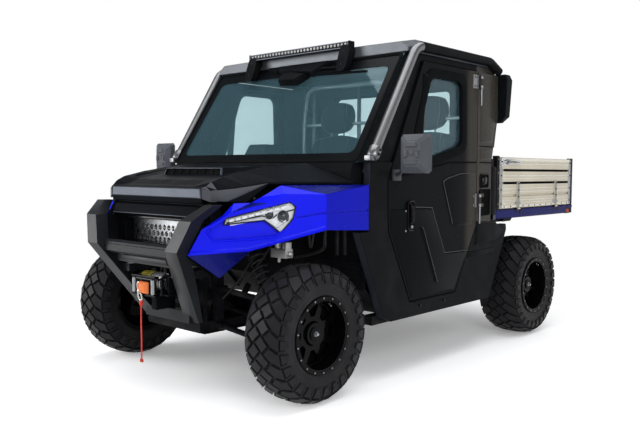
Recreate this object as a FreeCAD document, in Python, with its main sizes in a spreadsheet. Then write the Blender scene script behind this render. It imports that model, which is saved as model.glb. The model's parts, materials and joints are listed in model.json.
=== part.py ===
"""Utility terrain vehicle with a closed cab and a drop-side bed.

Frame: +X is the vehicle's left, the front faces -Y, +Z is up, and the origin
lies on the ground midway along the vehicle. All sizes are in millimetres.
Each sub-part is an object of the document, bound to the sheet "Dims".
"""

import FreeCAD
import Part
import Sketcher
import math
import os

Vector = FreeCAD.Vector

# Driving sizes: (name, millimetres, or degrees where the name ends in _angle)
SIZES = (
    # Stance and wheels
    ("front_axle", -1210), ("rear_axle", 1005), ("half_track", 740),
    ("tyre_radius", 343), ("front_tyre_width", 229), ("rear_tyre_width", 279),
    ("tyre_wall", 16), ("tread_depth", 26), ("rim_radius", 178), ("rim_flange", 14),
    ("rim_wall", 6), ("bead_inset", 25), ("ring_inset", 9), ("ring_depth", 10),
    ("dish_depth", 78), ("disc_thick", 12), ("hub_radius", 62), ("spindle_radius", 33.6),
    ("running_gap", 0.3), ("seat_gap", 0.3), ("panel_gap", 6), ("spoke_count", 8),
    ("brake_radius", 115), ("brake_thick", 6),
    # Steering and suspension
    ("kingpin_offset", 585), ("steer_arm", 125), ("rod_height", 430), ("rod_radius", 11),
    ("case_z", 395), ("engine_front", 560),
    ("low_joint", 235), ("high_joint", 455), ("arm_tube", 15), ("arm_pivot_x", 251),
    ("low_pivot", 325), ("high_pivot", 520), ("arm_front", -130), ("arm_rear", 200),
    ("shock_low_x", 470), ("shock_top_x", 300), ("shock_top", 830), ("spring_radius", 45),
    ("wheel_lean", 35), ("steering_x", 370), ("steering_y", -370), ("steering_z", 1010),
    ("wheel_ring", 180), ("wheel_grip", 14),
    # Frame
    ("rail_x", 200), ("rail_low", 300), ("rail_size", 50), ("rail_front", -1450),
    ("rail_rear", 1600), ("receiver", 51), ("receiver_wall", 6.5), ("receiver_rear", 1720),
    ("receiver_pin", 8.2), ("bed_rail_x", 320), ("bed_rail_top", 775), ("skid_thick", 6),
    # Cab
    ("side_x", 820), ("side_thick", 44), ("floor_top", 372), ("pan_wall", 14),
    ("firewall_y", -800), ("deck_top", 624), ("deck_front", -180), ("cab_back", 434),
    ("tub_half", 735), ("sill_low", 318), ("waist", 1093), ("door_low", 411),
    ("door_front_low", -448), ("door_front_mid", -655), ("door_front_waist", -663),
    ("door_front_top", -339), ("door_top", 1764), ("door_rear", 262),
    ("door_rear_low", 806), ("door_foot_rear", 21), ("hinge_x", 838), ("hinge_y", 275),
    ("hinge_low", 960), ("hinge_high", 1700), ("hinge_barrel", 9), ("hinge_pin", 4),
    ("pillar_tube", 26), ("pillar_x", 832), ("pillar_foot_y", -817), ("pillar_foot", 1215),
    ("pillar_top_y", -427), ("pillar_top", 1838), ("cage_tube", 22), ("cage_x", 690),
    ("cage_y", 390), ("roof_low", 1806), ("roof_front", -470), ("roof_rear", 515),
    ("roof_crown", 1901), ("wall_thick", 20),
    ("corner_rear", 519), ("corner_low", 800), ("glass", 6), ("screen_half", 775.5),
    # Front
    
    ("hood_rear_top", 1172), ("hood_wall", 14),
    ("fender_x", 815), ("fender_rear", -825), ("fender_crease_y", -1155),
    
    ("fender_wall", 30), ("lamp_depth", 40), ("lamp_gap", 0.3), ("recess", 12), ("groove", 6),
    ("liner_wall", 8), ("screen_foot", 1186), ("hood_pin_y", -905),
    ("hood_pin_z", 1150),
    ("mesh_half", 318), ("mesh_low", 758), ("mesh_high", 884), 
    # Bed
    ("bed_front", 560), ("bed_rear", 1764), ("bed_half", 800), ("bed_floor", 892),
    ("bed_thick", 26), ("gate_top", 1240), ("gate_thick", 28), ("headboard_front", 515),
    ("post_size", 34), ("bed_hinge_y", 1620), ("bed_hinge_z", 775), ("bed_pin", 12),
    ("strut_x", 200), ("strut_y", 1420), ("strut_z", 520), ("strut_eye_y", 1300),
    ("strut_eye_z", 800), ("gate_pin_out", 7), ("gate_pin_z", 889),
    ("strut_radius", 18), ("strut_rod", 7), ("strut_barrel", 222),
)

DOC = FreeCAD.newDocument("UtilityTerrainVehicle")
SHEET = DOC.addObject("Spreadsheet::Sheet", "Dims")
NODES = []


class Size(float):
    """A number that remembers the sheet expression it came from."""

    def __new__(cls, number, expression=None):
        size = super().__new__(cls, number)
        size.expression = expression or f"({float(number):.6g})"
        return size

    def join(self, sign, other, number, swapped=False):
        """Return the size that results from one operation."""
        other = other if isinstance(other, Size) else Size(other)
        first, last = (other, self) if swapped else (self, other)
        return Size(number, f"({first.expression} {sign} {last.expression})")

    def __add__(self, other):
        return self.join("+", other, float(self) + float(other))

    def __radd__(self, other):
        return self.join("+", other, float(other) + float(self), True)

    def __sub__(self, other):
        return self.join("-", other, float(self) - float(other))

    def __rsub__(self, other):
        return self.join("-", other, float(other) - float(self), True)

    def __mul__(self, other):
        return self.join("*", other, float(self) * float(other))

    def __rmul__(self, other):
        return self.join("*", other, float(other) * float(self), True)

    def __truediv__(self, other):
        return self.join("/", other, float(self) / float(other))

    def __neg__(self):
        return Size(-float(self), f"(-1 * {self.expression})")


class Dims:
    """The sheet's sizes by name."""

    def __init__(self, rows):
        for row, (name, number) in enumerate(rows, start=1):
            SHEET.set(f"A{row}", name)
            SHEET.set(f"B{row}", str(number))
            SHEET.setAlias(f"B{row}", name)
            setattr(self, name, Size(number, f"Dims.{name}"))
        DOC.recompute()


D = Dims(SIZES)


# ---------------------------------------------------------------- helpers
def bind(thing, field, size):
    """Bind one property to the sheet."""
    thing.setExpression(field, (size if isinstance(size, Size) else Size(size)).expression)


def node(thing, label):
    """Name a finished sub-part; its label names its file."""
    thing.Label = label
    NODES.append(thing)
    return thing


VIEWS = {  # view: (origin plane, sign of the offset along its axis, pad is reversed)
    "side": ("YZ_Plane", 1, False),
    "front": ("XZ_Plane", -1, True),
    "top": ("XY_Plane", 1, False),
}


def origin_part(body, role):
    return next(part for part in body.Origin.OriginFeatures if part.Role == role)


def open_sketch(body, view, start):
    """Attach a sketch to the body's own origin plane, at start along its axis."""
    role, sign, _ = VIEWS[view]
    sketch = body.newObject("Sketcher::SketchObject", body.Name + "_sketch")
    sketch.AttachmentSupport = [(origin_part(body, role), "")]
    sketch.MapMode = "FlatFace"
    bind(sketch, "AttachmentOffset.Base.z", sign * start)
    return sketch


def polygon(sketch, points):
    """Draw a closed outline whose corners are bound to the sheet."""
    first = sketch.GeometryCount
    count = len(points)
    corners = [Vector(float(across), float(up), 0) for across, up in points]
    for index in range(count):
        sketch.addGeometry(Part.LineSegment(corners[index], corners[(index + 1) % count]))
    for index, (across, up) in enumerate(points):
        follower = first + (index + 1) % count
        sketch.addConstraint(Sketcher.Constraint("Coincident", first + index, 2, follower, 1))
        for kind, size in (("DistanceX", across), ("DistanceY", up)):
            rule = Sketcher.Constraint(kind, -1, 1, first + index, 1, float(size))
            bind(sketch, f"Constraints[{sketch.addConstraint(rule)}]", size)


def circle(sketch, across, up, radius):
    """Draw a circle whose centre and radius are bound to the sheet."""
    shape = Part.Circle(Vector(float(across), float(up), 0), Vector(0, 0, 1), float(radius))
    index = sketch.addGeometry(shape)
    for kind, size in (("DistanceX", across), ("DistanceY", up)):
        rule = Sketcher.Constraint(kind, -1, 1, index, 3, float(size))
        bind(sketch, f"Constraints[{sketch.addConstraint(rule)}]", size)
    rule = Sketcher.Constraint("Radius", index, float(radius))
    bind(sketch, f"Constraints[{sketch.addConstraint(rule)}]", radius)


def feature(body, kind, sketch, depth, reverse):
    part = body.newObject(f"PartDesign::{kind}", f"{body.Name}_{kind.lower()}")
    part.Profile = sketch
    bind(part, "Length", depth)
    part.Reversed = reverse
    return part


def new_body(name):
    return DOC.addObject("PartDesign::Body", name)


def pad(body, view, points, start, depth):
    """Add an outline from start over depth, towards the plus side of its axis."""
    sketch = open_sketch(body, view, start)
    polygon(sketch, points)
    return feature(body, "Pad", sketch, depth, VIEWS[view][2])


def pocket(body, view, points, start, depth):
    """Cut an outline from start over depth, and check that it cuts."""
    return cut_sketch(body, view, start, depth, lambda sketch: polygon(sketch, points))


def cut_sketch(body, view, start, depth, draw):
    DOC.recompute()
    before = body.Shape.Volume
    sketch = open_sketch(body, view, start)
    draw(sketch)
    part = feature(body, "Pocket", sketch, depth, not VIEWS[view][2])
    DOC.recompute()
    if body.Shape.Volume >= before:
        raise ValueError(f"{body.Name}: a pocket cuts nothing")
    return part


def plate(name, view, points, start, depth):
    """A body with one padded outline."""
    body = new_body(name)
    pad(body, view, points, start, depth)
    return body


def rectangle(low, high):
    return [(low[0], low[1]), (high[0], low[1]), (high[0], high[1]), (low[0], high[1])]


def box(name, low, high):
    """A block between two corners."""
    block = DOC.addObject("Part::Box", name)
    for field, axis, first, last in zip(("Length", "Width", "Height"), "xyz", low, high):
        bind(block, field, last - first if isinstance(last, Size) else Size(last) - first)
        bind(block, f"Placement.Base.{axis}", first)
    return block


def rod(name, start, end, radius):
    """A round bar between two points; its radius is bound and its ends follow the sheet."""
    run = Vector(*end) - Vector(*start)
    bar = DOC.addObject("Part::Cylinder", name)
    bind(bar, "Radius", radius)
    bar.Height = run.Length
    turn = FreeCAD.Rotation(Vector(0, 0, 1), run)
    bar.Placement = FreeCAD.Placement(Vector(*start), turn)
    return bar


def fuse(name, parts):
    joined = DOC.addObject("Part::MultiFuse", name)
    joined.Shapes = parts
    joined.Refine = True
    return joined


def cut(name, base, tool):
    remains = DOC.addObject("Part::Cut", name)
    remains.Base = base
    remains.Tool = tool
    return remains


def group(name, parts):
    """Like pieces that share a sub-part and don't touch."""
    gathered = DOC.addObject("Part::Compound", name)
    gathered.Links = parts
    return gathered


def mirrored(name, source):
    """The same piece on the other side of the vehicle."""
    image = DOC.addObject("Part::Mirroring", name)
    image.Source = source
    image.Normal = Vector(1, 0, 0)
    return image


def pair(name, source):
    return group(name, [source, mirrored(name + "_right", source)])


def shaped(name, shape):
    """A sub-part whose shape is worked out from the sheet in code."""
    part = DOC.addObject("Part::Feature", name)
    part.Shape = shape
    return part


def face(points):
    corners = [Vector(*point) for point in points]
    return Part.Face(Part.makePolygon(corners + corners[:1]))


def ring_solid(rings):
    """A faceted solid through rings of corners, closed at both ends."""
    faces = []
    for ring, following in zip(rings, rings[1:]):
        count = len(ring)
        for index in range(count):
            after = (index + 1) % count
            faces.append(face([ring[index], ring[after], following[after]]))
            faces.append(face([ring[index], following[after], following[index]]))
    for ring in (rings[0], rings[-1]):
        faces.append(face(ring))
    solid = Part.Solid(Part.makeShell(faces))
    if solid.Volume < 0:
        solid.reverse()
    return solid.removeSplitter()


def shell_solid(corners, panels):
    """A folded sheet: panels name their corners, each (outer point, inner point)."""
    faces = []
    edges = set()
    for panel in panels:
        faces.append(face([corners[name][0] for name in panel]))
        faces.append(face([corners[name][1] for name in reversed(panel)]))
        edges.update(zip(panel, panel[1:] + panel[:1]))
    for start, end in edges:
        if (end, start) in edges:
            continue
        faces.append(face([corners[end][0], corners[start][0], corners[start][1]]))
        faces.append(face([corners[end][0], corners[start][1], corners[end][1]]))
    solid = Part.Solid(Part.makeShell(faces))
    if solid.Volume < 0:
        solid.reverse()
    return solid.removeSplitter()


def pipe_shape(points, radius, bend):
    """A tube along straight runs joined by tangent arcs."""
    corners = [Vector(*point) for point in points]
    edges = []
    here = corners[0]
    for before, corner, after in zip(corners, corners[1:], corners[2:]):
        arrive = (corner - before).normalize()
        leave = (after - corner).normalize()
        turn = arrive.getAngle(leave)
        back = bend * math.tan(turn / 2)
        start = corner - arrive * back
        end = corner + leave * back
        inward = (leave - arrive).normalize()
        middle = corner + inward * (bend / math.cos(turn / 2) - bend)
        edges.append(Part.LineSegment(here, start).toShape())
        edges.append(Part.Arc(start, middle, end).toShape())
        here = end
    edges.append(Part.LineSegment(here, corners[-1]).toShape())
    spine = Part.Wire(edges)
    section = Part.Wire(Part.Circle(corners[0], corners[1] - corners[0], radius).toShape())
    return spine.makePipeShell([section], True, False)


def turned(name, profile):
    """A body turned about the X axis from an outline of (along X, radius)."""
    body = new_body(name)
    sketch = open_sketch(body, "front", Size(0))
    polygon(sketch, profile)
    part = body.newObject("PartDesign::Revolution", name + "_turn")
    part.Profile = sketch
    part.ReferenceAxis = (origin_part(body, "X_Axis"), [""])
    part.Angle = 360
    return body


def bar_shape(start, end, radius):
    run = Vector(*end) - Vector(*start)
    return Part.makeCylinder(radius, run.Length, Vector(*start), run)


def joined_shape(shapes):
    whole = shapes[0]
    for other in shapes[1:]:
        whole = whole.fuse(other)
    return whole.removeSplitter()


def both_sides(shape):
    """A shape and its mirror image, as one compound."""
    return Part.Compound([shape, shape.mirror(Vector(0, 0, 0), Vector(1, 0, 0))])


# ---------------------------------------------------------------- wheels
def tyre(name, width, side, axle):
    """Tyre turned from its cross-section: bead, wall, shoulder and tread."""
    half = width / 2
    bead = D.rim_radius + D.running_gap
    bead_out = half - D.bead_inset - D.running_gap
    top = D.tyre_radius
    outer = [  # (from the middle, radius)
        (bead_out, bead), (bead_out, bead + D.rim_flange + 2), (half - 5, bead + 40),
        (half, bead + 80), (half - 4, top - 40), (half - 16, top - 12), (half - 36, top),
    ]
    inner = [
        (half - 40, top - D.tread_depth), (half - D.tyre_wall, top - 52),
        (half - D.tyre_wall, bead + 60), (bead_out - D.tyre_wall, bead),
    ]
    profile = outer + [(-across, up) for across, up in reversed(outer)]
    profile += [(-across, up) for across, up in reversed(inner)] + inner
    body = turned(name, profile)
    place_wheel(body, side, axle)
    return node(body, name)


def rim(name, width, side, axle):
    """Deep-dish rim with its bead ring, spokes, brake disc and hub bore."""
    half = width / 2
    bead = half - D.bead_inset
    ring = half - D.ring_inset
    seat = D.rim_radius
    lip = seat + D.rim_flange
    disc = half - D.dish_depth
    well = seat - 18
    wall = D.rim_wall
    profile = [
        (-bead - wall, lip), (-bead, lip), (-bead, seat), (34 - bead, seat),
        (50 - bead, well), (bead - 50, well), (bead - 34, seat), (bead, seat), (bead, lip),
        (ring, lip), (ring, seat - D.ring_depth), (ring - wall, seat - D.ring_depth),
        (disc, well - wall), (disc, D.hub_radius), (disc + 14, D.hub_radius - 8),
        (disc + 14, D.spindle_radius + D.running_gap),
        (disc - D.disc_thick - 10, D.spindle_radius + D.running_gap),
        (disc - D.disc_thick - 10, D.hub_radius), (disc - D.disc_thick, D.hub_radius + 8),
        (disc - D.disc_thick, well - wall), (50 - bead, well - wall),
        (34 - bead, seat - wall), (-bead - wall, seat - wall),
    ]
    body = turned(name + "_shell", profile)
    window = [
        (14, D.hub_radius + 22), (40, well - 26), (34, well - 12), (-34, well - 12),
        (-40, well - 26), (-14, D.hub_radius + 22),
    ]
    spokes = pocket(body, "side", window, disc - D.disc_thick - 6, D.disc_thick + 12)
    ring_of = body.newObject("PartDesign::PolarPattern", name + "_spokes")
    ring_of.Originals = [spokes]
    ring_of.Axis = (origin_part(body, "X_Axis"), [""])
    bind(ring_of, "Occurrences", D.spoke_count)
    body.Tip = ring_of
    place_wheel(body, side, axle)
    brake_in = disc - D.disc_thick - 10
    bell = [
        (brake_in, D.spindle_radius + 8), (brake_in, D.hub_radius), (-20, D.hub_radius),
        (-20, D.brake_radius), (-20 - D.brake_thick, D.brake_radius),
        (-20 - D.brake_thick, D.hub_radius - 6), (brake_in - 6, D.hub_radius - 6),
        (brake_in - 6, D.spindle_radius + 8),
    ]
    brake = turned(name + "_brake", bell)
    place_wheel(brake, side, axle)
    return node(fuse(name + "_set", [body, brake]), name)


def place_wheel(body, side, axle):
    """Put a body turned about X at its wheel's centre, outer face outwards."""
    spin = FreeCAD.Rotation(Vector(0, 0, 1), 0 if side > 0 else 180)
    body.Placement = FreeCAD.Placement(Vector(0, 0, 0), spin)
    bind(body, "Placement.Base.x", side * D.half_track)
    bind(body, "Placement.Base.y", axle)
    bind(body, "Placement.Base.z", D.tyre_radius)


WHEELS = (  # (name, width, side, axle)
    ("front_left", D.front_tyre_width, 1, D.front_axle),
    ("front_right", D.front_tyre_width, -1, D.front_axle),
    ("rear_left", D.rear_tyre_width, 1, D.rear_axle),
    ("rear_right", D.rear_tyre_width, -1, D.rear_axle),
)


def build_wheels():
    for name, width, side, axle in WHEELS:
        tyre(name + "_tyre", width, side, axle)
        rim(name + "_rim", width, side, axle)


# ---------------------------------------------------------------- running gear
def hub_shape(axle, half_width, steered):
    """Upright of one left wheel: boss, spindle, ball studs and brake caliper."""
    king = D.kingpin_offset
    centre = D.tyre_radius
    tip = D.half_track + half_width - D.dish_depth + 20
    shapes = [
        bar_shape((king - 20, axle, centre), (king + 47, axle, centre), 58),
        bar_shape((king + 47, axle, centre), (tip, axle, centre), D.spindle_radius),
    ]
    for joint, reach in ((D.low_joint, 1), (D.high_joint, -1)):
        lug_end = joint + reach * 15
        lug_root = centre - reach * 48
        low = min(lug_end, lug_root)
        lug = Part.makeBox(28, 44, abs(lug_root - lug_end), Vector(king - 14, axle - 22, low))
        shapes.append(lug)
        shapes.append(bar_shape((king, axle, lug_end), (king, axle, joint - reach * 11), 8))
    arm_back = D.brake_radius + 20
    disc_x = D.half_track - 20 - D.brake_thick / 2
    bridge = D.brake_radius + 6
    plate_x = king + 47
    caliper = [
        Part.makeBox(12, arm_back - 40, 60, Vector(plate_x, axle + 40, centre - 30)),
        Part.makeBox(disc_x + 22 - plate_x, arm_back - bridge, 60,
                     Vector(plate_x, axle + bridge, centre - 30)),
    ]
    for pad_x in (disc_x - 22, disc_x + 8):
        pad_box = Part.makeBox(14, arm_back - 84, 60, Vector(pad_x, axle + 84, centre - 30))
        caliper.append(pad_box)
    shapes += caliper
    if steered:
        reach = D.steer_arm
        plate_top = D.rod_height - D.rod_radius - 6
        arm = Part.makeBox(28, reach - 10, 13, Vector(king - 14, axle + 10, plate_top - 13))
        end = Part.makeCylinder(17, 13, Vector(king, axle + reach, plate_top - 13))
        shapes += [arm, end]
    whole = joined_shape(shapes)
    socket = bar_shape((king - 30, axle, centre), (king + 35, axle, centre), 44)
    return whole.cut(socket)


def build_knuckles():
    left = shaped("knuckle", hub_shape(D.front_axle, D.front_tyre_width / 2, True))
    node(left, "left_knuckle")
    node(mirrored("right_knuckle_image", left), "right_knuckle")


def arm_shape(axle, inner_z, joint_z):
    """One A-arm of the left side: eye, two legs, cross tube and pivot barrels."""
    king = D.kingpin_offset
    tube = D.arm_tube
    eye = Part.makeCylinder(22, 20, Vector(king, axle, joint_z - 10))
    shapes = [eye]
    root = (king - 14, axle, joint_z)
    for reach in (D.arm_front, D.arm_rear):
        inner = (D.arm_pivot_x, axle + reach, inner_z)
        shapes.append(bar_shape(root, inner, tube))
        shapes.append(bar_shape((inner[0], inner[1] - 25, inner_z),
                                (inner[0], inner[1] + 25, inner_z), 18))
    share = (king - D.shock_low_x) / (king - D.arm_pivot_x)
    level = joint_z + (inner_z - joint_z) * share
    shapes.append(bar_shape((D.shock_low_x, axle + D.arm_front * share, level),
                            (D.shock_low_x, axle + D.arm_rear * share, level), 12))
    whole = joined_shape(shapes)
    bore = Part.makeCylinder(8.3, 60, Vector(king, axle, joint_z - 30))
    clear = Part.makeCylinder(27.5, 20, Vector(king, axle, joint_z + 10))
    under = Part.makeCylinder(27.5, 20, Vector(king, axle, joint_z - 30))
    return whole.cut(bore).cut(clear).cut(under)


def build_suspension():
    arms = []
    hubs = []
    for axle in (D.front_axle, D.rear_axle):
        arms.append(arm_shape(axle, D.low_pivot, D.low_joint))
        arms.append(arm_shape(axle, D.high_pivot, D.high_joint))
    hubs.append(hub_shape(D.rear_axle, D.rear_tyre_width / 2, False))
    pieces = [both_sides(shape) for shape in arms + hubs]
    node(shaped("arms", Part.Compound(pieces)), "suspension_arms")
    shocks = [both_sides(shock_shape(axle, top - 30)) for _, axle, top in TOWERS]
    node(shaped("shocks", Part.Compound(shocks)), "shock_absorbers")


TOWERS = (  # (name, axle, top of the tower)
    ("front", D.front_axle, D.shock_top + 30),
    ("rear", D.rear_axle, D.bed_rail_top - 30),
)


def shock_shape(axle, top):
    """Coil-over damper between the upper arm's cross tube and its tower."""
    share = (D.kingpin_offset - D.shock_low_x) / (D.kingpin_offset - D.arm_pivot_x)
    level = D.high_joint + (D.high_pivot - D.high_joint) * share
    low = Vector(D.shock_low_x, axle, level)
    high = Vector(D.shock_top_x, axle, top)
    run = high - low
    way = Vector(run).normalize()
    eye_gap = 12 + D.seat_gap
    eyes = []
    for centre in (low, high):
        eye = Part.makeCylinder(20, 30, centre - Vector(0, 15, 0), Vector(0, 1, 0))
        eyes.append(eye.cut(Part.makeCylinder(eye_gap, 30, centre - Vector(0, 15, 0),
                                              Vector(0, 1, 0))))
    body = Part.makeCylinder(24, run.Length * 0.42, low + way * 18, way)
    stem = Part.makeCylinder(9, run.Length - 36, low + way * 18, way)
    coils = 7
    first = 50
    pitch = (run.Length - 2 * first) / coils
    profile = [Vector(0, 0, first)]
    for turn in range(coils):
        start = first + turn * pitch
        profile.append(Vector(D.spring_radius, 0, start))
        profile.append(Vector(D.spring_radius, 0, start + pitch * 0.5))
        profile.append(Vector(D.spring_radius - 9, 0, start + pitch * 0.75))
    profile.append(Vector(0, 0, first + coils * pitch))
    outline = Part.Face(Part.makePolygon(profile + profile[:1]))
    spring = outline.revolve(Vector(0, 0, 0), Vector(0, 0, 1), 360)
    turn_to = FreeCAD.Rotation(Vector(0, 0, 1), way)
    spring.Placement = FreeCAD.Placement(low, turn_to)
    return joined_shape([body, stem, spring] + eyes)


def build_driveline():
    """Front and rear gearcases, half shafts to the hubs and the propeller shaft."""
    cases = []
    shafts = []
    centre = D.case_z
    nose_z = centre - 18
    half_gap = D.rail_x - D.rail_size / 2
    for axle, inward in ((D.front_axle, 1), (D.rear_axle, -1)):
        case = bar_shape((-95, axle, centre), (95, axle, centre), 78)
        nose = bar_shape((0, axle, nose_z), (0, axle + inward * 110, nose_z), 24)
        lug = Part.makeBox(2 * half_gap, 28, 55, Vector(-half_gap, axle - 84, D.rail_low + 30))
        cases.append(joined_shape([case, nose, lug]))
        start = Vector(104, axle, centre)
        end = Vector(D.kingpin_offset, axle, D.tyre_radius)
        way = (end - start).normalize()
        shaft = bar_shape(start, end, 13)
        inner = Part.makeCone(36, 20, 72, start, way)
        outer = Part.makeCone(20, 30, 70, end - way * 135, way)
        joint = Part.makeSphere(26, end)
        stub = bar_shape((95, axle, centre), (106, axle, centre), 18)
        shafts.append(both_sides(joined_shape([stub, shaft, inner, outer, joint])))
    dip = D.rail_low + 28
    knee = D.front_axle + 510
    prop = joined_group([
        bar_shape((0, D.front_axle + 110, nose_z), (0, D.front_axle + 140, nose_z), 20),
        Part.makeSphere(20, Vector(0, D.front_axle + 140, nose_z)),
        bar_shape((0, D.front_axle + 140, nose_z), (0, knee, dip), 20),
        Part.makeSphere(20, Vector(0, knee, dip)),
        bar_shape((0, knee, dip), (0, D.engine_front, dip), 20),
    ])
    front_case, rear_case = cases
    front = joined_group([front_case, shafts[0], prop])
    rear = joined_group([rear_case, shafts[1]])
    node(shaped("drive", Part.Compound([front, rear])), "drive_line")


def build_engine():
    half = D.rail_x - D.rail_size / 2
    rear = D.rear_axle - 110
    node(box("engine", (-half, D.engine_front, D.rail_low + 2),
             (half, rear, D.rail_low + 380)), "engine_block")
    body = shaped("muffler_can", joined_shape([
        bar_shape((-260, 1330, 560), (120, 1330, 560), 85),
        bar_shape((-120, 1330, 560), (-120, 1590, 540), 24),
        bar_shape((-60, 1330, 600), (-60, rear, 600), 24),
    ]))
    node(body, "muffler")


def build_steering():
    rack_y = D.front_axle + D.steer_arm
    level = D.rod_height
    housing = bar_shape((-D.rail_x - 10, rack_y, level), (D.rail_x + 10, rack_y, level), 26)
    top = D.rail_low + D.rail_size
    feet = [Part.makeBox(30, 40, level - top, Vector(side * D.rail_x - 15, rack_y - 20, top))
            for side in (-1, 1)]
    pinion = bar_shape((D.steering_x / 3, rack_y, level), (D.steering_x / 3, rack_y + 45,
                                                           level + 70), 18)
    bore = bar_shape((-300, rack_y, level), (300, rack_y, level), D.rod_radius + 0.5)
    rack = joined_shape([housing, pinion] + feet).cut(bore)
    node(shaped("rack", rack), "steering_rack")
    reach = D.kingpin_offset
    bar = bar_shape((-reach, rack_y, level), (reach, rack_y, level), D.rod_radius)
    ends = [Part.makeCylinder(17, 2 * D.rod_radius, Vector(side * reach, rack_y,
                                                           level - D.rod_radius))
            for side in (-1, 1)]
    node(shaped("rods", joined_shape([bar] + ends)), "tie_rods")
    node(shaped("wheel_and_column", steering_wheel_shape()), "steering_wheel")


def column_axis():
    """Centre of the steering wheel and the direction from the dash to the driver."""
    centre = Vector(D.steering_x, D.steering_y, D.steering_z)
    lean = math.radians(D.wheel_lean)
    return centre, Vector(0, math.cos(lean), math.sin(lean))


def steering_wheel_shape():
    centre, way = column_axis()
    ring = Part.makeTorus(D.wheel_ring, D.wheel_grip, Vector(0, 0, 0), Vector(0, 0, 1))
    hub = Part.makeCylinder(42, 36, Vector(0, 0, -30))
    spokes = []
    for angle in (0, 180, 270):
        spoke = Part.makeBox(D.wheel_ring - 20, 34, 10, Vector(10, -17, -12))
        spoke.rotate(Vector(0, 0, 0), Vector(0, 0, 1), angle)
        spokes.append(spoke)
    stem = Part.makeCylinder(12, 190, Vector(0, 0, -200))
    whole = joined_shape([ring, hub, stem] + spokes)
    whole.Placement = FreeCAD.Placement(centre, FreeCAD.Rotation(Vector(0, 0, 1), way))
    return whole


# ---------------------------------------------------------------- frame
def build_frame():
    """Ladder frame with side rails, subframes, bed rails and the bed's hinge ears."""
    size = D.rail_size
    low = D.rail_low
    top = low + size
    ladder = []
    side_rails = []
    towers = []
    bed = []

    def bar(parts, name, start, end):
        parts.append(box("frame_" + name, [Size(v) if not isinstance(v, Size) else v
                                           for v in start], end))

    def two_bars(parts, name, start, end):
        bar(parts, name + "_left", start, end)
        parts.append(mirrored("frame_" + name + "_right", parts[-1]))

    front = D.rail_front
    two_bars(ladder, "rail", (D.rail_x - size / 2, front, low), (D.rail_x + size / 2, D.rail_rear, top))
    bar(ladder, "front_cross", (-D.rail_x - 25, front - 20, low), (D.rail_x + 25, front + 10, top))
    bar(ladder, "rear_cross", (-D.rail_x, D.rail_rear - 30, low), (D.rail_x, D.rail_rear, top))
    bar(ladder, "mid_cross", (-D.rail_x, 1160, low), (D.rail_x, 1190, low + 20))
    hoop = []
    two_bars(hoop, "front_post", (185, front, top), (225, front + 30, 985))
    bar(hoop, "front_top", (-185, front, 950), (185, front + 30, 980))
    two_bars(hoop, "fascia_bracket", (185, -1500, 930), (225, front, 960))
    two_bars(side_rails, "side_rail", (716, -740, low + 8), (776, 430, top + 8))
    for name, across in (("front", -730), ("middle", -200), ("rear", 390)):
        two_bars(side_rails, "outrigger_" + name, (D.rail_x + size / 2, across, low + 8),
                 (716, across + 40, low + 38))
    for end, axle, tower in TOWERS:
        bars = []
        for name, reach in (("fore", D.arm_front), ("aft", D.arm_rear)):
            two_bars(bars, f"{end}_{name}_post", (D.rail_x + 5, axle + reach - 25, top),
                     (D.rail_x + 33, axle + reach + 25, tower))
            for parts, level in ((ladder, D.low_pivot), (bars, D.high_pivot)):
                for edge in (-31, 25):
                    ear = f"{end}_{name}_{'low' if parts is ladder else 'high'}_{edge + 31}"
                    two_bars(parts, ear, (D.rail_x + 5, axle + reach + edge, level - 16),
                             (D.arm_pivot_x + 8, axle + reach + edge + 6, level + 16))
        two_bars(bars, f"{end}_beam", (D.rail_x + 5, axle + D.arm_front - 20, tower - 30),
                 (D.rail_x + 33, axle + D.arm_rear + 20, tower))
        shock_z = tower - 30
        two_bars(bars, f"{end}_shock_arm", (D.rail_x + 33, axle - 27, shock_z - 22),
                 (D.shock_top_x + 22, axle - 15, shock_z + 22))
        two_bars(bars, f"{end}_shock_arm_aft", (D.rail_x + 33, axle + 15, shock_z - 22),
                 (D.shock_top_x + 22, axle + 27, shock_z + 22))
        bar(bars, f"{end}_tie", (-D.rail_x - 5, axle + D.arm_rear - 15, tower - 30),
            (D.rail_x + 5, axle + D.arm_rear + 15, tower))
        towers.append(fuse(end + "_tower", bars))
    bed_low = D.bed_rail_top - 30
    two_bars(bed, "bed_rail", (D.bed_rail_x - 20, 560, bed_low),
             (D.bed_rail_x + 20, D.bed_hinge_y - 35, D.bed_rail_top))
    for name, across in (("front", 600), ("rear", 1540)):
        two_bars(bed, "bed_post_" + name, (D.rail_x - 15, across, top),
                 (D.rail_x + 15, across + 30, bed_low))
        two_bars(bed, "bed_arm_" + name, (D.rail_x - 15, across, bed_low - 1),
                 (D.bed_rail_x + 20, across + 30, bed_low + 20))
    bar(bed, "bed_cross", (-D.bed_rail_x, 1540, bed_low), (D.bed_rail_x, 1570, bed_low + 25))
    bed.append(shaped("hinge_ears", hinge_ears()))
    ladder.append(shaped("strut_clevis", strut_clevis()))
    ladder.append(box("skid", (-D.rail_x - 40, front, low - D.skid_thick),
                      (D.rail_x + 40, D.rear_axle + 150, low)))
    node(fuse("ladder", ladder), "chassis_frame")
    node(fuse("side_rail_set", side_rails), "side_rails")
    node(group("subframe_set", [fuse("front_hoop", hoop)] + towers), "subframes")
    node(fuse("bed_frame", bed), "bed_subframe")


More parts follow.
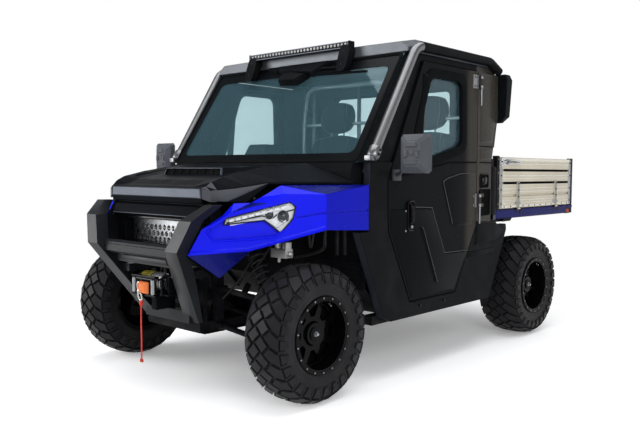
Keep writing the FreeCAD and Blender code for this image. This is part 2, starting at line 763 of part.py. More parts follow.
def build_receiver():
    """Square rear receiver with its cross-pin hole, carried on the rear cross member."""
    half = D.receiver / 2 + D.receiver_wall
    low = D.rail_low + D.rail_size + D.seat_gap
    start = D.rail_rear - 60
    tube = box("receiver_tube", (-half, start, low), (half, D.receiver_rear, low + 2 * half))
    socket = box("receiver_socket", (-D.receiver / 2, start, low + D.receiver_wall),
                 (D.receiver / 2, D.receiver_rear + 10, low + half * 2 - D.receiver_wall))
    hollow = cut("receiver_hollow", tube, socket)
    hole = rod("receiver_hole", (-half - 5, D.receiver_rear - 45, low + half),
               (half + 5, D.receiver_rear - 45, low + half), D.receiver_pin)
    node(cut("receiver", hollow, hole), "hitch_receiver")


def hinge_ears():
    """Ears, pins and the strut's lower clevis for the tipping bed."""
    shapes = []
    y, z = D.bed_hinge_y, D.bed_hinge_z
    for side in (-1, 1):
        for inner in (20.3, -32.3):
            x = side * D.bed_rail_x + inner
            disc = bar_shape((x, y, z), (x + 12, y, z), 24)
            web = Part.makeBox(12, 140, 30, Vector(x, y - 140, z - 30))
            shapes += [disc, web]
        shapes.append(bar_shape((side * D.bed_rail_x - 30, y, z),
                                (side * D.bed_rail_x + 30, y, z), D.bed_pin))
        tie = Part.makeBox(76, 20, 20, Vector(side * D.bed_rail_x - 32.3, y - 140, z - 30))
        shapes.append(tie)
    return joined_group(shapes)


def strut_clevis():
    """Ears and pin that hold the foot of the lift strut."""
    shapes = []
    pin_y, pin_z = D.strut_y, D.strut_z
    for reach in (-20, 12):
        x = D.strut_x + reach
        ear = Part.makeBox(8, 30, pin_z + 15 - D.rail_low - D.rail_size,
                           Vector(x, pin_y - 15, D.rail_low + D.rail_size))
        shapes.append(ear)
    shapes.append(bar_shape((D.strut_x - 16, pin_y, pin_z), (D.strut_x + 16, pin_y, pin_z), 7))
    return joined_group(shapes)


def joined_group(shapes):
    whole = shapes[0]
    for other in shapes[1:]:
        whole = whole.fuse(other)
    return whole


# ---------------------------------------------------------------- cab
def build_cab_tub():
    wall = D.pan_wall
    outer = [  # side profile of the pan: (along Y, height)
        (D.firewall_y, Size(1000)), (D.firewall_y, Size(520)),
        (D.firewall_y + 160, D.floor_top - wall), (D.deck_front, D.floor_top - wall),
        (D.deck_front, D.deck_top - wall), (D.cab_back - wall, D.deck_top - wall),
        (D.cab_back - wall, Size(1000)), (D.cab_back, Size(1000)),
    ]
    inner = [
        (D.cab_back, D.deck_top), (D.cab_back - 2 * wall, D.deck_top),
        (D.deck_front - wall, D.deck_top), (D.deck_front - wall, D.floor_top),
        (D.firewall_y + 166, D.floor_top), (D.firewall_y + wall, Size(526)),
        (D.firewall_y + wall, Size(1000)),
    ]
    outline = outer[:5] + [
        (D.cab_back - wall, D.deck_top - wall), (D.cab_back, D.deck_top - wall),
        (D.cab_back, Size(1000)), (D.cab_back - wall, Size(1000)),
        (D.cab_back - wall, D.deck_top),
    ] + inner[2:]
    tub = plate("tub", "side", outline, -D.tub_half, 2 * D.tub_half)
    node(tub, "cab_tub")


SEATS = (-D.steering_x, D.steering_x)


def build_seats():
    """Two bucket seats, each a cushion, a back and a head rest on two posts."""
    gap = D.seat_gap
    parts = []
    for side in SEATS:
        tag = "left" if side > 0 else "right"
        base = D.deck_top + gap
        cushion = [
            (Size(-160), base), (Size(270), base), (Size(219), base + 100),
            (Size(100), base + 112), (Size(-100), base + 130), (Size(-165), base + 100),
        ]
        parts.append(plate("cushion_" + tag, "side", cushion, side - 245, Size(490)))
        back = [
            (Size(278), base), (Size(346), base), (Size(364), base + 560),
            (Size(350), base + 640), (Size(310), base + 640), (Size(250), base + 560),
            (Size(238), base + 300), (Size(210), base + 130),
        ]
        parts.append(plate("back_" + tag, "side", back, side - 240, Size(480)))
        rest = [
            (Size(300), base + 680), (Size(366), base + 680), (Size(360), base + 900),
            (Size(318), base + 900), (Size(292), base + 800),
        ]
        parts.append(plate("rest_" + tag, "side", rest, side - 135, Size(270)))
        for reach in (-60, 60):
            parts.append(rod(f"rest_post_{tag}_{reach + 60}", (side + reach, 333, base + 640),
                             (side + reach, 333, base + 680), Size(7)))
    node(group("seat_set", parts), "seats")


def build_dashboard():
    front = D.firewall_y + D.pan_wall + D.seat_gap
    profile = [
        (front, Size(900)), (front, Size(1130)), (Size(-700), Size(1150)),
        (Size(-560), Size(1120)), (Size(-520), Size(1060)), (Size(-560), Size(860)),
        (Size(-640), Size(800)), (front, Size(800)),
    ]
    body = new_body("dash")
    pad(body, "side", profile, -D.tub_half + 6, 2 * D.tub_half - 12)
    DOC.recompute()
    centre, way = column_axis()
    housing = shaped("column_housing",
                     Part.makeCylinder(34, 150, centre - way * 205, way))
    clear = shaped("column_bore", Part.makeCylinder(12.5, 400, centre - way * 300, way))
    node(cut("dash_cut", fuse("dash_whole", [body, housing]), clear), "dashboard")


def build_cab_frame():
    """Round tubes: pillars, roof side rails, header, hoop and hoop braces."""
    tube = D.pillar_tube
    slope = (D.pillar_top_y - D.pillar_foot_y) / (D.pillar_top - D.pillar_foot)
    foot = (D.pillar_x, D.pillar_foot_y - 9 * slope, D.pillar_foot - 9)
    run = [foot, (D.pillar_x, D.pillar_top_y, D.pillar_top),
           (D.pillar_x, Size(380), D.pillar_top), (D.pillar_x, Size(500), D.pillar_top - 50)]
    pillar = pipe_shape([tuple(float(v) for v in point) for point in run], tube, 110)
    hoop_x, hoop_y = D.cage_x, D.cage_y
    hoop_top = D.roof_low - D.cage_tube - 6
    hoop = pipe_shape([(hoop_x, hoop_y, D.deck_top), (hoop_x, hoop_y, hoop_top),
                       (0, hoop_y, hoop_top)], D.cage_tube, 90)
    inner = D.side_x - D.side_thick
    bars = [bar_shape((-inner, hoop_y, hoop_top), (inner, hoop_y, hoop_top), 17),
            bar_shape((-hoop_x, hoop_y, 1330), (hoop_x, hoop_y, 1330), 17)]
    for side in (-1, 1):
        bars.append(bar_shape((side * 240, hoop_y, D.deck_top), (side * 240, hoop_y, hoop_top),
                              15))
    whole_hoop = joined_group([hoop, hoop.mirror(Vector(0, 0, 0), Vector(1, 0, 0))] + bars)
    header_y, header_z = D.pillar_top_y + 40, D.roof_low - 24
    header = bar_shape((-inner, header_y, header_z), (inner, header_y, header_z), 17)
    node(shaped("tubes", Part.Compound([both_sides(pillar), whole_hoop, header])), "cab_frame")


def side_outline():
    """Corners of the side panel round the door opening, as (along Y, height)."""
    gap = D.panel_gap
    top = D.roof_low
    fender = D.fender_rear + gap
    return [
        (fender, Size(1190)), (fender, Size(824)), (Size(-908), Size(823)),
        (Size(-865), Size(727)), (Size(-693), Size(347)), (Size(-623), D.sill_low),
        (Size(447), D.sill_low), (Size(667), Size(757)), (Size(660), D.corner_low - gap),
        (D.door_rear - 3, D.corner_low - gap), (D.door_foot_rear + 5, D.door_low - gap),
        (D.door_front_low - 4, D.door_low - gap), (D.door_front_mid - gap, D.waist - 272),
        (D.door_front_waist - gap, D.waist), (Size(-622), Size(1190)),
    ], [
        (Size(-833), Size(1190)), (Size(-622), Size(1190)),
        (D.door_front_top - gap, D.door_top + gap), (D.door_rear + gap, D.door_top + gap),
        (D.door_rear + gap, top), (Size(-446), top),
    ]


def build_side_panels():
    lower, upper = side_outline()
    inner = D.side_x - D.side_thick
    body = new_body("side_panel")
    pad(body, "side", lower, inner, D.side_thick)
    pad(body, "side", upper, inner, D.pillar_x - D.pillar_tube - D.seat_gap - inner)
    node(pair("side_panels_pair", body), "rocker_panels")


def build_rear_shell():
    inner = D.side_x - D.side_thick
    gap = D.panel_gap
    front = D.door_rear + gap
    wall = new_body("rear_shell_wall")
    pad(wall, "front", rectangle((-inner, D.corner_low), (inner, D.roof_low)), D.cab_back,
        D.wall_thick)
    pocket(wall, "front", rectangle((Size(-520), Size(1270)), (Size(520), Size(1700))),
           D.cab_back - 5, D.wall_thick + 10)
    corner = new_body("corner")
    pad(corner, "side", [
        (front, D.corner_low), (Size(447), D.corner_low), (Size(447), Size(1203)),
        (Size(470), Size(1303)), (D.corner_rear, Size(1483)), (Size(512), D.roof_low - 44),
        (front, D.roof_low - 44),
    ], inner, D.side_thick)
    pad(corner, "side", rectangle((front, D.roof_low - 44), (Size(500), D.roof_low)), inner,
        Size(28))
    corner_set = fuse("corner_set", [corner, door_hinges(False)])
    shell = fuse("rear_shell_set", [wall, corner_set, mirrored("corner_right", corner_set)])
    node(shell, "rear_shell")


def build_roof():
    rings = []
    half = D.side_x - 18
    for along, crown in ((D.roof_front, -28), (-330, 0), (250, 0), (430, -20),
                         (D.roof_rear, -45)):
        low = D.roof_low
        top = D.roof_crown + crown
        rings.append([
            (-half, along, low + 0.3), (half, along, low + 0.3), (half, along, low + 52 + crown),
            (half - 50, along, top - 8), (0, along, top), (50 - half, along, top - 8),
            (-half, along, low + 52 + crown),
        ])
    node(shaped("roof_skin", ring_solid(rings)), "roof")


SCREEN = ((Size(-872), D.screen_foot + D.seat_gap), (Size(-468), Size(1800)))


def screen_y(height):
    """Where the windscreen's outer face lies along Y at a height."""
    (low_y, low_z), (high_y, high_z) = SCREEN
    return low_y + (height - low_z) * ((high_y - low_y) / (high_z - low_z))


def build_glass():
    bottom, top = SCREEN
    profile = [bottom, (bottom[0] + 7, bottom[1]), (top[0] + 7, top[1]), top]
    screen = plate("screen", "side", profile, -D.screen_half, 2 * D.screen_half)
    gap = D.seat_gap
    pane = plate("rear_pane", "front",
                 rectangle((gap - 520, 1270 + gap), (520 - gap, 1700 - gap)),
                 D.cab_back + 7, D.glass)
    node(group("cab_panes", [screen, pane]), "cab_glass")


# ---------------------------------------------------------------- doors
WINDOW = (  # corners of the door's window: (along Y, height)
    (Size(-497), Size(1122)), (Size(124), Size(1272)), (Size(109), Size(1722)),
    (Size(-290), Size(1722)),
)


def build_doors():
    inner = D.side_x - D.side_thick
    door = new_body("door")
    pad(door, "side", [
        (D.door_front_low, D.door_low), (D.door_foot_rear, D.door_low),
        (D.door_rear, D.door_rear_low), (D.door_rear, D.door_top),
        (D.door_front_top, D.door_top), (D.door_front_waist, D.waist),
        (D.door_front_mid, D.waist - 271),
    ], inner, D.side_thick)
    pocket(door, "side", WINDOW, inner - 5, D.side_thick + 10)
    whole = fuse("door_whole", [door, door_hinges(True)])
    node(whole, "left_door")
    node(mirrored("door_image", whole), "right_door")
    gap = D.seat_gap
    pane = plate("pane", "side", inset(WINDOW, gap), inner + 20, D.glass)
    node(pane, "left_door_glass")
    node(mirrored("pane_image", pane), "right_door_glass")


def inset(points, gap):
    """Shrink a convex outline towards its middle by about gap at each corner."""
    middle_y = sum(float(p[0]) for p in points) / len(points)
    middle_z = sum(float(p[1]) for p in points) / len(points)
    return [(p[0] + math.copysign(gap, middle_y - p[0]),
             p[1] + math.copysign(gap, middle_z - p[1])) for p in points]


def hinge_shape(centre, along, out, reach, radius, near, far, leaf, moving):
    """Half of a butt hinge: barrels, pin and leaf.

    along runs with the pin, out points away from the face, reach points along the
    moving leaf; near and far are the leaf's faces, measured from the pin along out.
    """
    way = reach if moving else -reach
    spans = ((-20, 20),) if moving else ((-42, -20.5), (20.5, 42))
    shapes = []
    for low, high in spans:
        length = high - low
        barrel = Part.makeCylinder(radius, length, Vector(low, 0, 0), Vector(1, 0, 0))
        flat = Part.makeBox(length, far - near, leaf, Vector(low, near, 0))
        low_side, high_side = min(near, 0), max(far, 0)
        lug = Part.makeBox(length, high_side - low_side, radius, Vector(low, low_side, 0))
        shapes += [barrel, flat, lug]
    whole = joined_group(shapes)
    if moving:
        whole = whole.cut(Part.makeCylinder(D.hinge_pin + 0.3, 84, Vector(-42, 0, 0),
                                            Vector(1, 0, 0)))
    else:
        pin = Part.makeCylinder(D.hinge_pin, 84, Vector(-42, 0, 0), Vector(1, 0, 0))
        whole = whole.fuse(pin)
    if along.cross(out).dot(way) < 0:
        along = along * -1
    whole.Placement = FreeCAD.Placement(centre, FreeCAD.Rotation(along, out, way, "XYZ"))
    return whole


def door_hinges(moving):
    """Two outside hinges at the door's rear edge."""
    face = D.side_x - D.hinge_x
    parts = [hinge_shape(Vector(D.hinge_x, D.hinge_y, level), Vector(0, 0, 1), Vector(1, 0, 0),
                         Vector(0, -1, 0), D.hinge_barrel, face, face + 6, 72, moving)
             for level in (D.hinge_low, D.hinge_high)]
    return shaped(f"door_hinges_{moving}", Part.Compound(parts))


def gate_hinges(moving, rear):
    """Two strap hinges at the foot of a side gate or of the tailgate."""
    parts = []
    level = D.gate_pin_z
    for place in ((-450, 450) if rear else (860, 1460)):
        if rear:
            centre = Vector(place, D.bed_rear + D.gate_pin_out, level)
            along, out = Vector(1, 0, 0), Vector(0, 1, 0)
        else:
            centre = Vector(D.bed_half + D.gate_pin_out, place, level)
            along, out = Vector(0, 1, 0), Vector(1, 0, 0)
        leaf = 190 if moving else 34
        parts.append(hinge_shape(centre, along, out, Vector(0, 0, 1), 7, -D.gate_pin_out,
                                 5 - D.gate_pin_out, leaf, moving))
    return Part.Compound(parts)


def build_mirrors():
    centre = (1055, -750, 1230)
    rings = []
    for along, wide, tall in ((-38, 50, 66), (-14, 82, 98), (22, 84, 100)):
        x, y, z = centre
        rings.append([
            (x - wide, y + along, z - tall + 16), (x - wide + 16, y + along, z - tall),
            (x + wide - 16, y + along, z - tall), (x + wide, y + along, z - tall + 16),
            (x + wide, y + along, z + tall - 16), (x + wide - 16, y + along, z + tall),
            (x - wide + 16, y + along, z + tall), (x - wide, y + along, z + tall - 16),
        ])
    head = ring_solid(rings)
    arm = pipe_shape([(D.side_x + 8, -590, 1120), (D.side_x + 60, -640, 1130),
                      (centre[0] - 40, centre[1], 1190)], 11, 30)
    foot = Part.makeBox(12, 70, 60, Vector(D.side_x, -630, 1090))
    left = shaped("mirror", joined_group([head, arm, foot]))
    node(left, "left_mirror")
    node(mirrored("mirror_image", left), "right_mirror")


# ---------------------------------------------------------------- front
SLANT = Vector(0.79529, -0.60622, 0)  # the way the fender's slanted face looks
ALONG = Vector(0.60622, 0.79529, 0)  # level direction in that face, towards the rear

SLANT_CORNERS = (  # (name, along from the crease, height, slide and rise of the inner corner)
    ("tip", -669, 735, 0, 7), ("low", -373, 753, 0, 7), ("crease_low", 0, 851, -10.1, 6),
    ("crease_top", 0, 1026, -10.1, -20), ("top_front", -208, 1029, 0, -20),
    ("top_low", -287, 983, 0, -12), ("brow", -348, 971, 0, -12), ("cheek", -465, 938, 0, -10),
    ("nose", -559, 881, 0, -8), ("front_top", -604, 860, 0, -8),
)

FREE_CORNERS = (  # (name, outer x, y, z, step to the inner corner in x, y, z)
    ("edge_1", 488, -1540, 924, -18, 10, -19), ("edge_2", 515, -1492, 982, -10, 12, -24),
    ("edge_3", 560, -1420, 984, -12, 10, -26), ("edge_4", 600, -1388, 1013, -12, 12, -27),
    ("edge_5", 650, -1306, 1069, -18, 6, -25), ("rear_top", 815, -825, 1069, -30, 0, -25),
    ("rear_low", 815, -825, 832, -30, 0, 6), ("under", 450, -1527, 617, -22, 16, 14),
)

FENDER_PANELS = (
    [name for name, *_ in SLANT_CORNERS],
    ["crease_low", "rear_low", "rear_top", "crease_top"],
    ["crease_top", "rear_top", "edge_5"], ["top_front", "crease_top", "edge_5"],
    ["top_front", "edge_5", "edge_4"], ["top_low", "top_front", "edge_4"],
    ["top_low", "edge_4", "edge_3"], ["brow", "top_low", "edge_3"],
    ["cheek", "brow", "edge_3"], ["cheek", "edge_3", "edge_2"], ["cheek", "edge_2", "edge_1"],
    ["nose", "cheek", "edge_1"], ["front_top", "nose", "edge_1"], ["low", "tip", "under"],
)

LAMP_LINE = (  # headlight outline in the slanted face: (along from the crease, height)
    (-502, 880), (-490, 912), (-181, 989), (-152, 967), (-163, 912), (-181, 888), (-226, 838),
    (-305, 900),
)

RECESS_LINE = (  # hollow under the headlight
    (-578, 845), (-551, 805), (-375, 812), (-256, 825), (-215, 850), (-300, 930), (-495, 905),
)


def slant_point(along, height):
    """A point of the slanted face, measured from the crease with the fender's side."""
    foot = Vector(D.fender_x, D.fender_crease_y, 0)
    return foot + ALONG * along + Vector(0, 0, height)


def slant_prism(outline, ahead, depth):
    """An outline of the slanted face pushed inwards from a distance ahead of it."""
    corners = [slant_point(*place) + SLANT * ahead for place in outline]
    return face(corners).extrude(SLANT * -(ahead + depth))


def grown(outline, gap):
    """Push an outline's corners away from its middle."""
    count = len(outline)
    middle = [sum(place[axis] for place in outline) / count for axis in (0, 1)]
    return [tuple(place[axis] + math.copysign(gap, place[axis] - middle[axis])
                  for axis in (0, 1)) for place in outline]


def fender_corners():
    """Outer and inner corner of every fold of the left fender."""
    corners = {}
    for name, along, height, slide, rise in SLANT_CORNERS:
        outer = slant_point(along, height)
        inner = outer - SLANT * D.fender_wall + ALONG * slide + Vector(0, 0, rise)
        corners[name] = (outer, inner)
    for name, x, y, z, *step in FREE_CORNERS:
        corners[name] = (Vector(x, y, z), Vector(x, y, z) + Vector(*step))
    return corners


def build_fenders():
    """Fenders of flat folds with a hollow, a groove and the headlight let in."""
    skin = shell_solid(fender_corners(), FENDER_PANELS)
    skin = skin.cut(slant_prism(grown(LAMP_LINE, D.lamp_gap), 30, D.lamp_depth + 60))
    skin = skin.cut(slant_prism(RECESS_LINE, 5, D.recess))
    skin = skin.cut(slant_prism([(-150, 910), (0, 934), (0, 942), (-150, 917)], 5, D.groove))
    level = D.fender_crease_y - 4
    skin = skin.cut(Part.makeBox(20, D.fender_rear - level + 5, 8,
                                 Vector(D.fender_x - D.groove, level, 934)))
    node(pair("fenders", shaped("fender", skin)), "front_fenders")
    lamp = shaped("lamp", slant_prism(LAMP_LINE, 0, D.lamp_depth))
    node(pair("lamps", lamp), "headlights")


HOOD = (  # (y, middle z, hollow x, ridge x, ridge z, side x, side z, skirt z, wall, side wall)
    (-1588, 1053, 300, 385, 1053, 392, 1050, 1003, 52, 49),
    (-1571, 1060, 300, 404, 1062, 434, 1041, 988, 66, 45),
    (-1545, 1068, 298, 412, 1084, 454, 1046, 988, 40, 20),
    (-1485, 1092, 294, 428, 1108, 500, 1058, 988, 14, 12),
    (-1434, 1103, 291, 432, 1118, 540, 1068, 987, 14, 12),
    (-1346, 1118, 286, 436, 1137, 608, 1085, 1075, 14, 12),
    (-1304, 1124, 284, 437, 1143, 648, 1085, 1075, 14, 12),
    (-1200, 1138, 280, 440, 1160, 684, 1085, 1075, 14, 12),
    (-912, 1172, 270, 445, 1186, 783, 1085, 1075, 14, 12),
)


def build_hood():
    """Folded hood with a sunk middle, two ridges and skirts down to the fenders."""
    rings = []
    for y, middle, hollow, ridge, crest, side, edge, skirt, wall, side_wall in HOOD:
        outer = [(hollow, middle), (ridge, crest), (side, edge), (side, skirt)]
        inner = [(side - 6, skirt), (side - 14, edge - side_wall),
                 (ridge * 0.97, crest - wall), (hollow * 0.97, middle - wall)]
        half = outer + inner
        right = [(-x, y, z) for x, z in reversed(outer)]
        under = [(-x, y, z) for x, z in reversed(inner)]
        rings.append(right + [(x, y, z) for x, z in half] + under)
    skin = shaped("hood_skin", ring_solid(rings))
    node(fuse("hood_set", [skin, shaped("hood_hinge_moving", hood_hinge(True))]), "hood")


def hood_hinge(moving):
    """Two hinges under the hood's rear edge, on the cowl."""
    parts = []
    for across in (-330, 330):
        centre = Vector(across, D.hood_pin_y, D.hood_pin_z)
        rise = D.hood_rear_top - D.hood_wall - D.hood_pin_z
        parts.append(hinge_shape(centre, Vector(1, 0, 0), Vector(0, 0, 1), Vector(0, -1, 0),
                                 7, rise - 5, rise, 60, moving))
    return Part.Compound(parts)


def build_front_liner():
    """Cowl under the windscreen and the plates behind and over the front wheels."""
    wall = D.firewall_y
    cowl = plate("cowl", "side", [
        (Size(-900), Size(1000)), (Size(-900), Size(1140)), (Size(-878), D.screen_foot),
        (wall, D.screen_foot), (wall, Size(1000)),
    ], Size(-752), Size(1504))
    hinge = shaped("hood_hinge_fixed", hood_hinge(False))
    liner = new_body("liner")
    step = D.liner_wall
    pad(liner, "side", [
        (Size(-700), Size(396)), (wall - step, Size(506)), (wall - step, Size(700)),
        (Size(-890), Size(890)), (Size(-1050), Size(965)), (Size(-1130), Size(965)),
        (Size(-1130), Size(965) + step), (Size(-1048), Size(965) + step),
        (Size(-884), Size(896)), (wall, Size(704)), (wall, Size(516)), (Size(-690), Size(402)),
    ], Size(340), D.side_x - D.side_thick - D.seat_gap - 340)
    reach = D.fender_x - D.fender_wall - D.seat_gap
    pad(liner, "top", [
        (Size(340), Size(-1375)), (Size(590), Size(-1375)), (Size(727), Size(-1195)),
        (reach, Size(-1138)), (reach, Size(-1050)), (Size(340), Size(-1050)),
    ], Size(965), step)
    node(group("liners", [fuse("cowl_set", [cowl, hinge]), liner,
                          mirrored("liner_right", liner)]), "front_liner")


def build_fascia():
    body = new_body("fascia")
    pad(body, "front", [
        (Size(-430), Size(980)), (Size(-430), Size(900)), (Size(-360), Size(700)),
        (Size(360), Size(700)), (Size(430), Size(900)), (Size(430), Size(980)),
    ], Size(-1560), Size(60))
    pocket(body, "front", [
        (-D.mesh_half, D.mesh_high), (D.mesh_half, D.mesh_high),
        (D.mesh_half - 8, D.mesh_low), (8 - D.mesh_half, D.mesh_low),
    ], Size(-1570), Size(80))
    node(body, "front_fascia")
    node(shaped("mesh", mesh_shape()), "grille_mesh")


def mesh_shape():
    """Flat sheet with rows of staggered six-sided holes."""
    half = D.mesh_half + 14
    low, high = D.mesh_low - 14, D.mesh_high + 14
    y = -1500
    sheet = Part.makeBox(2 * half, 4, high - low, Vector(-half, y, low))
    pitch = 38
    holes = []
    rows = int((high - low - 30) / (pitch * 0.866))
    for row in range(rows):
        shift = pitch / 2 if row % 2 else 0
        count = int((2 * half - 40 - shift) / pitch)
        for column in range(count):
            x = -half + 34 + shift + column * pitch
            z = low + 26 + row * pitch * 0.866
            holes.append(hexagon(x, y - 2, z, 16, 8))
    return sheet.cut(Part.Compound(holes))


def hexagon(x, y, z, radius, depth):
    corners = [Vector(x + radius * math.sin(k * math.pi / 3), y,
                      z + radius * math.cos(k * math.pi / 3)) for k in range(6)]
    return Part.Face(Part.makePolygon(corners + corners[:1])).extrude(Vector(0, depth, 0))


GUARD = (  # (height, inner x, ridge x, face y, depth of the side)
    (975, 440, 504, -1612, 64), (900, 367, 460, -1706, 74), (750, 298, 393, -1741, 73),
    (600, 232, 334, -1644, 66), (355, 117, 234, -1484, 30),
)


def build_guard():
    """Bumper guard: two bent columns, cross bars, bottom plate and frame arms."""
    rings = []
    for z, inner, ridge, y, depth in GUARD:
        rings.append([(inner, y, z), (ridge, y, z), (ridge - 4, y + depth, z),
                      (inner + 6, y + depth, z)])
    column = ring_solid(rings)
    arm = Part.makeBox(105, 170, 40, Vector(185, -1620, 600))
    shapes = [column, arm, column.mirror(Vector(0, 0, 0), Vector(1, 0, 0)),
              arm.mirror(Vector(0, 0, 0), Vector(1, 0, 0))]
    for low, high, front, back, half in (
        (733, 762, -1700, -1655, 320), (656, 704, -1652, -1606, 285),
        (352, 412, -1512, -1466, 190),
    ):
        shapes.append(Part.makeBox(2 * half, back - front, high - low,
                                   Vector(-half, front, low)))
    node(shaped("guard", joined_group(shapes).removeSplitter()), "bumper_guard")


def build_winch():
    drum = bar_shape((-120, -1555, 548), (120, -1555, 548), 40)
    plate_box = Part.makeBox(300, 130, 6, Vector(-150, -1612, 500))
    ends = [Part.makeBox(14, 80, 86, Vector(x, -1595, 506)) for x in (-134, 120)]
    lead = Part.makeBox(200, 12, 70, Vector(-150, -1624, 500))
    lead = lead.cut(Part.makeBox(120, 20, 26, Vector(-110, -1630, 520)))
    body = joined_shape([drum, plate_box, lead] + ends)
    foot = Part.makeBox(40, 120, 88, Vector(-20, -1592, 412))
    body = body.fuse(foot).removeSplitter()
    hook = Part.makeTorus(16, 5, Vector(-44, -1642, 488), Vector(0, 1, 0))
    stop = Part.makeBox(88, 25.7, 64, Vector(-49, -1650, 503))
    node(shaped("winch_set", Part.Compound([body, hook.fuse(stop)])), "winch")
    strap = box("strap", (Size(-57), Size(-1644.5), Size(142)),
                (Size(-31), Size(-1639.5), Size(466.7)))
    node(strap, "hook_strap")


def build_roof_gear():
    """Light bar on two brackets, wiper, and the air intake behind the cab."""
    bar = box("lamp_bar", (Size(-420), Size(-526), Size(1857)), (Size(420), Size(-484), Size(1897)))
    brackets = []
    for side in (-1, 1):
        outline = [(Size(-516), Size(1790)), (D.roof_front, Size(1826)),
                   (D.roof_front, Size(1862)), (Size(-520), Size(1862))]
        brackets.append(plate(f"bracket_{side + 1}", "side", outline,
                              Size(side * 395 - 30), Size(60)))
    node(fuse("lamp_bar_set", [bar] + brackets), "light_bar")
    gap = D.seat_gap
    low, high = Size(1748), Size(1796)
    motor = plate("wiper_motor", "side", [
        (screen_y(low) - gap, low), (screen_y(high) - gap, high),
        (screen_y(high) - 30, high - 6), (screen_y(low) - 34, low),
    ], Size(-75), Size(150))
    arm = shaped("wiper_arm", bar_shape((60, screen_y(low) - 12, 1766),
                                        (420, screen_y(low) - 8, 1752), 6))
    node(fuse("wiper_set", [motor, arm]), "wiper")
    near = D.corner_rear + gap
    rings = [[(776, near, z), (wide, near, z), (wide, deep, z), (776, deep, z)]
             for z, wide, deep in ((1459, 842, 548), (1500, 876, 576), (1736, 884, 590),
                                   (1772, 868, 584))]
    node(shaped("intake", ring_solid(rings)), "intake_box")


# ---------------------------------------------------------------- bed
def build_bed():
    half = D.bed_half
    gate = D.gate_thick
    floor_low = D.bed_floor - D.bed_thick
    size = D.post_size
    parts = [box("bed_deck", (6 + gate - half, D.headboard_front, floor_low),
                 (half - gate - 6, D.bed_rear - size - 2, D.bed_floor))]

    def two(name, start, end):
        parts.append(box("bed_" + name, start, end))
        parts.append(mirrored(f"bed_{name}_right", parts[-1]))

    rail_low = floor_low - 40
    rail_top = D.bed_floor - D.panel_gap
    two("edge_rail", (half - 60, D.bed_front + 15, rail_low), (half, Size(1640), rail_top))
    two("edge_cap", (half - 60, Size(1640), floor_low - 5), (half, D.bed_rear - 60, rail_top))
    two("under_rail", (D.bed_rail_x - 18, D.bed_front + 20, D.bed_rail_top + D.seat_gap),
        (D.bed_rail_x + 18, D.bed_hinge_y + 26, floor_low))
    two("front_post", (half - size, D.bed_front, floor_low - 5),
        (half, D.bed_front + size, D.gate_top + 8))
    two("rear_post", (half - size, D.bed_rear - size, floor_low - 5),
        (half, D.bed_rear, D.gate_top + 8))
    parts.append(box("bed_rear_beam", (-half, D.bed_rear - 60, rail_low),
                     (half, D.bed_rear, rail_top)))
    for index in range(4):
        start = D.bed_front + 120 + 300 * index
        parts.append(box(f"bed_cross_{index}", (60 - half, start, rail_low + 4),
                         (half - 60, start + 40, floor_low)))
    feet = shaped("gate_feet", gate_hinges(False, False))
    parts += [feet, mirrored("gate_feet_right", feet),
              shaped("tailgate_feet", gate_hinges(False, True))]
    deck = fuse("bed_deck_set", parts)
    hinge = shaped("bed_lugs", bed_lugs())
    bores = shaped("bed_bores", bed_bores())
    node(cut("bed_cut", fuse("bed_whole", [deck, hinge]), bores), "bed_tray")
    board = [(-half, floor_low), (half, floor_low), (half, D.gate_top - 20),
             (half - 30, D.gate_top), (30 - half, D.gate_top), (-half, D.gate_top - 20)]
    head = new_body("headboard")
    pad(head, "front", board, D.headboard_front - 22, Size(22))
    DOC.recompute()
    node(head, "bed_headboard")
    lamp = box("tail_lamp", (half - 60, Size(1640.3), rail_low),
               (half, D.bed_rear - 60 - D.seat_gap, floor_low - 5 - D.seat_gap))
    node(pair("tail_lamps", lamp), "tail_lights")


def bed_lugs():
    shapes = []
    for side in (-1, 1):
        x = side * D.bed_rail_x - 18
        shapes.append(bar_shape((x, D.bed_hinge_y, D.bed_hinge_z),
                                (x + 36, D.bed_hinge_y, D.bed_hinge_z), 26))
    clevis_y, clevis_z = D.strut_eye_y, D.strut_eye_z
    for reach in (-20, 12):
        shapes.append(Part.makeBox(8, 30, D.bed_floor - D.bed_thick - clevis_z + 15,
                                   Vector(D.strut_x + reach, clevis_y - 15, clevis_z - 15)))
    return Part.Compound(shapes)


def bed_bores():
    shapes = []
    for side in (-1, 1):
        x = side * D.bed_rail_x - 40
        shapes.append(bar_shape((x, D.bed_hinge_y, D.bed_hinge_z),
                                (x + 80, D.bed_hinge_y, D.bed_hinge_z), D.bed_pin + 0.3))
    return Part.Compound(shapes)


def gate_profile(inner, outer):
    """Cross-section of a gate board with three grooves: (across, height)."""
    low, high = D.bed_floor + 1, D.gate_top
    points = [(inner, low), (outer, low)]
    rise = (high - low) / 4
    step = 6 if outer > inner else -6
    for index in range(1, 4):
        middle = low + rise * index
        points += [(outer, middle - 8), (outer - step, middle - 3),
                   (outer - step, middle + 3), (outer, middle + 8)]
    return points + [(outer, high), (inner, high)]


def build_gates():
    half = D.bed_half
    gate = D.gate_thick
    start = D.bed_front + D.post_size + D.panel_gap
    length = D.bed_rear - D.post_size - D.panel_gap - start
    side = new_body("side_gate")
    pad(side, "front", gate_profile(half - gate, half), start, length)
    side_set = fuse("side_gate_set", [side, shaped("side_straps", gate_hinges(True, False))])
    node(side_set, "left_side_gate")
    node(mirrored("side_gate_image", side_set), "right_side_gate")
    width = half - D.post_size - D.panel_gap
    rear = new_body("rear_gate")
    pad(rear, "side", gate_profile(D.bed_rear - gate, D.bed_rear), -width, 2 * width)
    straps = shaped("rear_straps", gate_hinges(True, True))
    node(fuse("rear_gate_set", [rear, straps]), "tailgate")


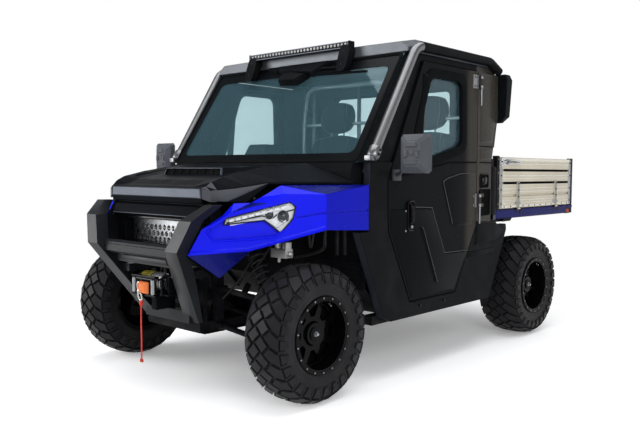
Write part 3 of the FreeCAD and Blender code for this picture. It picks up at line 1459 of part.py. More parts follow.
def build_strut():
    """Gas strut that helps to lift the bed: barrel on the frame, rod to the bed."""
    foot = Vector(D.strut_x, D.strut_y, D.strut_z)
    eye = Vector(D.strut_x, D.strut_eye_y, D.strut_eye_z)
    way = (eye - foot).normalize()
    across = Vector(1, 0, 0)
    ring = Part.makeCylinder(15, 22, foot - across * 11, across)
    neck = Part.makeCylinder(10, 40, foot, way)
    tube = Part.makeCylinder(D.strut_radius, D.strut_barrel - 20, foot + way * 32, way)
    barrel = ring.fuse(neck).fuse(tube)
    hole = Part.makeCylinder(7.3, 22, foot - across * 11, across)
    bore = Part.makeCylinder(D.strut_rod + 0.4, D.strut_barrel, foot + way * 40, way)
    node(shaped("strut_barrel_shape", barrel.cut(hole).cut(bore)), "strut_barrel")
    stem = Part.makeCylinder(D.strut_rod, (eye - foot).Length - 60, foot + way * 50, way)
    top = Part.makeCylinder(14, 22, eye - across * 11, across)
    node(shaped("strut_rod_shape", stem.fuse(top)), "strut_rod")


def check_and_write():
    """Stop on any failed object or shape, then write one file for each sub-part."""
    DOC.recompute()
    for thing in DOC.Objects:
        if "Invalid" in thing.State or "Error" in thing.State:
            raise ValueError(f"{thing.Name} ({thing.Label}) failed: {thing.State}")
    os.makedirs("parts", exist_ok=True)
    for thing in NODES:
        shape = thing.Shape
        if shape.isNull() or not shape.isValid() or not shape.Solids:
            raise ValueError(f"{thing.Label} has no valid shape")
        print(f"{thing.Label:20s} {len(shape.Solids):3d} solids  {shape.Volume / 1e6:9.3f} L")
    for thing in NODES:
        thing.Shape.exportStep(f"parts/{thing.Label}.step")


for build in (
    build_wheels, build_knuckles, build_suspension, build_driveline, build_engine,
    build_steering, build_frame, build_receiver, build_cab_tub, build_seats, build_dashboard,
    build_cab_frame, build_side_panels, build_rear_shell, build_roof, build_glass,
    build_doors, build_mirrors, build_fenders, build_hood, build_front_liner,
    build_fascia, build_guard, build_winch, build_roof_gear, build_bed, build_gates,
    build_strut,
):
    build()
check_and_write()
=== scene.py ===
"""Looks of a closed-cab utility terrain vehicle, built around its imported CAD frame.

Every sub-assembly is a class: its sizes are dataclass fields, and its methods build the
meshes and dress them. All lengths are in metres, in the row frame: +X is the vehicle's
left side, -Y its front, +Z up.
"""
from __future__ import annotations

import json
import logging
import math
from dataclasses import dataclass
from enum import Enum
from typing import Callable, Sequence

import bmesh
import bpy
from mathutils import Matrix, Vector

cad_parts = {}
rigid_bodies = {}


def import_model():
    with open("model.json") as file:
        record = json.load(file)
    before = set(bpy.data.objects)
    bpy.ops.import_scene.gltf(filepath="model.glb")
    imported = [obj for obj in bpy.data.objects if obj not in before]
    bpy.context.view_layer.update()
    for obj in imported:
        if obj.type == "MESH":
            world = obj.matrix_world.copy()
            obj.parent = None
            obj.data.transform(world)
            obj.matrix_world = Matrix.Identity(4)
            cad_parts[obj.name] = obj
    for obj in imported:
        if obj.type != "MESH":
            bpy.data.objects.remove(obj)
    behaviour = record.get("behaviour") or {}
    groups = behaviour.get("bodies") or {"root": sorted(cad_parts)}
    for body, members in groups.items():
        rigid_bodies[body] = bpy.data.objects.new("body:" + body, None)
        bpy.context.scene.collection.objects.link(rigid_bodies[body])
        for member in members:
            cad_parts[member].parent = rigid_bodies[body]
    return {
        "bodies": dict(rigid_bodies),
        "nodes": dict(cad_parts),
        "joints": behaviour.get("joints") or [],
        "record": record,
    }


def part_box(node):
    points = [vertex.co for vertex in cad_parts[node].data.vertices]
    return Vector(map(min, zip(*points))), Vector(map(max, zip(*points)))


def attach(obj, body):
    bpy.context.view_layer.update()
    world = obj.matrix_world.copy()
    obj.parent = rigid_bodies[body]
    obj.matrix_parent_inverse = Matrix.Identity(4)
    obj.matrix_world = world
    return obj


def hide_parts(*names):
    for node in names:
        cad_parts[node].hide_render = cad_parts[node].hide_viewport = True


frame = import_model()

LOG = logging.getLogger("utility_vehicle")
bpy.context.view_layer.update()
NODES: dict[str, bpy.types.Object] = frame["nodes"]
Point = Sequence[float]
Line = Sequence[tuple[float, float]]
Colour = tuple[float, float, float]
Inputs = dict[str | int, object]
Socket = bpy.types.NodeSocket
WORD = {1: "left", -1: "right"}
COAT_ROUGHNESS = 0.05
FLAKES_PER_METRE = 1400.0
DUST_COLOUR = (0.16, 0.15, 0.14, 1)
MERGE_DISTANCE = 0.00005
SAME_WAY = 0.999
CORNER_SHARE = 0.45
MITRE_LIMIT = 0.25


# ---------------------------------------------------------------- finishes
class Grain(Enum):
    """The fine relief of a surface."""

    SMOOTH = "smooth"
    PEBBLE = "pebble"
    BRUSHED = "brushed"
    WOVEN = "woven"
    CAST = "cast"


class Nodes:
    """A shader tree, with short ways to add its nodes and link them."""

    def __init__(self, tree: bpy.types.NodeTree) -> None:
        """Keep the tree."""
        self.tree = tree

    def feed(self, node: bpy.types.Node, inputs: Inputs) -> None:
        """Give inputs of a node a plain value or a link.

        Args:
            node: The node.
            inputs: A value, or another node's output, for each input by name or number.
        """
        for key, value in inputs.items():
            if isinstance(value, Socket):
                self.tree.links.new(value, node.inputs[key])
            else:
                node.inputs[key].default_value = value

    def add(self, kind: str, output: str | int, inputs: Inputs | None = None,
            **settings: object) -> Socket:
        """Add a node.

        Args:
            kind: Its type, without the word that starts every shader node's type.
            output: Name or number of the output that is wanted.
            inputs: Values and links for its inputs.
            settings: Its own settings.

        Returns:
            The output.
        """
        node = self.tree.nodes.new("ShaderNode" + kind)
        for name, value in settings.items():
            setattr(node, name, value)
        self.feed(node, inputs or {})
        return node.outputs[output]

    def end(self, kind: str, shader: Socket) -> None:
        """Lead a shader to a new output node, of a material or of the world."""
        self.feed(self.tree.nodes.new("ShaderNodeOutput" + kind), {"Surface": shader})

    def cloud(self, place: Socket, scale: float, detail: float = 2.0) -> Socket:
        """Return a soft noise over the surface."""
        return self.add("TexNoise", "Fac", {"Scale": scale, "Detail": detail, "Vector": place})

    def ramp(self, source: Socket, low: Colour, high: Colour, start: float = 0.0,
             end: float = 1.0) -> Socket:
        """Let a colour run between two values of a source.

        Args:
            source: The value that it follows.
            low, high: Its colours at the start and at the end.
            start, end: The values where the run starts and ends.

        Returns:
            The colour.
        """
        colour = self.add("ValToRGB", "Color", {"Fac": source})
        first, last = colour.node.color_ramp.elements
        first.position, last.position = start, end
        first.color, last.color = (*low, 1), (*high, 1)
        return colour

    def span(self, value: Socket, start: float, end: float, low: float = 0.0, high: float = 1.0,
             way: str = "LINEAR") -> Socket:
        """Map the span from start to end onto the one from low to high.

        Args:
            value: The value.
            start, end: Span that it comes from.
            low, high: Span that it goes to.
            way: Kind of interpolation.

        Returns:
            The mapped value.
        """
        return self.add(
            "MapRange", "Result",
            {"Value": value, "From Min": start, "From Max": end, "To Min": low, "To Max": high},
            interpolation_type=way)

    def blend(self, share: object, one: Socket, other: object, way: str = "MIX") -> Socket:
        """Return a colour with a share of another laid over it."""
        return self.add("Mix", 2, {0: share, 6: one, 7: other}, data_type="RGBA", blend_type=way)

    def mixed(self, share: object, one: Socket, other: Socket) -> Socket:
        """Return a shader with a share of another."""
        return self.add("MixShader", "Shader", {"Fac": share, 1: one, 2: other})


def bare_material(name: str, colour: Sequence[float]) -> tuple[bpy.types.Material, Nodes]:
    """Make a material.

    Args:
        name: Its name.
        colour: Colour and opacity in the plain viewport.

    Returns:
        The material and its nodes.
    """
    made = bpy.data.materials.new(name)
    made.use_nodes = True
    made.diffuse_color = colour
    return made, Nodes(made.node_tree)


@dataclass(frozen=True)
class Finish:
    """One opaque finish, made of nodes alone.

    Args:
        name: Name of the material.
        slot: The record's material slot that it belongs to; not used.
        colour: Linear base colour.
        metallic: 1 for bare metal, 0 for plastic and rubber.
        roughness: Mean roughness.
        specular: Strength of the plain reflection.
        coat: Strength of the clear coat.
        grain: Kind of fine relief.
        grain_size: Size of one grain in metres.
        relief: Strength of the relief.
        mottle: Share by which the colour drifts over the surface.
        flake: Share of metal flake in a paint.
        dust: Share of pale dust that has settled in soft patches.
        brushed: Stretch of a brushed grain along X, Y and Z.
        painted_reflection: Colour of a painted reflection that the base colour drifts to, the axis
            and the two places along it, or None.
    """

    name: str
    slot: str
    colour: Colour
    metallic: float = 0.0
    roughness: float = 0.45
    specular: float = 0.3
    coat: float = 0.0
    grain: Grain = Grain.SMOOTH
    grain_size: float = 0.0012
    relief: float = 0.15
    mottle: float = 0.12
    flake: float = 0.0
    dust: float = 0.0
    brushed: Colour = (1.0, 0.03, 1.0)
    painted_reflection: tuple[Colour, str, float, float] | None = None

    def material(self) -> bpy.types.Material:
        """Return this finish's material, made on the first call."""
        return bpy.data.materials.get(self.name) or self._make()

    def _make(self) -> bpy.types.Material:
        """Build the material.

        Returns:
            The new material.
        """
        made, nodes = bare_material(self.name, (*self.colour, 1))
        place = nodes.add("TexCoord", "Object")
        shader = nodes.tree.nodes["Principled BSDF"]
        nodes.feed(shader, {"Metallic": self.metallic, "Specular IOR Level": self.specular,
                            "Coat Weight": self.coat, "Coat Roughness": COAT_ROUGHNESS,
                            "Base Color": self._colour(nodes, place),
                            "Roughness": self._roughness(nodes, place)})
        if self.grain is not Grain.SMOOTH:
            nodes.feed(shader, {"Normal": self._bump(nodes, place)})
        return made

    def _colour(self, nodes: Nodes, place: Socket) -> Socket:
        """Let the base colour drift, take on a painted reflection, glitter and gather dust, as far
        as it does.

        Args:
            nodes: The material's nodes.
            place: Place on the object.

        Returns:
            The colour.
        """
        low, high = (
            [min(1.0, c * (1 + drift)) for c in self.colour]
            for drift in (-self.mottle, self.mottle))
        colour = nodes.ramp(nodes.cloud(place, 3.5, 5.0), low, high, 0.3, 0.7)
        # Painted reflection: the base colour turns towards another colour along one axis.
        if self.painted_reflection:
            other, axis, start, end = self.painted_reflection
            along = nodes.add("SeparateXYZ", axis, {"Vector": place})
            share = nodes.span(along, start, end, way="SMOOTHSTEP")
            colour = nodes.blend(share, colour, (*other, 1))
        if self.flake:
            cells = nodes.add("TexVoronoi", "Color", {"Scale": FLAKES_PER_METRE, "Vector": place})
            specks = nodes.ramp(cells, (1 - self.flake,) * 3, (1 + self.flake,) * 3, 0.25, 0.85)
            colour = nodes.blend(1.0, colour, specks, "MULTIPLY")
        if self.dust:
            veil = nodes.cloud(place, 9.0, 9.0)
            mask = nodes.ramp(veil, (0, 0, 0), (self.dust,) * 3, 0.48, 0.72)
            colour = nodes.blend(mask, colour, DUST_COLOUR)
        return colour

    def _roughness(self, nodes: Nodes, place: Socket) -> Socket:
        """Let the roughness vary a little, as handling marks and fine scratches do.

        Args:
            nodes: The material's nodes.
            place: Place on the object.

        Returns:
            The roughness.
        """
        along = nodes.add(
            "Mapping", "Vector",
            {"Vector": place, "Scale": (1.0, 0.12, 3.0), "Rotation": (0.4, 0.0, 0.3)})
        hair, smear = nodes.cloud(along, 60.0), nodes.cloud(place, 11.0, 6.0)
        both = nodes.add("Math", "Value", {0: hair, 1: 0.35, 2: smear}, operation="MULTIPLY_ADD")
        return nodes.span(
            both, 0.35, 1.0, max(0.02, self.roughness * 0.8), min(1.0, self.roughness * 1.2))

    def _bump(self, nodes: Nodes, place: Socket) -> Socket:
        """Add the fine relief that the grain names.

        Args:
            nodes: The material's nodes.
            place: Place on the object.

        Returns:
            The bent normal.
        """
        size = self.grain_size
        patterns = {
            Grain.WOVEN: ("TexWave", {"Scale": 0.16 / size, "Distortion": 0.4}),
            Grain.PEBBLE: ("TexVoronoi", {"Scale": 1 / size})}
        kind, inputs = patterns.get(self.grain, ("TexNoise", {"Scale": 0.5 / size, "Detail": 4.0}))
        stretch = self.brushed if self.grain is Grain.BRUSHED else (1, 1, 1)
        along = nodes.add("Mapping", "Vector", {"Vector": place, "Scale": stretch})
        height = nodes.add(kind, 0, {**inputs, "Vector": along})
        return nodes.add(
            "Bump", "Normal", {"Strength": self.relief, "Distance": size, "Height": height})


@dataclass(frozen=True)
class GlassFinish:
    """Safety glass or a clear lens, lightly tinted.

    Args:
        name: Name of the material.
        slot: The record's material slot that it belongs to; not used.
        tint: Linear colour of the light that passes through.
        haze: Share of pale film on its faces.
        gloss: Share that mirrors when seen edge on.
    """

    name: str
    slot: str
    tint: Colour
    haze: float = 0.08
    gloss: float = 0.75

    def material(self) -> bpy.types.Material:
        """Return the glass material, made on the first call."""
        return bpy.data.materials.get(self.name) or self._make()

    def _make(self) -> bpy.types.Material:
        """Build the material.

        Returns:
            The new material.
        """
        made, nodes = bare_material(self.name, (*self.tint, 0.3))
        nodes.tree.nodes.clear()
        cloud = nodes.cloud(nodes.add("TexCoord", "Object"), 2.0)
        tint = nodes.ramp(
            cloud, [c * 0.95 for c in self.tint], [min(1.0, c * 1.04) for c in self.tint])
        through = nodes.add("BsdfTransparent", "BSDF", {"Color": tint})
        film = nodes.add("BsdfDiffuse", "BSDF", {"Color": (0.3, 0.6, 0.74, 1)})
        mirror = nodes.add(
            "BsdfGlossy", "BSDF", {"Roughness": 0.02, "Color": (0.72, 0.88, 0.95, 1)})
        edge = nodes.add("LayerWeight", "Facing", {"Blend": 0.25})
        steep = nodes.add("Math", "Value", {0: edge, 1: 3.0}, operation="POWER")
        share = nodes.span(steep, 0.0, 1.0, 0.025, self.gloss)
        nodes.end("Material", nodes.mixed(share, nodes.mixed(self.haze, through, film), mirror))
        return made


@dataclass(frozen=True)
class Finishes:
    """Every finish on the vehicle, under the name of what wears it."""

    tyre: Finish = Finish(
        "tyre_rubber", "tyre", (0.0125, 0.0125, 0.014), roughness=0.46, specular=0.1,
        grain=Grain.CAST, grain_size=0.003, relief=0.2, dust=0.05)
    # Lighter grey for the rockers' front faces: a painted highlight.
    rocker_front_painted_highlight: Finish = Finish(
        "rocker_front_painted_highlight", "black_plastic", (0.026, 0.029, 0.038), roughness=0.5, specular=0.08,
        grain=Grain.PEBBLE, grain_size=0.0014, relief=0.1)
    rim: Finish = Finish(
        "gloss_black_wheel", "black_rim", (0.0015, 0.0015, 0.002), roughness=0.14, specular=0.06,
        coat=0.04)
    bolt: Finish = Finish(
        "zinc_bolt", "steel", (0.2, 0.2, 0.2), metallic=1.0, roughness=0.42, mottle=0.2)
    steel: Finish = Finish(
        "bright_steel", "steel", (0.3, 0.31, 0.32), metallic=1.0, roughness=0.38, mottle=0.15,
        grain=Grain.CAST, relief=0.06)
    chrome: Finish = Finish(
        "mirror_chrome", "lamp_clear", (0.8, 0.81, 0.83), metallic=1.0, roughness=0.08)
    hook: Finish = Finish(
        "forged_clip", "black_metal", (0.55, 0.54, 0.5), metallic=1.0, roughness=0.2,
        grain=Grain.CAST, grain_size=0.004, relief=0.2)
    dark_steel: Finish = Finish(
        "coated_steel", "dark_steel", (0.007, 0.007, 0.0085), roughness=0.42, specular=0.05,
        grain=Grain.CAST, relief=0.1, dust=0.08)
    frame: Finish = Finish(
        "frame_coat", "frame_black", (0.006, 0.006, 0.0075), roughness=0.45, specular=0.05,
        grain=Grain.CAST, relief=0.1, dust=0.08)
    casting: Finish = Finish(
        "rough_casting", "cast_metal", (0.1, 0.1, 0.105), metallic=0.6, roughness=0.55,
        grain=Grain.CAST, grain_size=0.004, relief=0.4, dust=0.2)
    alloy: Finish = Finish(
        "cast_alloy", "cast_metal", (0.66, 0.66, 0.65), metallic=0.9, roughness=0.42,
        grain=Grain.CAST, grain_size=0.003, relief=0.3, mottle=0.25)
    plastic: Finish = Finish(
        "black_moulding", "black_plastic", (0.0055, 0.006, 0.0075), roughness=0.42, specular=0.03,
        grain=Grain.PEBBLE, grain_size=0.0014, relief=0.12, dust=0.03)
    guard: Finish = Finish(
        "guard_coat", "black_plastic", (0.013, 0.014, 0.017), roughness=0.36, specular=0.18,
        grain=Grain.CAST, grain_size=0.0016, relief=0.06, flake=0.2)
    hood: Finish = Finish(
        "hood_moulding", "black_plastic", (0.006, 0.0066, 0.0085), roughness=0.38, specular=0.012,
        grain=Grain.PEBBLE, grain_size=0.0012, relief=0.06)
    # A lighter grey copy of the hood's moulding: painted reflection on facets that face the front.
    hood_painted_reflection: Finish = Finish(
        "hood_side_painted_reflection", "black_plastic", (0.07, 0.074, 0.084), roughness=0.4, specular=0.1,
        grain=Grain.PEBBLE, grain_size=0.0012, relief=0.06)
    plastic_gloss: Finish = Finish(
        "gloss_black_moulding", "black_plastic", (0.004, 0.004, 0.005), roughness=0.16,
        specular=0.12)
    shadow_gap: Finish = Finish(
        "dark_gap", "black_plastic", (0.002, 0.002, 0.0025), roughness=0.8, specular=0.05)
    seal: Finish = Finish(
        "rubber_seal", "black_plastic", (0.004, 0.0045, 0.005), roughness=0.55, specular=0.02,
        grain=Grain.CAST, relief=0.05)
    # Towards its rear (Y 0.1 to 0.19) the door turns lighter bronze: a painted reflection.
    door: Finish = Finish(
        "door_moulding", "dark_grey_gloss", (0.0055, 0.006, 0.007), roughness=0.3, specular=0.025,
        grain=Grain.CAST, grain_size=0.005, relief=0.03,
        painted_reflection=((0.046, 0.042, 0.036), "Y", 0.1, 0.19))
    # Lighter, glossier grey strips that paint the highlights on the door's rounded edges.
    door_painted_highlight: Finish = Finish(
        "door_painted_highlight_edge", "dark_grey_gloss", (0.075, 0.073, 0.07), roughness=0.25, specular=0.4,
        metallic=0.3)
    shell: Finish = Finish(
        "bronze_grey_moulding", "dark_grey_gloss", (0.04, 0.036, 0.03), roughness=0.26,
        specular=0.1, grain=Grain.CAST, grain_size=0.006, relief=0.03)
    blue: Finish = Finish(
        "royal_blue_moulding", "blue_gloss", (0.004, 0.008, 0.8), roughness=0.24, specular=0.12,
        coat=0.05, mottle=0.07, grain=Grain.CAST, grain_size=0.006, relief=0.015)
    # Darker blue for the same paint: painted shade on facets that face down or up, and in the
    # recess.
    blue_painted_shade: Finish = Finish(
        "shaded_blue_moulding", "blue_gloss", (0.003, 0.006, 0.14), roughness=0.28, specular=0.12,
        mottle=0.1)
    # A mid blue for the same paint on the outer side facets: painted shade.
    blue_painted_side_shade: Finish = Finish(
        "side_blue_painted_shade", "blue_gloss", (0.003, 0.006, 0.44), roughness=0.24, specular=0.08,
        mottle=0.06)
    blue_rail: Finish = Finish(
        "blue_bed_rail", "bed_black", (0.004, 0.007, 0.11), roughness=0.3, specular=0.06)
    silver: Finish = Finish(
        "silver_grey_paint", "silver_paint", (0.19, 0.195, 0.205), metallic=0.75, roughness=0.3,
        flake=0.25)
    roof: Finish = Finish(
        "roof_paint", "silver_paint", (0.1, 0.108, 0.12), metallic=0.4, roughness=0.36, flake=0.15,
        mottle=0.05, specular=0.15)
    # Satin silver for real trim; also worn by strips that paint highlights and reflections, such
    # as the brow's edge and the hood's front bar.
    silver_trim_and_painted_highlight: Finish = Finish(
        "satin_silver_and_painted_highlight", "silver_paint", (0.075, 0.085, 0.105), metallic=0.3, roughness=0.36,
        specular=0.12, flake=0.3)
    seat: Finish = Finish(
        "seat_vinyl", "seat_cover", (0.016, 0.016, 0.018), roughness=0.42, grain=Grain.PEBBLE,
        grain_size=0.003, relief=0.1, mottle=0.2, specular=0.08)
    seat_cloth: Finish = Finish(
        "seat_centre_cloth", "seat_cover", (0.035, 0.036, 0.04), roughness=0.8, specular=0.15,
        grain=Grain.WOVEN, grain_size=0.0025, relief=0.5, mottle=0.25)
    thread: Finish = Finish(
        "seam_thread", "seat_cover", (0.12, 0.12, 0.13), roughness=0.7, grain=Grain.WOVEN,
        grain_size=0.001, relief=0.4)
    gate: Finish = Finish(
        "brushed_board", "gate_aluminium", (0.6, 0.55, 0.44), metallic=0.7, roughness=0.36,
        grain=Grain.BRUSHED, grain_size=0.002, relief=0.12, mottle=0.08)
    gate_rear: Finish = Finish(
        "brushed_rear_board", "gate_aluminium", (0.6, 0.55, 0.44), metallic=0.7, roughness=0.36,
        grain=Grain.BRUSHED, grain_size=0.002, relief=0.12, mottle=0.08, brushed=(0.03, 1.0, 1.0))
    gate_trim: Finish = Finish(
        "bright_gate_edge", "gate_aluminium", (0.74, 0.71, 0.62), metallic=0.8, roughness=0.3,
        mottle=0.06)
    chrome_trim: Finish = Finish(
        "plated_latch", "gate_aluminium", (0.62, 0.63, 0.66), metallic=1.0, roughness=0.14,
        mottle=0.1)
    alloy_tube: Finish = Finish(
        "bright_tube", "silver_paint", (0.8, 0.84, 0.86), metallic=0.3, roughness=0.3, mottle=0.08)
    spring: Finish = Finish(
        "spring_coat", "dark_steel", (0.014, 0.014, 0.016), roughness=0.3, specular=0.3)
    bed: Finish = Finish(
        "bed_coat", "bed_black", (0.008, 0.008, 0.009), roughness=0.45, specular=0.05,
        grain=Grain.CAST, grain_size=0.002, relief=0.15, dust=0.12)
    mirror_shell: Finish = Finish(
        "grey_mirror_shell", "mirror_housing", (0.075, 0.08, 0.09), roughness=0.42,
        grain=Grain.PEBBLE, grain_size=0.001, relief=0.05, specular=0.1)
    mirror_glass: Finish = Finish(
        "mirror_pane", "mirror_housing", (0.75, 0.78, 0.8), metallic=1.0, roughness=0.04,
        mottle=0.02)
    frit: Finish = Finish(
        "glass_border", "glass", (0.004, 0.005, 0.006), roughness=0.3, specular=0.06)
    reflector: Finish = Finish(
        "lamp_bowl", "lamp_clear", (0.93, 0.94, 0.96), metallic=0.1, roughness=0.22, mottle=0.15,
        grain=Grain.CAST, grain_size=0.006, relief=0.3)
    lamp_cell: Finish = Finish(
        "light_cell", "lamp_clear", (1.0, 1.0, 1.0), roughness=0.2, specular=0.5, coat=0.3,
        grain=Grain.CAST, grain_size=0.004, relief=0.2)
    red_lamp: Finish = Finish(
        "red_lens", "lamp_red", (0.4, 0.008, 0.006), roughness=0.15, specular=0.5, coat=0.5)
    webbing: Finish = Finish(
        "red_webbing", "strap_red", (0.62, 0.045, 0.03), roughness=0.85, grain=Grain.WOVEN,
        grain_size=0.004, relief=0.6, mottle=0.2)
    orange: Finish = Finish(
        "orange_stopper", "black_metal", (0.72, 0.17, 0.035), roughness=0.55, grain=Grain.PEBBLE,
        grain_size=0.002)
    rope: Finish = Finish(
        "yellow_rope", "black_metal", (0.7, 0.6, 0.05), roughness=0.75, grain=Grain.WOVEN,
        grain_size=0.002, relief=0.6, mottle=0.3)
    rubber: Finish = Finish(
        "black_hose", "dark_steel", (0.008, 0.008, 0.009), roughness=0.5, grain=Grain.CAST,
        relief=0.1)
    screen: Finish = Finish(
        "display_pane", "black_plastic", (0.004, 0.006, 0.009), roughness=0.06, specular=0.6,
        mottle=0.3)
    glass: GlassFinish = GlassFinish("tinted_glass", "glass", (0.85, 0.92, 0.925), 0.045)
    lens: GlassFinish = GlassFinish("clear_lens", "lamp_clear", (0.94, 0.95, 0.97), 0.0, 0.85)


FINISH = Finishes()


# ---------------------------------------------------------------- mesh helpers
def new_object(
        name: str, shape: bmesh.types.BMesh, finish: Finish | GlassFinish, body: str,
        smooth: float = 32.0) -> bpy.types.Object:
    """Turn a bmesh into a dressed piece that rides on a body.

    Args:
        name: Name of the piece.
        shape: Mesh in the row frame; it is freed here.
        finish: What it wears.
        body: CAD body that carries it.
        smooth: Edges sharper than this angle in degrees stay crisp.

    Returns:
        The new object.
    """
    mesh = bpy.data.meshes.new(name)
    bmesh.ops.recalc_face_normals(shape, faces=shape.faces)
    shape.to_mesh(mesh)
    shape.free()
    mesh.materials.append(finish.material())
    made = bpy.data.objects.new(name, mesh)
    bpy.context.scene.collection.objects.link(made)
    smooth_by_angle(mesh, smooth)
    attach(made, body)
    LOG.info("built %s on %s", name, body)
    return made


def smooth_by_angle(mesh: bpy.types.Mesh, angle: float) -> None:
    """Shade smooth, with edges sharper than the angle in degrees kept crisp.

    Args:
        mesh: The mesh.
        angle: The angle in degrees.
    """
    for polygon in mesh.polygons:
        polygon.use_smooth = True
    mesh.set_sharp_from_angle(angle=math.radians(angle))


def lathe(shape: bmesh.types.BMesh, profile: Sequence[tuple[float, float]], centre: Point,
          steps: int = 72) -> None:
    """Turn a closed (along, radius) profile about a line along X through the centre.

    Args:
        shape: Mesh that takes the faces.
        profile: Points along the section, in order, the last joined to the first.
        centre: A point on the axis.
        steps: Number of steps round the axis.
    """
    rings = []
    for step in range(steps):
        turn = 2 * math.pi * step / steps
        rings.append(
            [shape.verts.new(
                 (centre[0] + along, centre[1] + radius * math.cos(turn),
                  centre[2] + radius * math.sin(turn))) for along, radius in profile])
    for step in range(steps):
        here, there = rings[step], rings[(step + 1) % steps]
        for index in range(len(profile)):
            after = (index + 1) % len(profile)
            shape.faces.new((here[index], here[after], there[after], there[index]))


def soften(made: bpy.types.Object, width: float, angle: float = 25.0) -> None:
    """Round the crisp edges of a piece with a small bevel.

    Args:
        made: The piece, a CAD node or a new one.
        width: Width of the rounding.
        angle: Edges flatter than this stay as they are.
    """
    join = made.modifiers.new("merge", "WELD")
    join.merge_threshold = MERGE_DISTANCE
    flat = made.modifiers.new("flatten", "DECIMATE")
    flat.decimate_type = "DISSOLVE"
    flat.angle_limit = math.radians(0.6)
    round_off = made.modifiers.new("round_off", "BEVEL")
    round_off.width = width
    round_off.segments = 2
    round_off.limit_method = "ANGLE"
    round_off.angle_limit = math.radians(angle)
    round_off.harden_normals = True
    round_off.use_clamp_overlap = True


def dress(node: str, finish: Finish | GlassFinish, bevel: float = 0.0) -> None:
    """Give a CAD node its finish, and round its edges where asked.

    Args:
        node: Name of the CAD node.
        finish: What it wears.
        bevel: Width of the rounding; 0 leaves the edges.
    """
    made = NODES[node]
    material = finish.material()
    if not made.data.materials:
        made.data.materials.append(material)
    for index in range(len(made.data.materials)):
        made.data.materials[index] = material
    if bevel:
        soften(made, bevel)


def skin(name: str, node: str, finish: Finish, body: str, wanted: Callable[[Vector, Vector], bool],
         lift: float = 0.0012) -> None:
    """Coat chosen facets of a CAD node with a thin skin of another finish.

    Args:
        name: Name of the new piece.
        node: CAD node whose facets are followed.
        finish: What the skin wears.
        body: CAD body that carries it.
        wanted: Tells from a facet's normal and middle whether it is coated.
        lift: Height of the skin over the facet.
    """
    source = NODES[node]
    place, turn = source.matrix_world, source.matrix_world.to_3x3()
    rise: dict[tuple[float, ...], Vector] = {}
    faces = []
    for polygon in source.data.polygons:
        normal = (turn @ polygon.normal).normalized()
        if not wanted(normal, place @ polygon.center):
            continue
        keys = []
        for index in polygon.vertices:
            key = tuple(round(c, 5) for c in place @ source.data.vertices[index].co)
            known = rise.setdefault(key, Vector())
            if known.length < 0.01 or normal.dot(known.normalized()) < SAME_WAY:
                rise[key] = known + normal
            keys.append(key)
        faces.append(keys)
    shape = bmesh.new()
    verts = {key: shape.verts.new(Vector(key) + way.normalized() * lift)
             for key, way in rise.items()}
    for keys in faces:
        if len(set(keys)) == len(keys):
            shape.faces.new([verts[key] for key in keys])
    new_object(name, shape, finish, body, 20)


@dataclass(frozen=True)
class Plane:
    """A flat working face: a point on it and three directions.

    Args:
        origin: Point where both coordinates are zero.
        across: Direction of the first coordinate.
        up: Direction of the second coordinate.
        out: Direction that looks away from the vehicle.
    """

    origin: Vector
    across: Vector
    up: Vector
    out: Vector

    def at(self, u: float, v: float, lift: float = 0.0) -> Vector:
        """Return the point at two coordinates and a height above the face."""
        return self.origin + self.across * u + self.up * v + self.out * lift

    def lifted(self, lift: float) -> Plane:
        """Return the same face raised by a height."""
        return Plane(self.at(0, 0, lift), self.across, self.up, self.out)

    def flipped(self) -> Plane:
        """Return the same face on the other side of the vehicle."""
        turn = Matrix.Diagonal((-1, 1, 1))
        return Plane(turn @ self.origin, turn @ self.across, turn @ self.up, turn @ self.out)

    def on(self, side: int) -> Plane:
        """Return the face itself for the left side (1) and its mirror for the right (-1)."""
        return self if side > 0 else self.flipped()


def side_plane(x: float) -> Plane:
    """Return the upright face at x on the left: coordinates are (Y, Z)."""
    return Plane(Vector((x, 0, 0)), Vector((0, 1, 0)), Vector((0, 0, 1)), Vector((1, 0, 0)))


def front_plane(y: float) -> Plane:
    """Return the upright face at y that looks forward: coordinates are (X, Z)."""
    return Plane(Vector((0, y, 0)), Vector((1, 0, 0)), Vector((0, 0, 1)), Vector((0, -1, 0)))


def back_plane(y: float) -> Plane:
    """Return the upright face at y that looks back: coordinates are (-X, Z)."""
    return Plane(Vector((0, y, 0)), Vector((-1, 0, 0)), Vector((0, 0, 1)), Vector((0, 1, 0)))


def slant_plane() -> Plane:
    """Return the slanted face of the left front fender: coordinates are (inwards, Z).

    Returns:
        The face, with its coordinates from the outer front corner.
    """
    return Plane(
        Vector((0.815, -1.155, 0)), Vector((0.60622, 0.79529, 0)), Vector((0, 0, 1)),
        Vector((0.79529, -0.60622, 0)))


def top_plane(z: float) -> Plane:
    """Return the level face at a height: coordinates are (X, Y)."""
    return Plane(Vector((0, 0, z)), Vector((1, 0, 0)), Vector((0, 1, 0)), Vector((0, 0, 1)))


def rect(left: float, low: float, right: float, high: float) -> Line:
    """Return the corners of a rectangle, anticlockwise from the lower left."""
    return ((left, low), (right, low), (right, high), (left, high))


def mirrored(outline: Line, side: int) -> Line:
    """Return an outline on a face across X as it is on the left (1) or on the right (-1)."""
    return tuple((side * u, v) for u, v in outline)[::side]


def angles(count: int) -> list[float]:
    """Return equal steps round a circle, from zero."""
    return [2 * math.pi * step / count for step in range(count)]


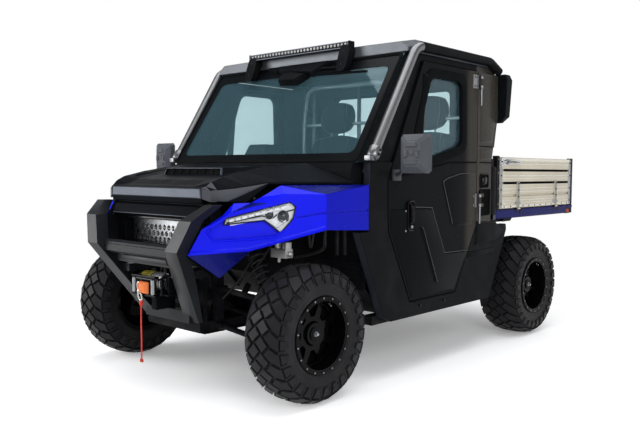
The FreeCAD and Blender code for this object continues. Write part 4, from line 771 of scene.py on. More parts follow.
def turned_line(line: Line, offset: float, closed: bool) -> list[tuple[float, float]]:
    """Shift a line sideways by an offset, with mitred corners.

    Args:
        line: Corners of the line.
        offset: Distance to the left of the way the line runs.
        closed: True if the last corner joins the first.

    Returns:
        As many corners as the line has.
    """
    count = len(line)
    moved = []
    for index, (u, v) in enumerate(line):
        before = line[index - 1] if index or closed else None
        after = line[(index + 1) % count] if index < count - 1 or closed else None
        normals = []
        for start, end in ((before, (u, v)), ((u, v), after)):
            if start is None or end is None:
                continue
            du, dv = end[0] - start[0], end[1] - start[1]
            size = math.hypot(du, dv) or 1.0
            normals.append((-dv / size, du / size))
        nu = sum(n[0] for n in normals) / len(normals)
        nv = sum(n[1] for n in normals) / len(normals)
        stretch = max(nu * nu + nv * nv, MITRE_LIMIT)
        moved.append((u + nu * offset / stretch, v + nv * offset / stretch))
    return moved


def rounded(outline: Line, radius: float, steps: int = 4) -> list[tuple[float, float]]:
    """Round the corners of a closed outline.

    Args:
        outline: Its corners.
        radius: Distance from a corner at which its curve starts.
        steps: Number of steps in a curve.

    Returns:
        The corners of the rounded outline.
    """
    made = []
    count = len(outline)
    for index, (u, v) in enumerate(outline):
        before, after = outline[index - 1], outline[(index + 1) % count]
        ends = []
        for other in (before, after):
            du, dv = other[0] - u, other[1] - v
            size = math.hypot(du, dv) or 1.0
            reach = min(radius, size * CORNER_SHARE)
            ends.append((u + du / size * reach, v + dv / size * reach))
        for step in range(steps + 1):
            t = step / steps
            a, b, c = (1 - t) ** 2, 2 * t * (1 - t), t * t
            made.append(
                (a * ends[0][0] + b * u + c * ends[1][0], a * ends[0][1] + b * v + c * ends[1][1]))
    return made


def loft(shape: bmesh.types.BMesh, rings: Sequence[Sequence[Vector]], closed: bool = True,
         capped: bool = True) -> None:
    """Join rings of points with faces.

    Args:
        shape: Mesh that takes the faces.
        rings: Rings with the same number of points.
        closed: True if each ring's last point joins its first.
        capped: True if the first and last ring are filled.
    """
    made = [[shape.verts.new(point) for point in ring] for ring in rings]
    count = len(made[0])
    for low, high in zip(made, made[1:]):
        for index in range(count if closed else count - 1):
            after = (index + 1) % count
            shape.faces.new((low[index], low[after], high[after], high[index]))
    if capped:
        shape.faces.new(list(reversed(made[0])))
        shape.faces.new(made[-1])


def band(shape: bmesh.types.BMesh, plane: Plane, line: Line, base: float, top: float,
         height: float, closed: bool = False, sunk: float = 0.003) -> None:
    """Raise a bar of trapezoid section along a line on a face.

    Args:
        shape: Mesh that takes the faces.
        plane: Face that carries the bar.
        line: Corners of its middle line.
        base: Width at the face.
        top: Width of its flat top.
        height: Height of the top.
        closed: True for a bar that runs round.
        sunk: Depth by which it reaches into the face.
    """
    sections = (
        (base / 2, -sunk), (base / 2, 0.0), (top / 2, height), (-top / 2, height),
        (-base / 2, 0.0), (-base / 2, -sunk))
    lines = [[plane.at(u, v, lift) for u, v in turned_line(line, offset, closed)]
             for offset, lift in sections]
    rings = [list(ring) for ring in zip(*lines)]
    if closed:
        rings.append(rings[0])
    loft(shape, rings, capped=not closed)


def panel(shape: bmesh.types.BMesh, plane: Plane, outline: Line, bevel: float, height: float,
          sunk: float = 0.002) -> None:
    """Raise a flat panel with sloping edges from a face; the outline runs anticlockwise.

    Args:
        shape: Mesh that takes the faces.
        plane: Face that carries the panel.
        outline: Its foot on the face.
        bevel: Width of its sloping edge.
        height: Height of its flat top.
        sunk: Depth by which it reaches into the face.
    """
    inner = turned_line(outline, bevel, True)
    lip = turned_line(outline, bevel * 0.82, True)
    rings = [[plane.at(u, v, -sunk) for u, v in outline],
             [plane.at(u, v, 0.0) for u, v in outline],
             [plane.at(u, v, height * 0.9) for u, v in lip],
             [plane.at(u, v, height) for u, v in inner]]
    loft(shape, rings)


def slab(shape: bmesh.types.BMesh, plane: Plane, outline: Line, low: float, high: float) -> None:
    """Fill an outline on a face between two heights."""
    loft(shape, [[plane.at(u, v, lift) for u, v in outline] for lift in (low, high)])


def frame_band(
        shape: bmesh.types.BMesh, plane: Plane, outer: Line, inner: Line, low: float, high: float,
        crown: float = 0.0) -> None:
    """Fill the strip between two outlines of as many corners, with a thickness.

    Args:
        shape: Mesh that takes the faces.
        plane: Face that carries the strip.
        outer, inner: Its outlines, in the same order.
        low, high: Heights of its back and front.
        crown: Extra height of its middle line.
    """
    middle = [((a[0] + b[0]) / 2, (a[1] + b[1]) / 2) for a, b in zip(outer, inner)]
    rows = [(outer, low), (outer, high), (middle, high + crown), (inner, high), (inner, low)]
    rings = [[plane.at(u, v, lift) for u, v in line] for line, lift in rows]
    loft(shape, rings + [rings[0]], capped=False)


def stud(shape: bmesh.types.BMesh, foot: Vector, out: Vector, radius: float, height: float,
         sides: int = 6, dome: float = 0.6) -> None:
    """Set a bolt head or rivet on a face.

    Args:
        shape: Mesh that takes the faces.
        foot: Middle of its foot.
        out: Direction it looks.
        radius, height: Its size.
        sides: 6 for a hexagon head, more for a round one.
        dome: Share of the radius that its flat top keeps.
    """
    along = out.normalized()
    side = along.orthogonal().normalized()
    over = along.cross(side)
    rings = []
    for share, lift in ((1.0, -0.001), (1.0, height * 0.7), (dome, height)):
        ring = []
        for step in range(sides):
            turn = 2 * math.pi * step / sides
            ring.append(
                foot + along * lift + (side * math.cos(turn) + over * math.sin(turn)) * radius
                * share)
        rings.append(ring)
    loft(shape, rings)


def bent(points: Sequence[Point], radius: float, steps: int = 5) -> list[Vector]:
    """Round the inner corners of a line through space.

    Args:
        points: Corners of the line.
        radius: Distance from a corner at which its curve starts.
        steps: Number of steps in a curve.

    Returns:
        The points of the rounded line.
    """
    line = [Vector(p) for p in points]
    made = [line[0]]
    for before, here, after in zip(line, line[1:], line[2:]):
        first, last = (
            here + way.normalized() * min(radius, way.length * CORNER_SHARE)
            for way in (before - here, after - here))
        for step in range(steps + 1):
            t = step / steps
            made.append(first * (1 - t) ** 2 + here * (2 * t * (1 - t)) + last * t * t)
    return made + [line[-1]]


def tube(shape: bmesh.types.BMesh, points: Sequence[Point], radius: float, sides: int = 12,
         bend: float = 0.0, flat: float = 1.0) -> None:
    """Sweep a round or flattened section along a line.

    Args:
        shape: Mesh that takes the faces.
        points: Corners of the line.
        radius: Radius of the section.
        sides: Number of sides of the section.
        bend: Radius of its bends.
        flat: Height of the section as a share of its width.
    """
    line = bent(points, bend) if bend else [Vector(p) for p in points]
    ways = [(b - a).normalized() for a, b in zip(line, line[1:])]
    ways = [ways[0]] + [(a + b).normalized() for a, b in zip(ways, ways[1:])] + [ways[-1]]
    side = ways[0].orthogonal().normalized()
    rings = []
    for point, way in zip(line, ways):
        side = (side - way * side.dot(way)).normalized()
        over = way.cross(side)
        rings.append(
            [point + (side * math.cos(t) + over * math.sin(t) * flat) * radius
             for t in angles(sides)])
    loft(shape, rings)


def block(shape: bmesh.types.BMesh, low: Point, high: Point, chamfer: float = 0.003) -> None:
    """Make a chamfered block between two corners.

    The bevel lists its points in an order that changes between runs, so they are sorted before
    they join the shape.

    Args:
        shape: Mesh that takes the faces.
        low, high: Its corners.
        chamfer: Width of the chamfer on its twelve edges.
    """
    own = bmesh.new()
    bmesh.ops.create_cube(own, size=1.0)
    middle = (Vector(low) + Vector(high)) / 2
    size = Vector(high) - Vector(low)
    for vert in own.verts:
        vert.co = Vector(c * s for c, s in zip(vert.co, size)) + middle
    bmesh.ops.bevel(
        own, geom=own.edges[:], offset=min(chamfer, min(size) * 0.4), segments=2, profile=0.7,
        affect="EDGES")
    points = sorted(own.verts, key=lambda vert: [round(c, 6) for c in vert.co])
    place = {vert: index for index, vert in enumerate(points)}
    rings = []
    for face in own.faces:
        ring = [place[vert] for vert in face.verts]
        first = ring.index(min(ring))
        rings.append(ring[first:] + ring[:first])
    fresh = [shape.verts.new(vert.co) for vert in points]
    for ring in sorted(rings):
        shape.faces.new([fresh[index] for index in ring])
    own.free()


def spun(shape: bmesh.types.BMesh, profile: Sequence[tuple[float, float]], foot: Vector,
         way: Vector, steps: int = 32) -> None:
    """Turn an open (along, radius) profile about an axis.

    Args:
        shape: Mesh that takes the faces.
        profile: Points from one end to the other.
        foot: Point on the axis where along is zero.
        way: Direction of the axis.
        steps: Number of steps round it.
    """
    along = way.normalized()
    side = along.orthogonal().normalized()
    over = along.cross(side)
    rings = [[foot + along * a + (side * math.cos(t) + over * math.sin(t)) * max(r, 0.0002)
              for t in angles(steps)] for a, r in profile]
    loft(shape, rings)


# ---------------------------------------------------------------- wheels
@dataclass
class Tyre:
    """One all-terrain tyre with a herringbone tread of oblong blocks.

    Args:
        end: "front" or "rear".
        side: 1 on the left, -1 on the right.
    """

    end: str
    side: int
    steps: int = 108
    pitches: int = 27
    lug_share: float = 0.62
    short_lug_share: float = 0.4
    block_height: float = 0.015
    start: float = 0.021
    breadth: float = 0.033
    split: float = 0.06
    groove: float = 0.0135

    def __post_init__(self) -> None:
        """Read the tyre's place and size from its CAD node."""
        word = WORD[self.side]
        self.node = f"{self.end}_{word}_tyre"
        self.body = f"{self.end}_{word}_wheel"
        low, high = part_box(self.node)
        self.centre = (low + high) / 2
        self.half_width = (high.x - low.x) / 2
        self.radius = (high.z - low.z) / 2

    def crown(self) -> list[tuple[float, float]]:
        """Return the carcass line from the tread's middle to the bead: (across, radius).

        Returns:
            Points as (distance across, radius).
        """
        wide, out = self.half_width, self.radius - self.block_height
        return [(0.0, out), (wide * 0.45, out - 0.002), (wide * 0.7, out - 0.007),
                (wide * 0.86, out - 0.018), (wide * 0.955, out - 0.04),
                (wide * 0.978, out - 0.062), (wide * 0.972, out - 0.064),
                (wide * 0.972, out - 0.078), (wide * 0.96, out - 0.08),
                (wide * 0.955, out - 0.098), (wide * 0.93, out - 0.112),
                (wide * 0.936, out - 0.115), (wide * 0.915, out - 0.124),
                (wide * 0.9, out - 0.132), (wide * 0.84, 0.19), (wide * 0.8, 0.1855),
                (wide * 0.8, 0.18)]

    def carcass(self, shape: bmesh.types.BMesh) -> None:
        """Turn the carcass, closed by an inner line.

        Args:
            shape: Mesh that takes the faces.
        """
        line = self.crown()
        outer = [(-x, r) for x, r in reversed(line)] + line[1:]
        inner = [(x * 0.86, max(0.176, r - 0.014)) for x, r in reversed(outer)]
        lathe(shape, outer + inner, self.centre, self.steps)

    def surface(self, along: float, across: float, lift: float) -> Vector:
        """Return the point on the carcass at an angle, a distance across and a height.

        Args:
            along: Angle round the wheel in radians.
            across: Distance from the middle along the crown line; negative on the inside.
            lift: Height above the carcass.

        Returns:
            The point.
        """
        line = self.crown()
        left = abs(across)
        for (x0, r0), (x1, r1) in zip(line, line[1:]):
            run = math.hypot(x1 - x0, r1 - r0)
            if left <= run or (x1, r1) == line[-1]:
                share = left / run
                x, r = x0 + (x1 - x0) * share, r0 + (r1 - r0) * share
                nx, nr = -(r1 - r0) / run, (x1 - x0) / run
                break
            left -= run
        x, r = x + nx * lift, r + nr * lift
        sign = 1 if across >= 0 else -1
        return self.centre + Vector((sign * x, r * math.cos(along), r * math.sin(along)))

    def block(self, shape: bmesh.types.BMesh, outline: Line, height: float, start: float,
              flip: int) -> None:
        """Raise one tread block.

        Args:
            shape: Mesh that takes the faces.
            outline: Corners as (distance round, distance across), in metres.
            height: Height of the block.
            start: Angle of the block's origin.
            flip: 1 for the outer half of the tread, -1 for the inner half.
        """
        fine = []
        for (u0, v0), (u1, v1) in zip(outline, tuple(outline[1:]) + tuple(outline[:1])):
            fine += [(u0, v0), ((u0 + u1) / 2, (v0 + v1) / 2)]
        count = len(fine)
        mid = (sum(p[0] for p in fine) / count, sum(p[1] for p in fine) / count)
        rings = []
        for lift, share in ((-0.004, 1.05), (height * 0.82, 0.98), (height, 0.91)):
            ring = []
            for u, v in fine:
                u, v = mid[0] + (u - mid[0]) * share, mid[1] + (v - mid[1]) * share
                ring.append(shape.verts.new(self.surface(start + u / self.radius, flip * v, lift)))
            rings.append(ring)
        for low, high in zip(rings, rings[1:]):
            for index in range(count):
                after = (index + 1) % count
                shape.faces.new((low[index], low[after], high[after], high[index]))
        shape.faces.new(rings[-1])

    def _place(self, along: float, over: float) -> tuple[float, float]:
        """Turn a place in a diagonal row into distances round and across the tyre."""
        slope = math.sqrt(0.5)
        return along * slope + over, self.start + along * slope - over

    def tread(self, shape: bmesh.types.BMesh) -> None:
        """Lay the diagonal rows of blocks and the lugs that run down the shoulders.

        Args:
            shape: Mesh that takes the faces.
        """
        pitch = 2 * math.pi / self.pitches
        edge = self.half_width * 0.935
        wide = self.breadth
        slope = math.sqrt(0.5)
        near, far = self.split, self.split + self.groove
        out_left, out_right = (edge - self.start) / slope, (edge - self.start + wide) / slope
        high = self.block_height
        first = [self._place(0, 0), self._place(0, wide), self._place(near, wide),
                 self._place(near, 0)]
        second = [self._place(far, 0), self._place(far, wide), self._place(out_right, wide),
                  self._place(out_left, 0)]
        outer_u = out_left * slope
        lug = [(outer_u + 0.004, edge + 0.007), (outer_u + wide * 2 - 0.006, edge + 0.007),
               (outer_u + wide * 2 - 0.016, edge + 0.052), (outer_u + 0.014, edge + 0.052)]
        short = [(outer_u + wide * 2 - 0.002, edge - 0.004),
                 (outer_u + wide * 2 + 0.007, edge - 0.004),
                 (outer_u + wide * 2 + 0.006, edge + 0.034),
                 (outer_u + wide * 2 - 0.004, edge + 0.034)]
        for step in range(self.pitches):
            for flip in (1, -1):
                start = step * pitch + (0.5 * pitch if flip < 0 else 0)
                self.block(shape, first, high, start, flip)
                self.block(shape, second, high, start, flip)
                self.block(shape, lug, high * self.lug_share, start, flip)
                self.block(shape, short, high * self.short_lug_share, start, flip)

    def build(self) -> None:
        """Make the tyre and put it in place of its CAD node."""
        shape = bmesh.new()
        self.carcass(shape)
        self.tread(shape)
        made = new_object(self.node + "_tread", shape, FINISH.tyre, self.body, 30)
        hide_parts(self.node)


@dataclass
class WheelTrim:
    """Flange, bolts, hub cap, nuts, valve, a near-black dust plate of painted shade, and spoke
    ribs of a deep-dish wheel.

    Args:
        end: "front" or "rear".
        side: 1 on the left, -1 on the right.
    """

    end: str
    side: int
    ring_bolts: int = 18
    ring_radius: float = 0.1845
    dish: float = 0.078
    nuts: int = 4
    nut_radius: float = 0.046
    spokes: int = 8

    def __post_init__(self) -> None:
        """Find the wheel's middle, its outer face and its body."""
        word = WORD[self.side]
        self.body = f"{self.end}_{word}_wheel"
        low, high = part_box(f"{self.end}_{word}_rim")
        self.face = high.x if self.side > 0 else low.x
        self.centre = (low + high) / 2
        self.out = Vector((self.side, 0, 0))

    def at(self, radius: float, turn: float, depth: float = 0.0) -> Vector:
        """Return the point at a radius and an angle, at a depth behind the outer face.

        Args:
            radius: Distance from the axis.
            turn: Angle round the axis in radians.
            depth: Depth behind the outer face.

        Returns:
            The point.
        """
        return Vector(
            (self.face - self.side * depth, self.centre.y + radius * math.cos(turn),
             self.centre.z + radius * math.sin(turn)))

    def build(self) -> None:
        """Build the trim."""
        ring = bmesh.new()
        flange = ((0.0, 0.1905), (0.0016, 0.189), (0.0022, 0.1845), (0.0016, 0.1795),
                  (-0.003, 0.177), (-0.012, 0.1745), (-0.013, 0.1785), (-0.004, 0.1905))
        lathe(ring, tuple((self.side * a, r) for a, r in flange),
              Vector((self.face, self.centre.y, self.centre.z)), 72)
        new_object(f"{self.body}_flange", ring, FINISH.rim, self.body, 40)
        bolts = bmesh.new()
        for index in range(self.ring_bolts):
            turn = 2 * math.pi * (index + 0.5) / self.ring_bolts
            stud(bolts, self.at(self.ring_radius - 0.0015, turn, -0.0018), self.out, 0.0052,
                 0.0055, 12)
        for index in range(self.nuts):
            turn = 2 * math.pi * (index + 0.5) / self.nuts
            foot = self.at(self.nut_radius, turn, self.dish)
            stud(bolts, foot, self.out, 0.0125, 0.003, 16, 0.9)
            stud(bolts, foot + self.out * 0.002, self.out, 0.0095, 0.017, 6, 0.5)
        new_object(f"{self.body}_bolts", bolts, FINISH.bolt, self.body, 30)
        cap = bmesh.new()
        spun(cap, ((-0.004, 0.034), (0.01, 0.034), (0.014, 0.031), (0.016, 0.024), (0.022, 0.022),
                   (0.026, 0.018), (0.027, 0.0)), self.at(0, 0, self.dish), self.out, 32)
        new_object(f"{self.body}_hub_cap", cap, FINISH.plastic_gloss, self.body, 35)
        nut = bmesh.new()
        foot = self.at(0, 0, self.dish - 0.02)
        stud(nut, foot, self.out, 0.016, 0.014, 6, 0.8)
        spun(nut, ((0.0, 0.008), (0.024, 0.008), (0.026, 0.006), (0.026, 0.0)), foot, self.out, 16)
        valve = self.at(0.162, 1.1, 0.03)
        spun(nut,
             ((-0.004, 0.0055), (0.01, 0.0052), (0.012, 0.0036), (0.024, 0.0036), (0.025, 0.0)),
             valve, self.out - Vector((0, 0.3, 0.4)), 12)
        new_object(f"{self.body}_hub_nut", nut, FINISH.steel, self.body, 35)
        # A real dust plate behind the spokes, made near-black so the rim's openings read dark:
        # painted shade.
        plate = bmesh.new()
        depth = self.face - self.side * (self.dish + 0.022)
        lathe(plate, tuple(
                  (self.side * a, r) for a, r in (
                      (0.0, 0.064), (0.0, 0.16), (-0.003, 0.161), (-0.006, 0.15),
                      (-0.003, 0.064))), Vector((depth, self.centre.y, self.centre.z)), 48)
        new_object(f"{self.body}_dust_plate_painted_shade", plate, FINISH.shadow_gap, self.body, 40)
        ribs = bmesh.new()
        for index in range(self.spokes):
            turn = 2 * math.pi * (index + 0.5) / self.spokes
            tube(ribs, (self.at(0.058, turn, self.dish - 0.001),
                        self.at(0.1, turn, self.dish - 0.004),
                        self.at(0.145, turn, self.dish - 0.001)), 0.006, 10, 0.01)
        new_object(f"{self.body}_spoke_ribs", ribs, FINISH.rim, self.body, 50)


# ---------------------------------------------------------------- front
@dataclass
class HoodTrim:
    """Front bar, lip, corner facets, vent scoop, folds and clips of the hood."""

    scoop_half: float = 0.232
    slots: int = 7

    def build(self) -> None:
        """Build all trim of the hood."""
        self.front_bar()
        self.scoop()
        self.folds()

    def front_bar(self) -> None:
        """Lay the satin bar and the lip on the hood's front face, the bar's grey a painted
        reflection, and give its corner facets a painted reflection.
        """
        face = front_plane(-1.588)
        shape = bmesh.new()
        panel(shape, face, ((-0.387, 1.0035), (0.387, 1.0035), (0.381, 1.0515), (-0.381, 1.0515)),
              0.004, 0.0035)
        # The satin grey of this bar is a painted reflection of light on the hood's front face.
        new_object("hood_front_bar", shape, FINISH.silver_trim_and_painted_highlight, "hood", 25)
        lip = bmesh.new()
        loft(lip, [[Vector((x * wide, y, z)) for x in (-1, 1) for y, z in (
                        ((front, high), (back, high)) if x < 0 else ((back, high), (front, high)))]
                   for wide, front, back, high in (
                       (0.372, -1.576, -1.5, 0.9745), (0.386, -1.586, -1.5, 0.98),
                       (0.39, -1.5895, -1.5, 1.001))])
        new_object("hood_front_lip", lip, FINISH.hood, "hood", 25)
        # The side facets and front corner facets get the lighter grey: painted reflection.
        outline = ((-0.068, 0.994), (0.01, 0.99), (0.06, 1.01), (0.205, 1.075), (0.208, 1.08),
                   (0.112, 1.063), (0.048, 1.053), (-0.034, 1.044), (-0.068, 1.038))
        for side in (1, -1):
            skirt = Plane(
                Vector((0.477, -1.515, 0)), Vector((0.61, 0.792, 0)), Vector((0, 0, 1)),
                Vector((0.792, -0.61, 0))).on(side)
            facet = bmesh.new()
            panel(facet, skirt, outline, 0.004, 0.003)
            new_object(f"{WORD[side]}_hood_painted_reflection", facet, FINISH.hood_painted_reflection, "hood", 25)
        skin("hood_corner_painted_reflections", "hood", FINISH.hood_painted_reflection, "hood", lambda n, p: abs(p.x) > 0.388
             and p.y < -1.55 and n.y < -0.6 and abs(n.x) > 0.2 and n.z > -0.3)

    def scoop(self) -> None:
        """Raise the vent scoop with its slots and bright lip."""
        half = self.scoop_half
        shape = bmesh.new()
        rings = []
        for y, top, low, wide in (
                (-1.327, 1.1515, 1.098, half), (-1.318, 1.1545, 1.098, half),
                (-1.2, 1.158, 1.12, half - 0.01), (-1.06, 1.163, 1.14, half - 0.03),
                (-0.985, 1.1655, 1.15, half - 0.05)):
            rings.append(
                [Vector((x, y, z)) for x, z in (
                     (-wide - 0.022, low), (wide + 0.022, low), (wide, top), (-wide, top))])
        loft(shape, rings)
        new_object("hood_scoop", shape, FINISH.hood, "hood", 25)
        face = Plane(
            Vector((0, -1.34, 1.112)), Vector((1, 0, 0)), Vector((0, 0.32, 0.947)).normalized(),
            Vector((0, -0.947, 0.32)).normalized())
        back = bmesh.new()
        slab(back, face, ((-half - 0.012, 0.0), (half + 0.012, 0.0), (half, 0.04), (-half, 0.04)),
             -0.012, 0.0005)
        new_object("hood_vent_back", back, FINISH.shadow_gap, "hood")
        bars = bmesh.new()
        step = 2 * half / self.slots
        for index in range(self.slots + 1):
            u = -half + index * step
            band(bars, face, ((u * 1.03, 0.003), (u, 0.037)), 0.0085, 0.005, 0.006)
        new_object("hood_vent_bars", bars, FINISH.hood, "hood")
        lip = bmesh.new()
        band(lip, face, (
                 (-half - 0.014, 0.001), (-half - 0.002, 0.0405), (half + 0.002, 0.0405),
                 (half + 0.014, 0.001)), 0.0045, 0.0025, 0.0075)
        new_object("hood_vent_lip", lip, FINISH.silver_trim_and_painted_highlight, "hood")

    def folds(self) -> None:
        """Press two fine folds beside the middle and clip the skirts."""
        shape = bmesh.new()
        for side in (-1, 1):
            line = [Vector((side * x, y, z)) for x, y, z in (
                        (0.355, -1.56, 1.0645), (0.372, -1.44, 1.1125), (0.38, -1.3, 1.137),
                        (0.392, -0.93, 1.18))]
            tube(shape, line, 0.0032, 8)
        new_object("hood_folds", shape, FINISH.hood, "hood", 60)
        clips = bmesh.new()
        for side in (-1, 1):
            for x, y, z in ((0.47, -1.5, 1.0035), (0.56, -1.4, 1.0035)):
                out = Vector((0.79 * side, -0.61, 0))
                stud(clips, Vector((side * x, y, z)) + out * 0.0062, out, 0.007, 0.003, 16)
        new_object("hood_clips", clips, FINISH.plastic_gloss, "hood")


@dataclass
class Headlamp:
    """One wedge headlamp let into the slanted face of the fender.

    Args:
        side: 1 on the left, -1 on the right.
    """

    side: int
    outline: Line = (
        (-0.305, 0.9), (-0.226, 0.838), (-0.181, 0.888), (-0.163, 0.912), (-0.152, 0.967),
        (-0.181, 0.989), (-0.49, 0.912), (-0.502, 0.88))
    projector: tuple[float, float] = (-0.213, 0.918)
    cells: int = 9

    def __post_init__(self) -> None:
        """Lay out the slanted working face."""
        self.face = slant_plane().on(self.side)
        self.word = WORD[self.side]

    def piece(self, name: str, shape: bmesh.types.BMesh, finish: Finish | GlassFinish,
              smooth: float = 30.0) -> bpy.types.Object:
        """Put a piece of the lamp on the vehicle."""
        return new_object(f"{self.word}_headlamp_{name}", shape, finish, "chassis", smooth)

    def build(self) -> None:
        """Build the bowl, the light strip, the projectors, the bezel and the lens."""
        bowl = bmesh.new()
        slab(bowl, self.face, turned_line(self.outline, 0.002, True), -0.019, -0.0155)
        for low, high in (
                ((-0.3, 0.906), (-0.246, 0.868)), ((-0.246, 0.868), (-0.2, 0.9)),
                ((-0.33, 0.93), (-0.21, 0.958))):
            band(bowl, self.face.lifted(-0.0155), (low, high), 0.02, 0.003, 0.01)
        self.piece("bowl", bowl, FINISH.reflector)
        self.strip()
        self.projectors()
        self.bezel()
        shell = bmesh.new()
        rings = [(0.0, -0.004), (0.0012, 0.0008), (0.005, 0.0022)]
        loft(shell, [[self.face.at(u, v, lift) for u, v in turned_line(self.outline, inset, True)]
                     for inset, lift in rings], capped=False)
        lid = [self.face.at(u, v, 0.0022) for u, v in turned_line(self.outline, 0.005, True)]
        shell.faces.new([shell.verts.new(p) for p in lid])
        bmesh.ops.remove_doubles(shell, verts=shell.verts, dist=MERGE_DISTANCE)
        made = self.piece("lens", shell, FINISH.lens, 20)
        if self.side > 0:
            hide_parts("headlights")

    def strip(self) -> None:
        """Set the row of light cells under the upper edge."""
        cells = bmesh.new()
        start, end = Vector((-0.478, 0.897)), Vector((-0.196, 0.967))
        run = (end - start) / self.cells
        rise = Vector((-run.y, run.x)).normalized()
        for index in range(self.cells):
            near, far = start + run * (index + 0.06), start + run * (index + 0.94)
            outline = [near - rise * 0.009, far - rise * 0.009, far + rise * 0.009,
                       near + rise * 0.009]
            panel(cells, self.face.lifted(-0.011), [tuple(p) for p in outline], 0.003, 0.006)
        self.piece("light_cells", cells, FINISH.lamp_cell)
        low = bmesh.new()
        start, end = Vector((-0.47, 0.878)), Vector((-0.318, 0.906))
        rise = Vector((-(end - start).y, (end - start).x)).normalized()
        outline = [start - rise * 0.004, end - rise * 0.005, end + rise * 0.008,
                   start + rise * 0.006]
        panel(low, self.face.lifted(-0.013), [tuple(p) for p in outline], 0.003, 0.007)
        self.piece("lower_strip", low, FINISH.lamp_cell)

    def projectors(self) -> None:
        """Turn the main projector and the smaller one beside it."""
        u, v = self.projector
        for name, place, size in (("main", (u, v), 0.031), ("dip", (u - 0.068, v + 0.01), 0.022)):
            ring = bmesh.new()
            foot = self.face.at(*place, -0.015)
            spun(ring, ((0.0, size), (0.01, size), (0.011, size * 0.94), (0.004, size * 0.72),
                        (0.003, size * 0.68)), foot, self.face.out, 36)
            self.piece(f"{name}_ring", ring, FINISH.chrome, 35)
            eye = bmesh.new()
            spun(eye, ((0.002, size * 0.7), (0.007, size * 0.64), (0.0115, size * 0.48),
                       (0.0135, size * 0.26), (0.014, 0.0)), foot, self.face.out, 32)
            self.piece(f"{name}_eye", eye, FINISH.screen, 60)

    def bezel(self) -> None:
        """Frame the lamp in gloss black, with a bar between strip and bowl."""
        frame_piece = bmesh.new()
        frame_band(frame_piece, self.face, turned_line(self.outline, -0.0015, True),
                   turned_line(self.outline, 0.0045, True), -0.012, 0.0006)
        self.piece("bezel", frame_piece, FINISH.plastic_gloss)
        bar = bmesh.new()
        band(bar, self.face.lifted(-0.012),
             ((-0.486, 0.889), (-0.318, 0.922), (-0.262, 0.912), (-0.24, 0.93), (-0.16, 0.952)),
             0.007, 0.003, 0.007)
        self.piece("divider", bar, FINISH.plastic_gloss)


@dataclass
class FenderTrim:
    """Lip, recess edges, and painted shade on the lower, upper and side facets of one front
    fender.

    Args:
        side: 1 on the left, -1 on the right.
    """

    side: int
    lip: Line = ((-0.655, 0.745), (-0.38, 0.7635), (-0.004, 0.862))
    recess: Line = (
        (-0.562, 0.866), (-0.58, 0.846), (-0.551, 0.803), (-0.375, 0.81), (-0.256, 0.823),
        (-0.213, 0.85))

    def build(self) -> None:
        """Build the trim of the fender."""
        face = slant_plane().on(self.side)
        word = WORD[self.side]
        edges = bmesh.new()
        band(edges, face, self.lip, 0.02, 0.01, 0.005)
        band(edges, face, self.recess, 0.012, 0.004, 0.005)
        new_object(f"{word}_fender_edges", edges, FINISH.blue, "chassis", 40)
        # A darker blue strip inside the recess: painted shade.
        gap = bmesh.new()
        band(gap, face.lifted(-0.012), turned_line(self.recess, -0.009, False), 0.01, 0.006, 0.002)
        new_object(f"{word}_fender_recess_shade", gap, FINISH.blue_painted_shade, "chassis", 40)
        # Facets that face down, and the top facets, get darker blue: painted shade.
        side = self.side
        skin(f"{word}_fender_low_facet", "front_fenders", FINISH.blue_painted_shade, "chassis",
             lambda n, p: p.x * side > 0 and n.z < -0.25 and n.x * side > 0.2)
        skin(f"{word}_fender_top", "front_fenders", FINISH.blue_painted_shade, "chassis",
             lambda n, p: p.x * side > 0 and n.z > 0.85)
        # The outer side facets get mid blue: painted shade.
        skin(f"{word}_fender_side", "front_fenders", FINISH.blue_painted_side_shade, "chassis",
             lambda n, p: p.x * side > 0.81 and n.x * side > 0.97)


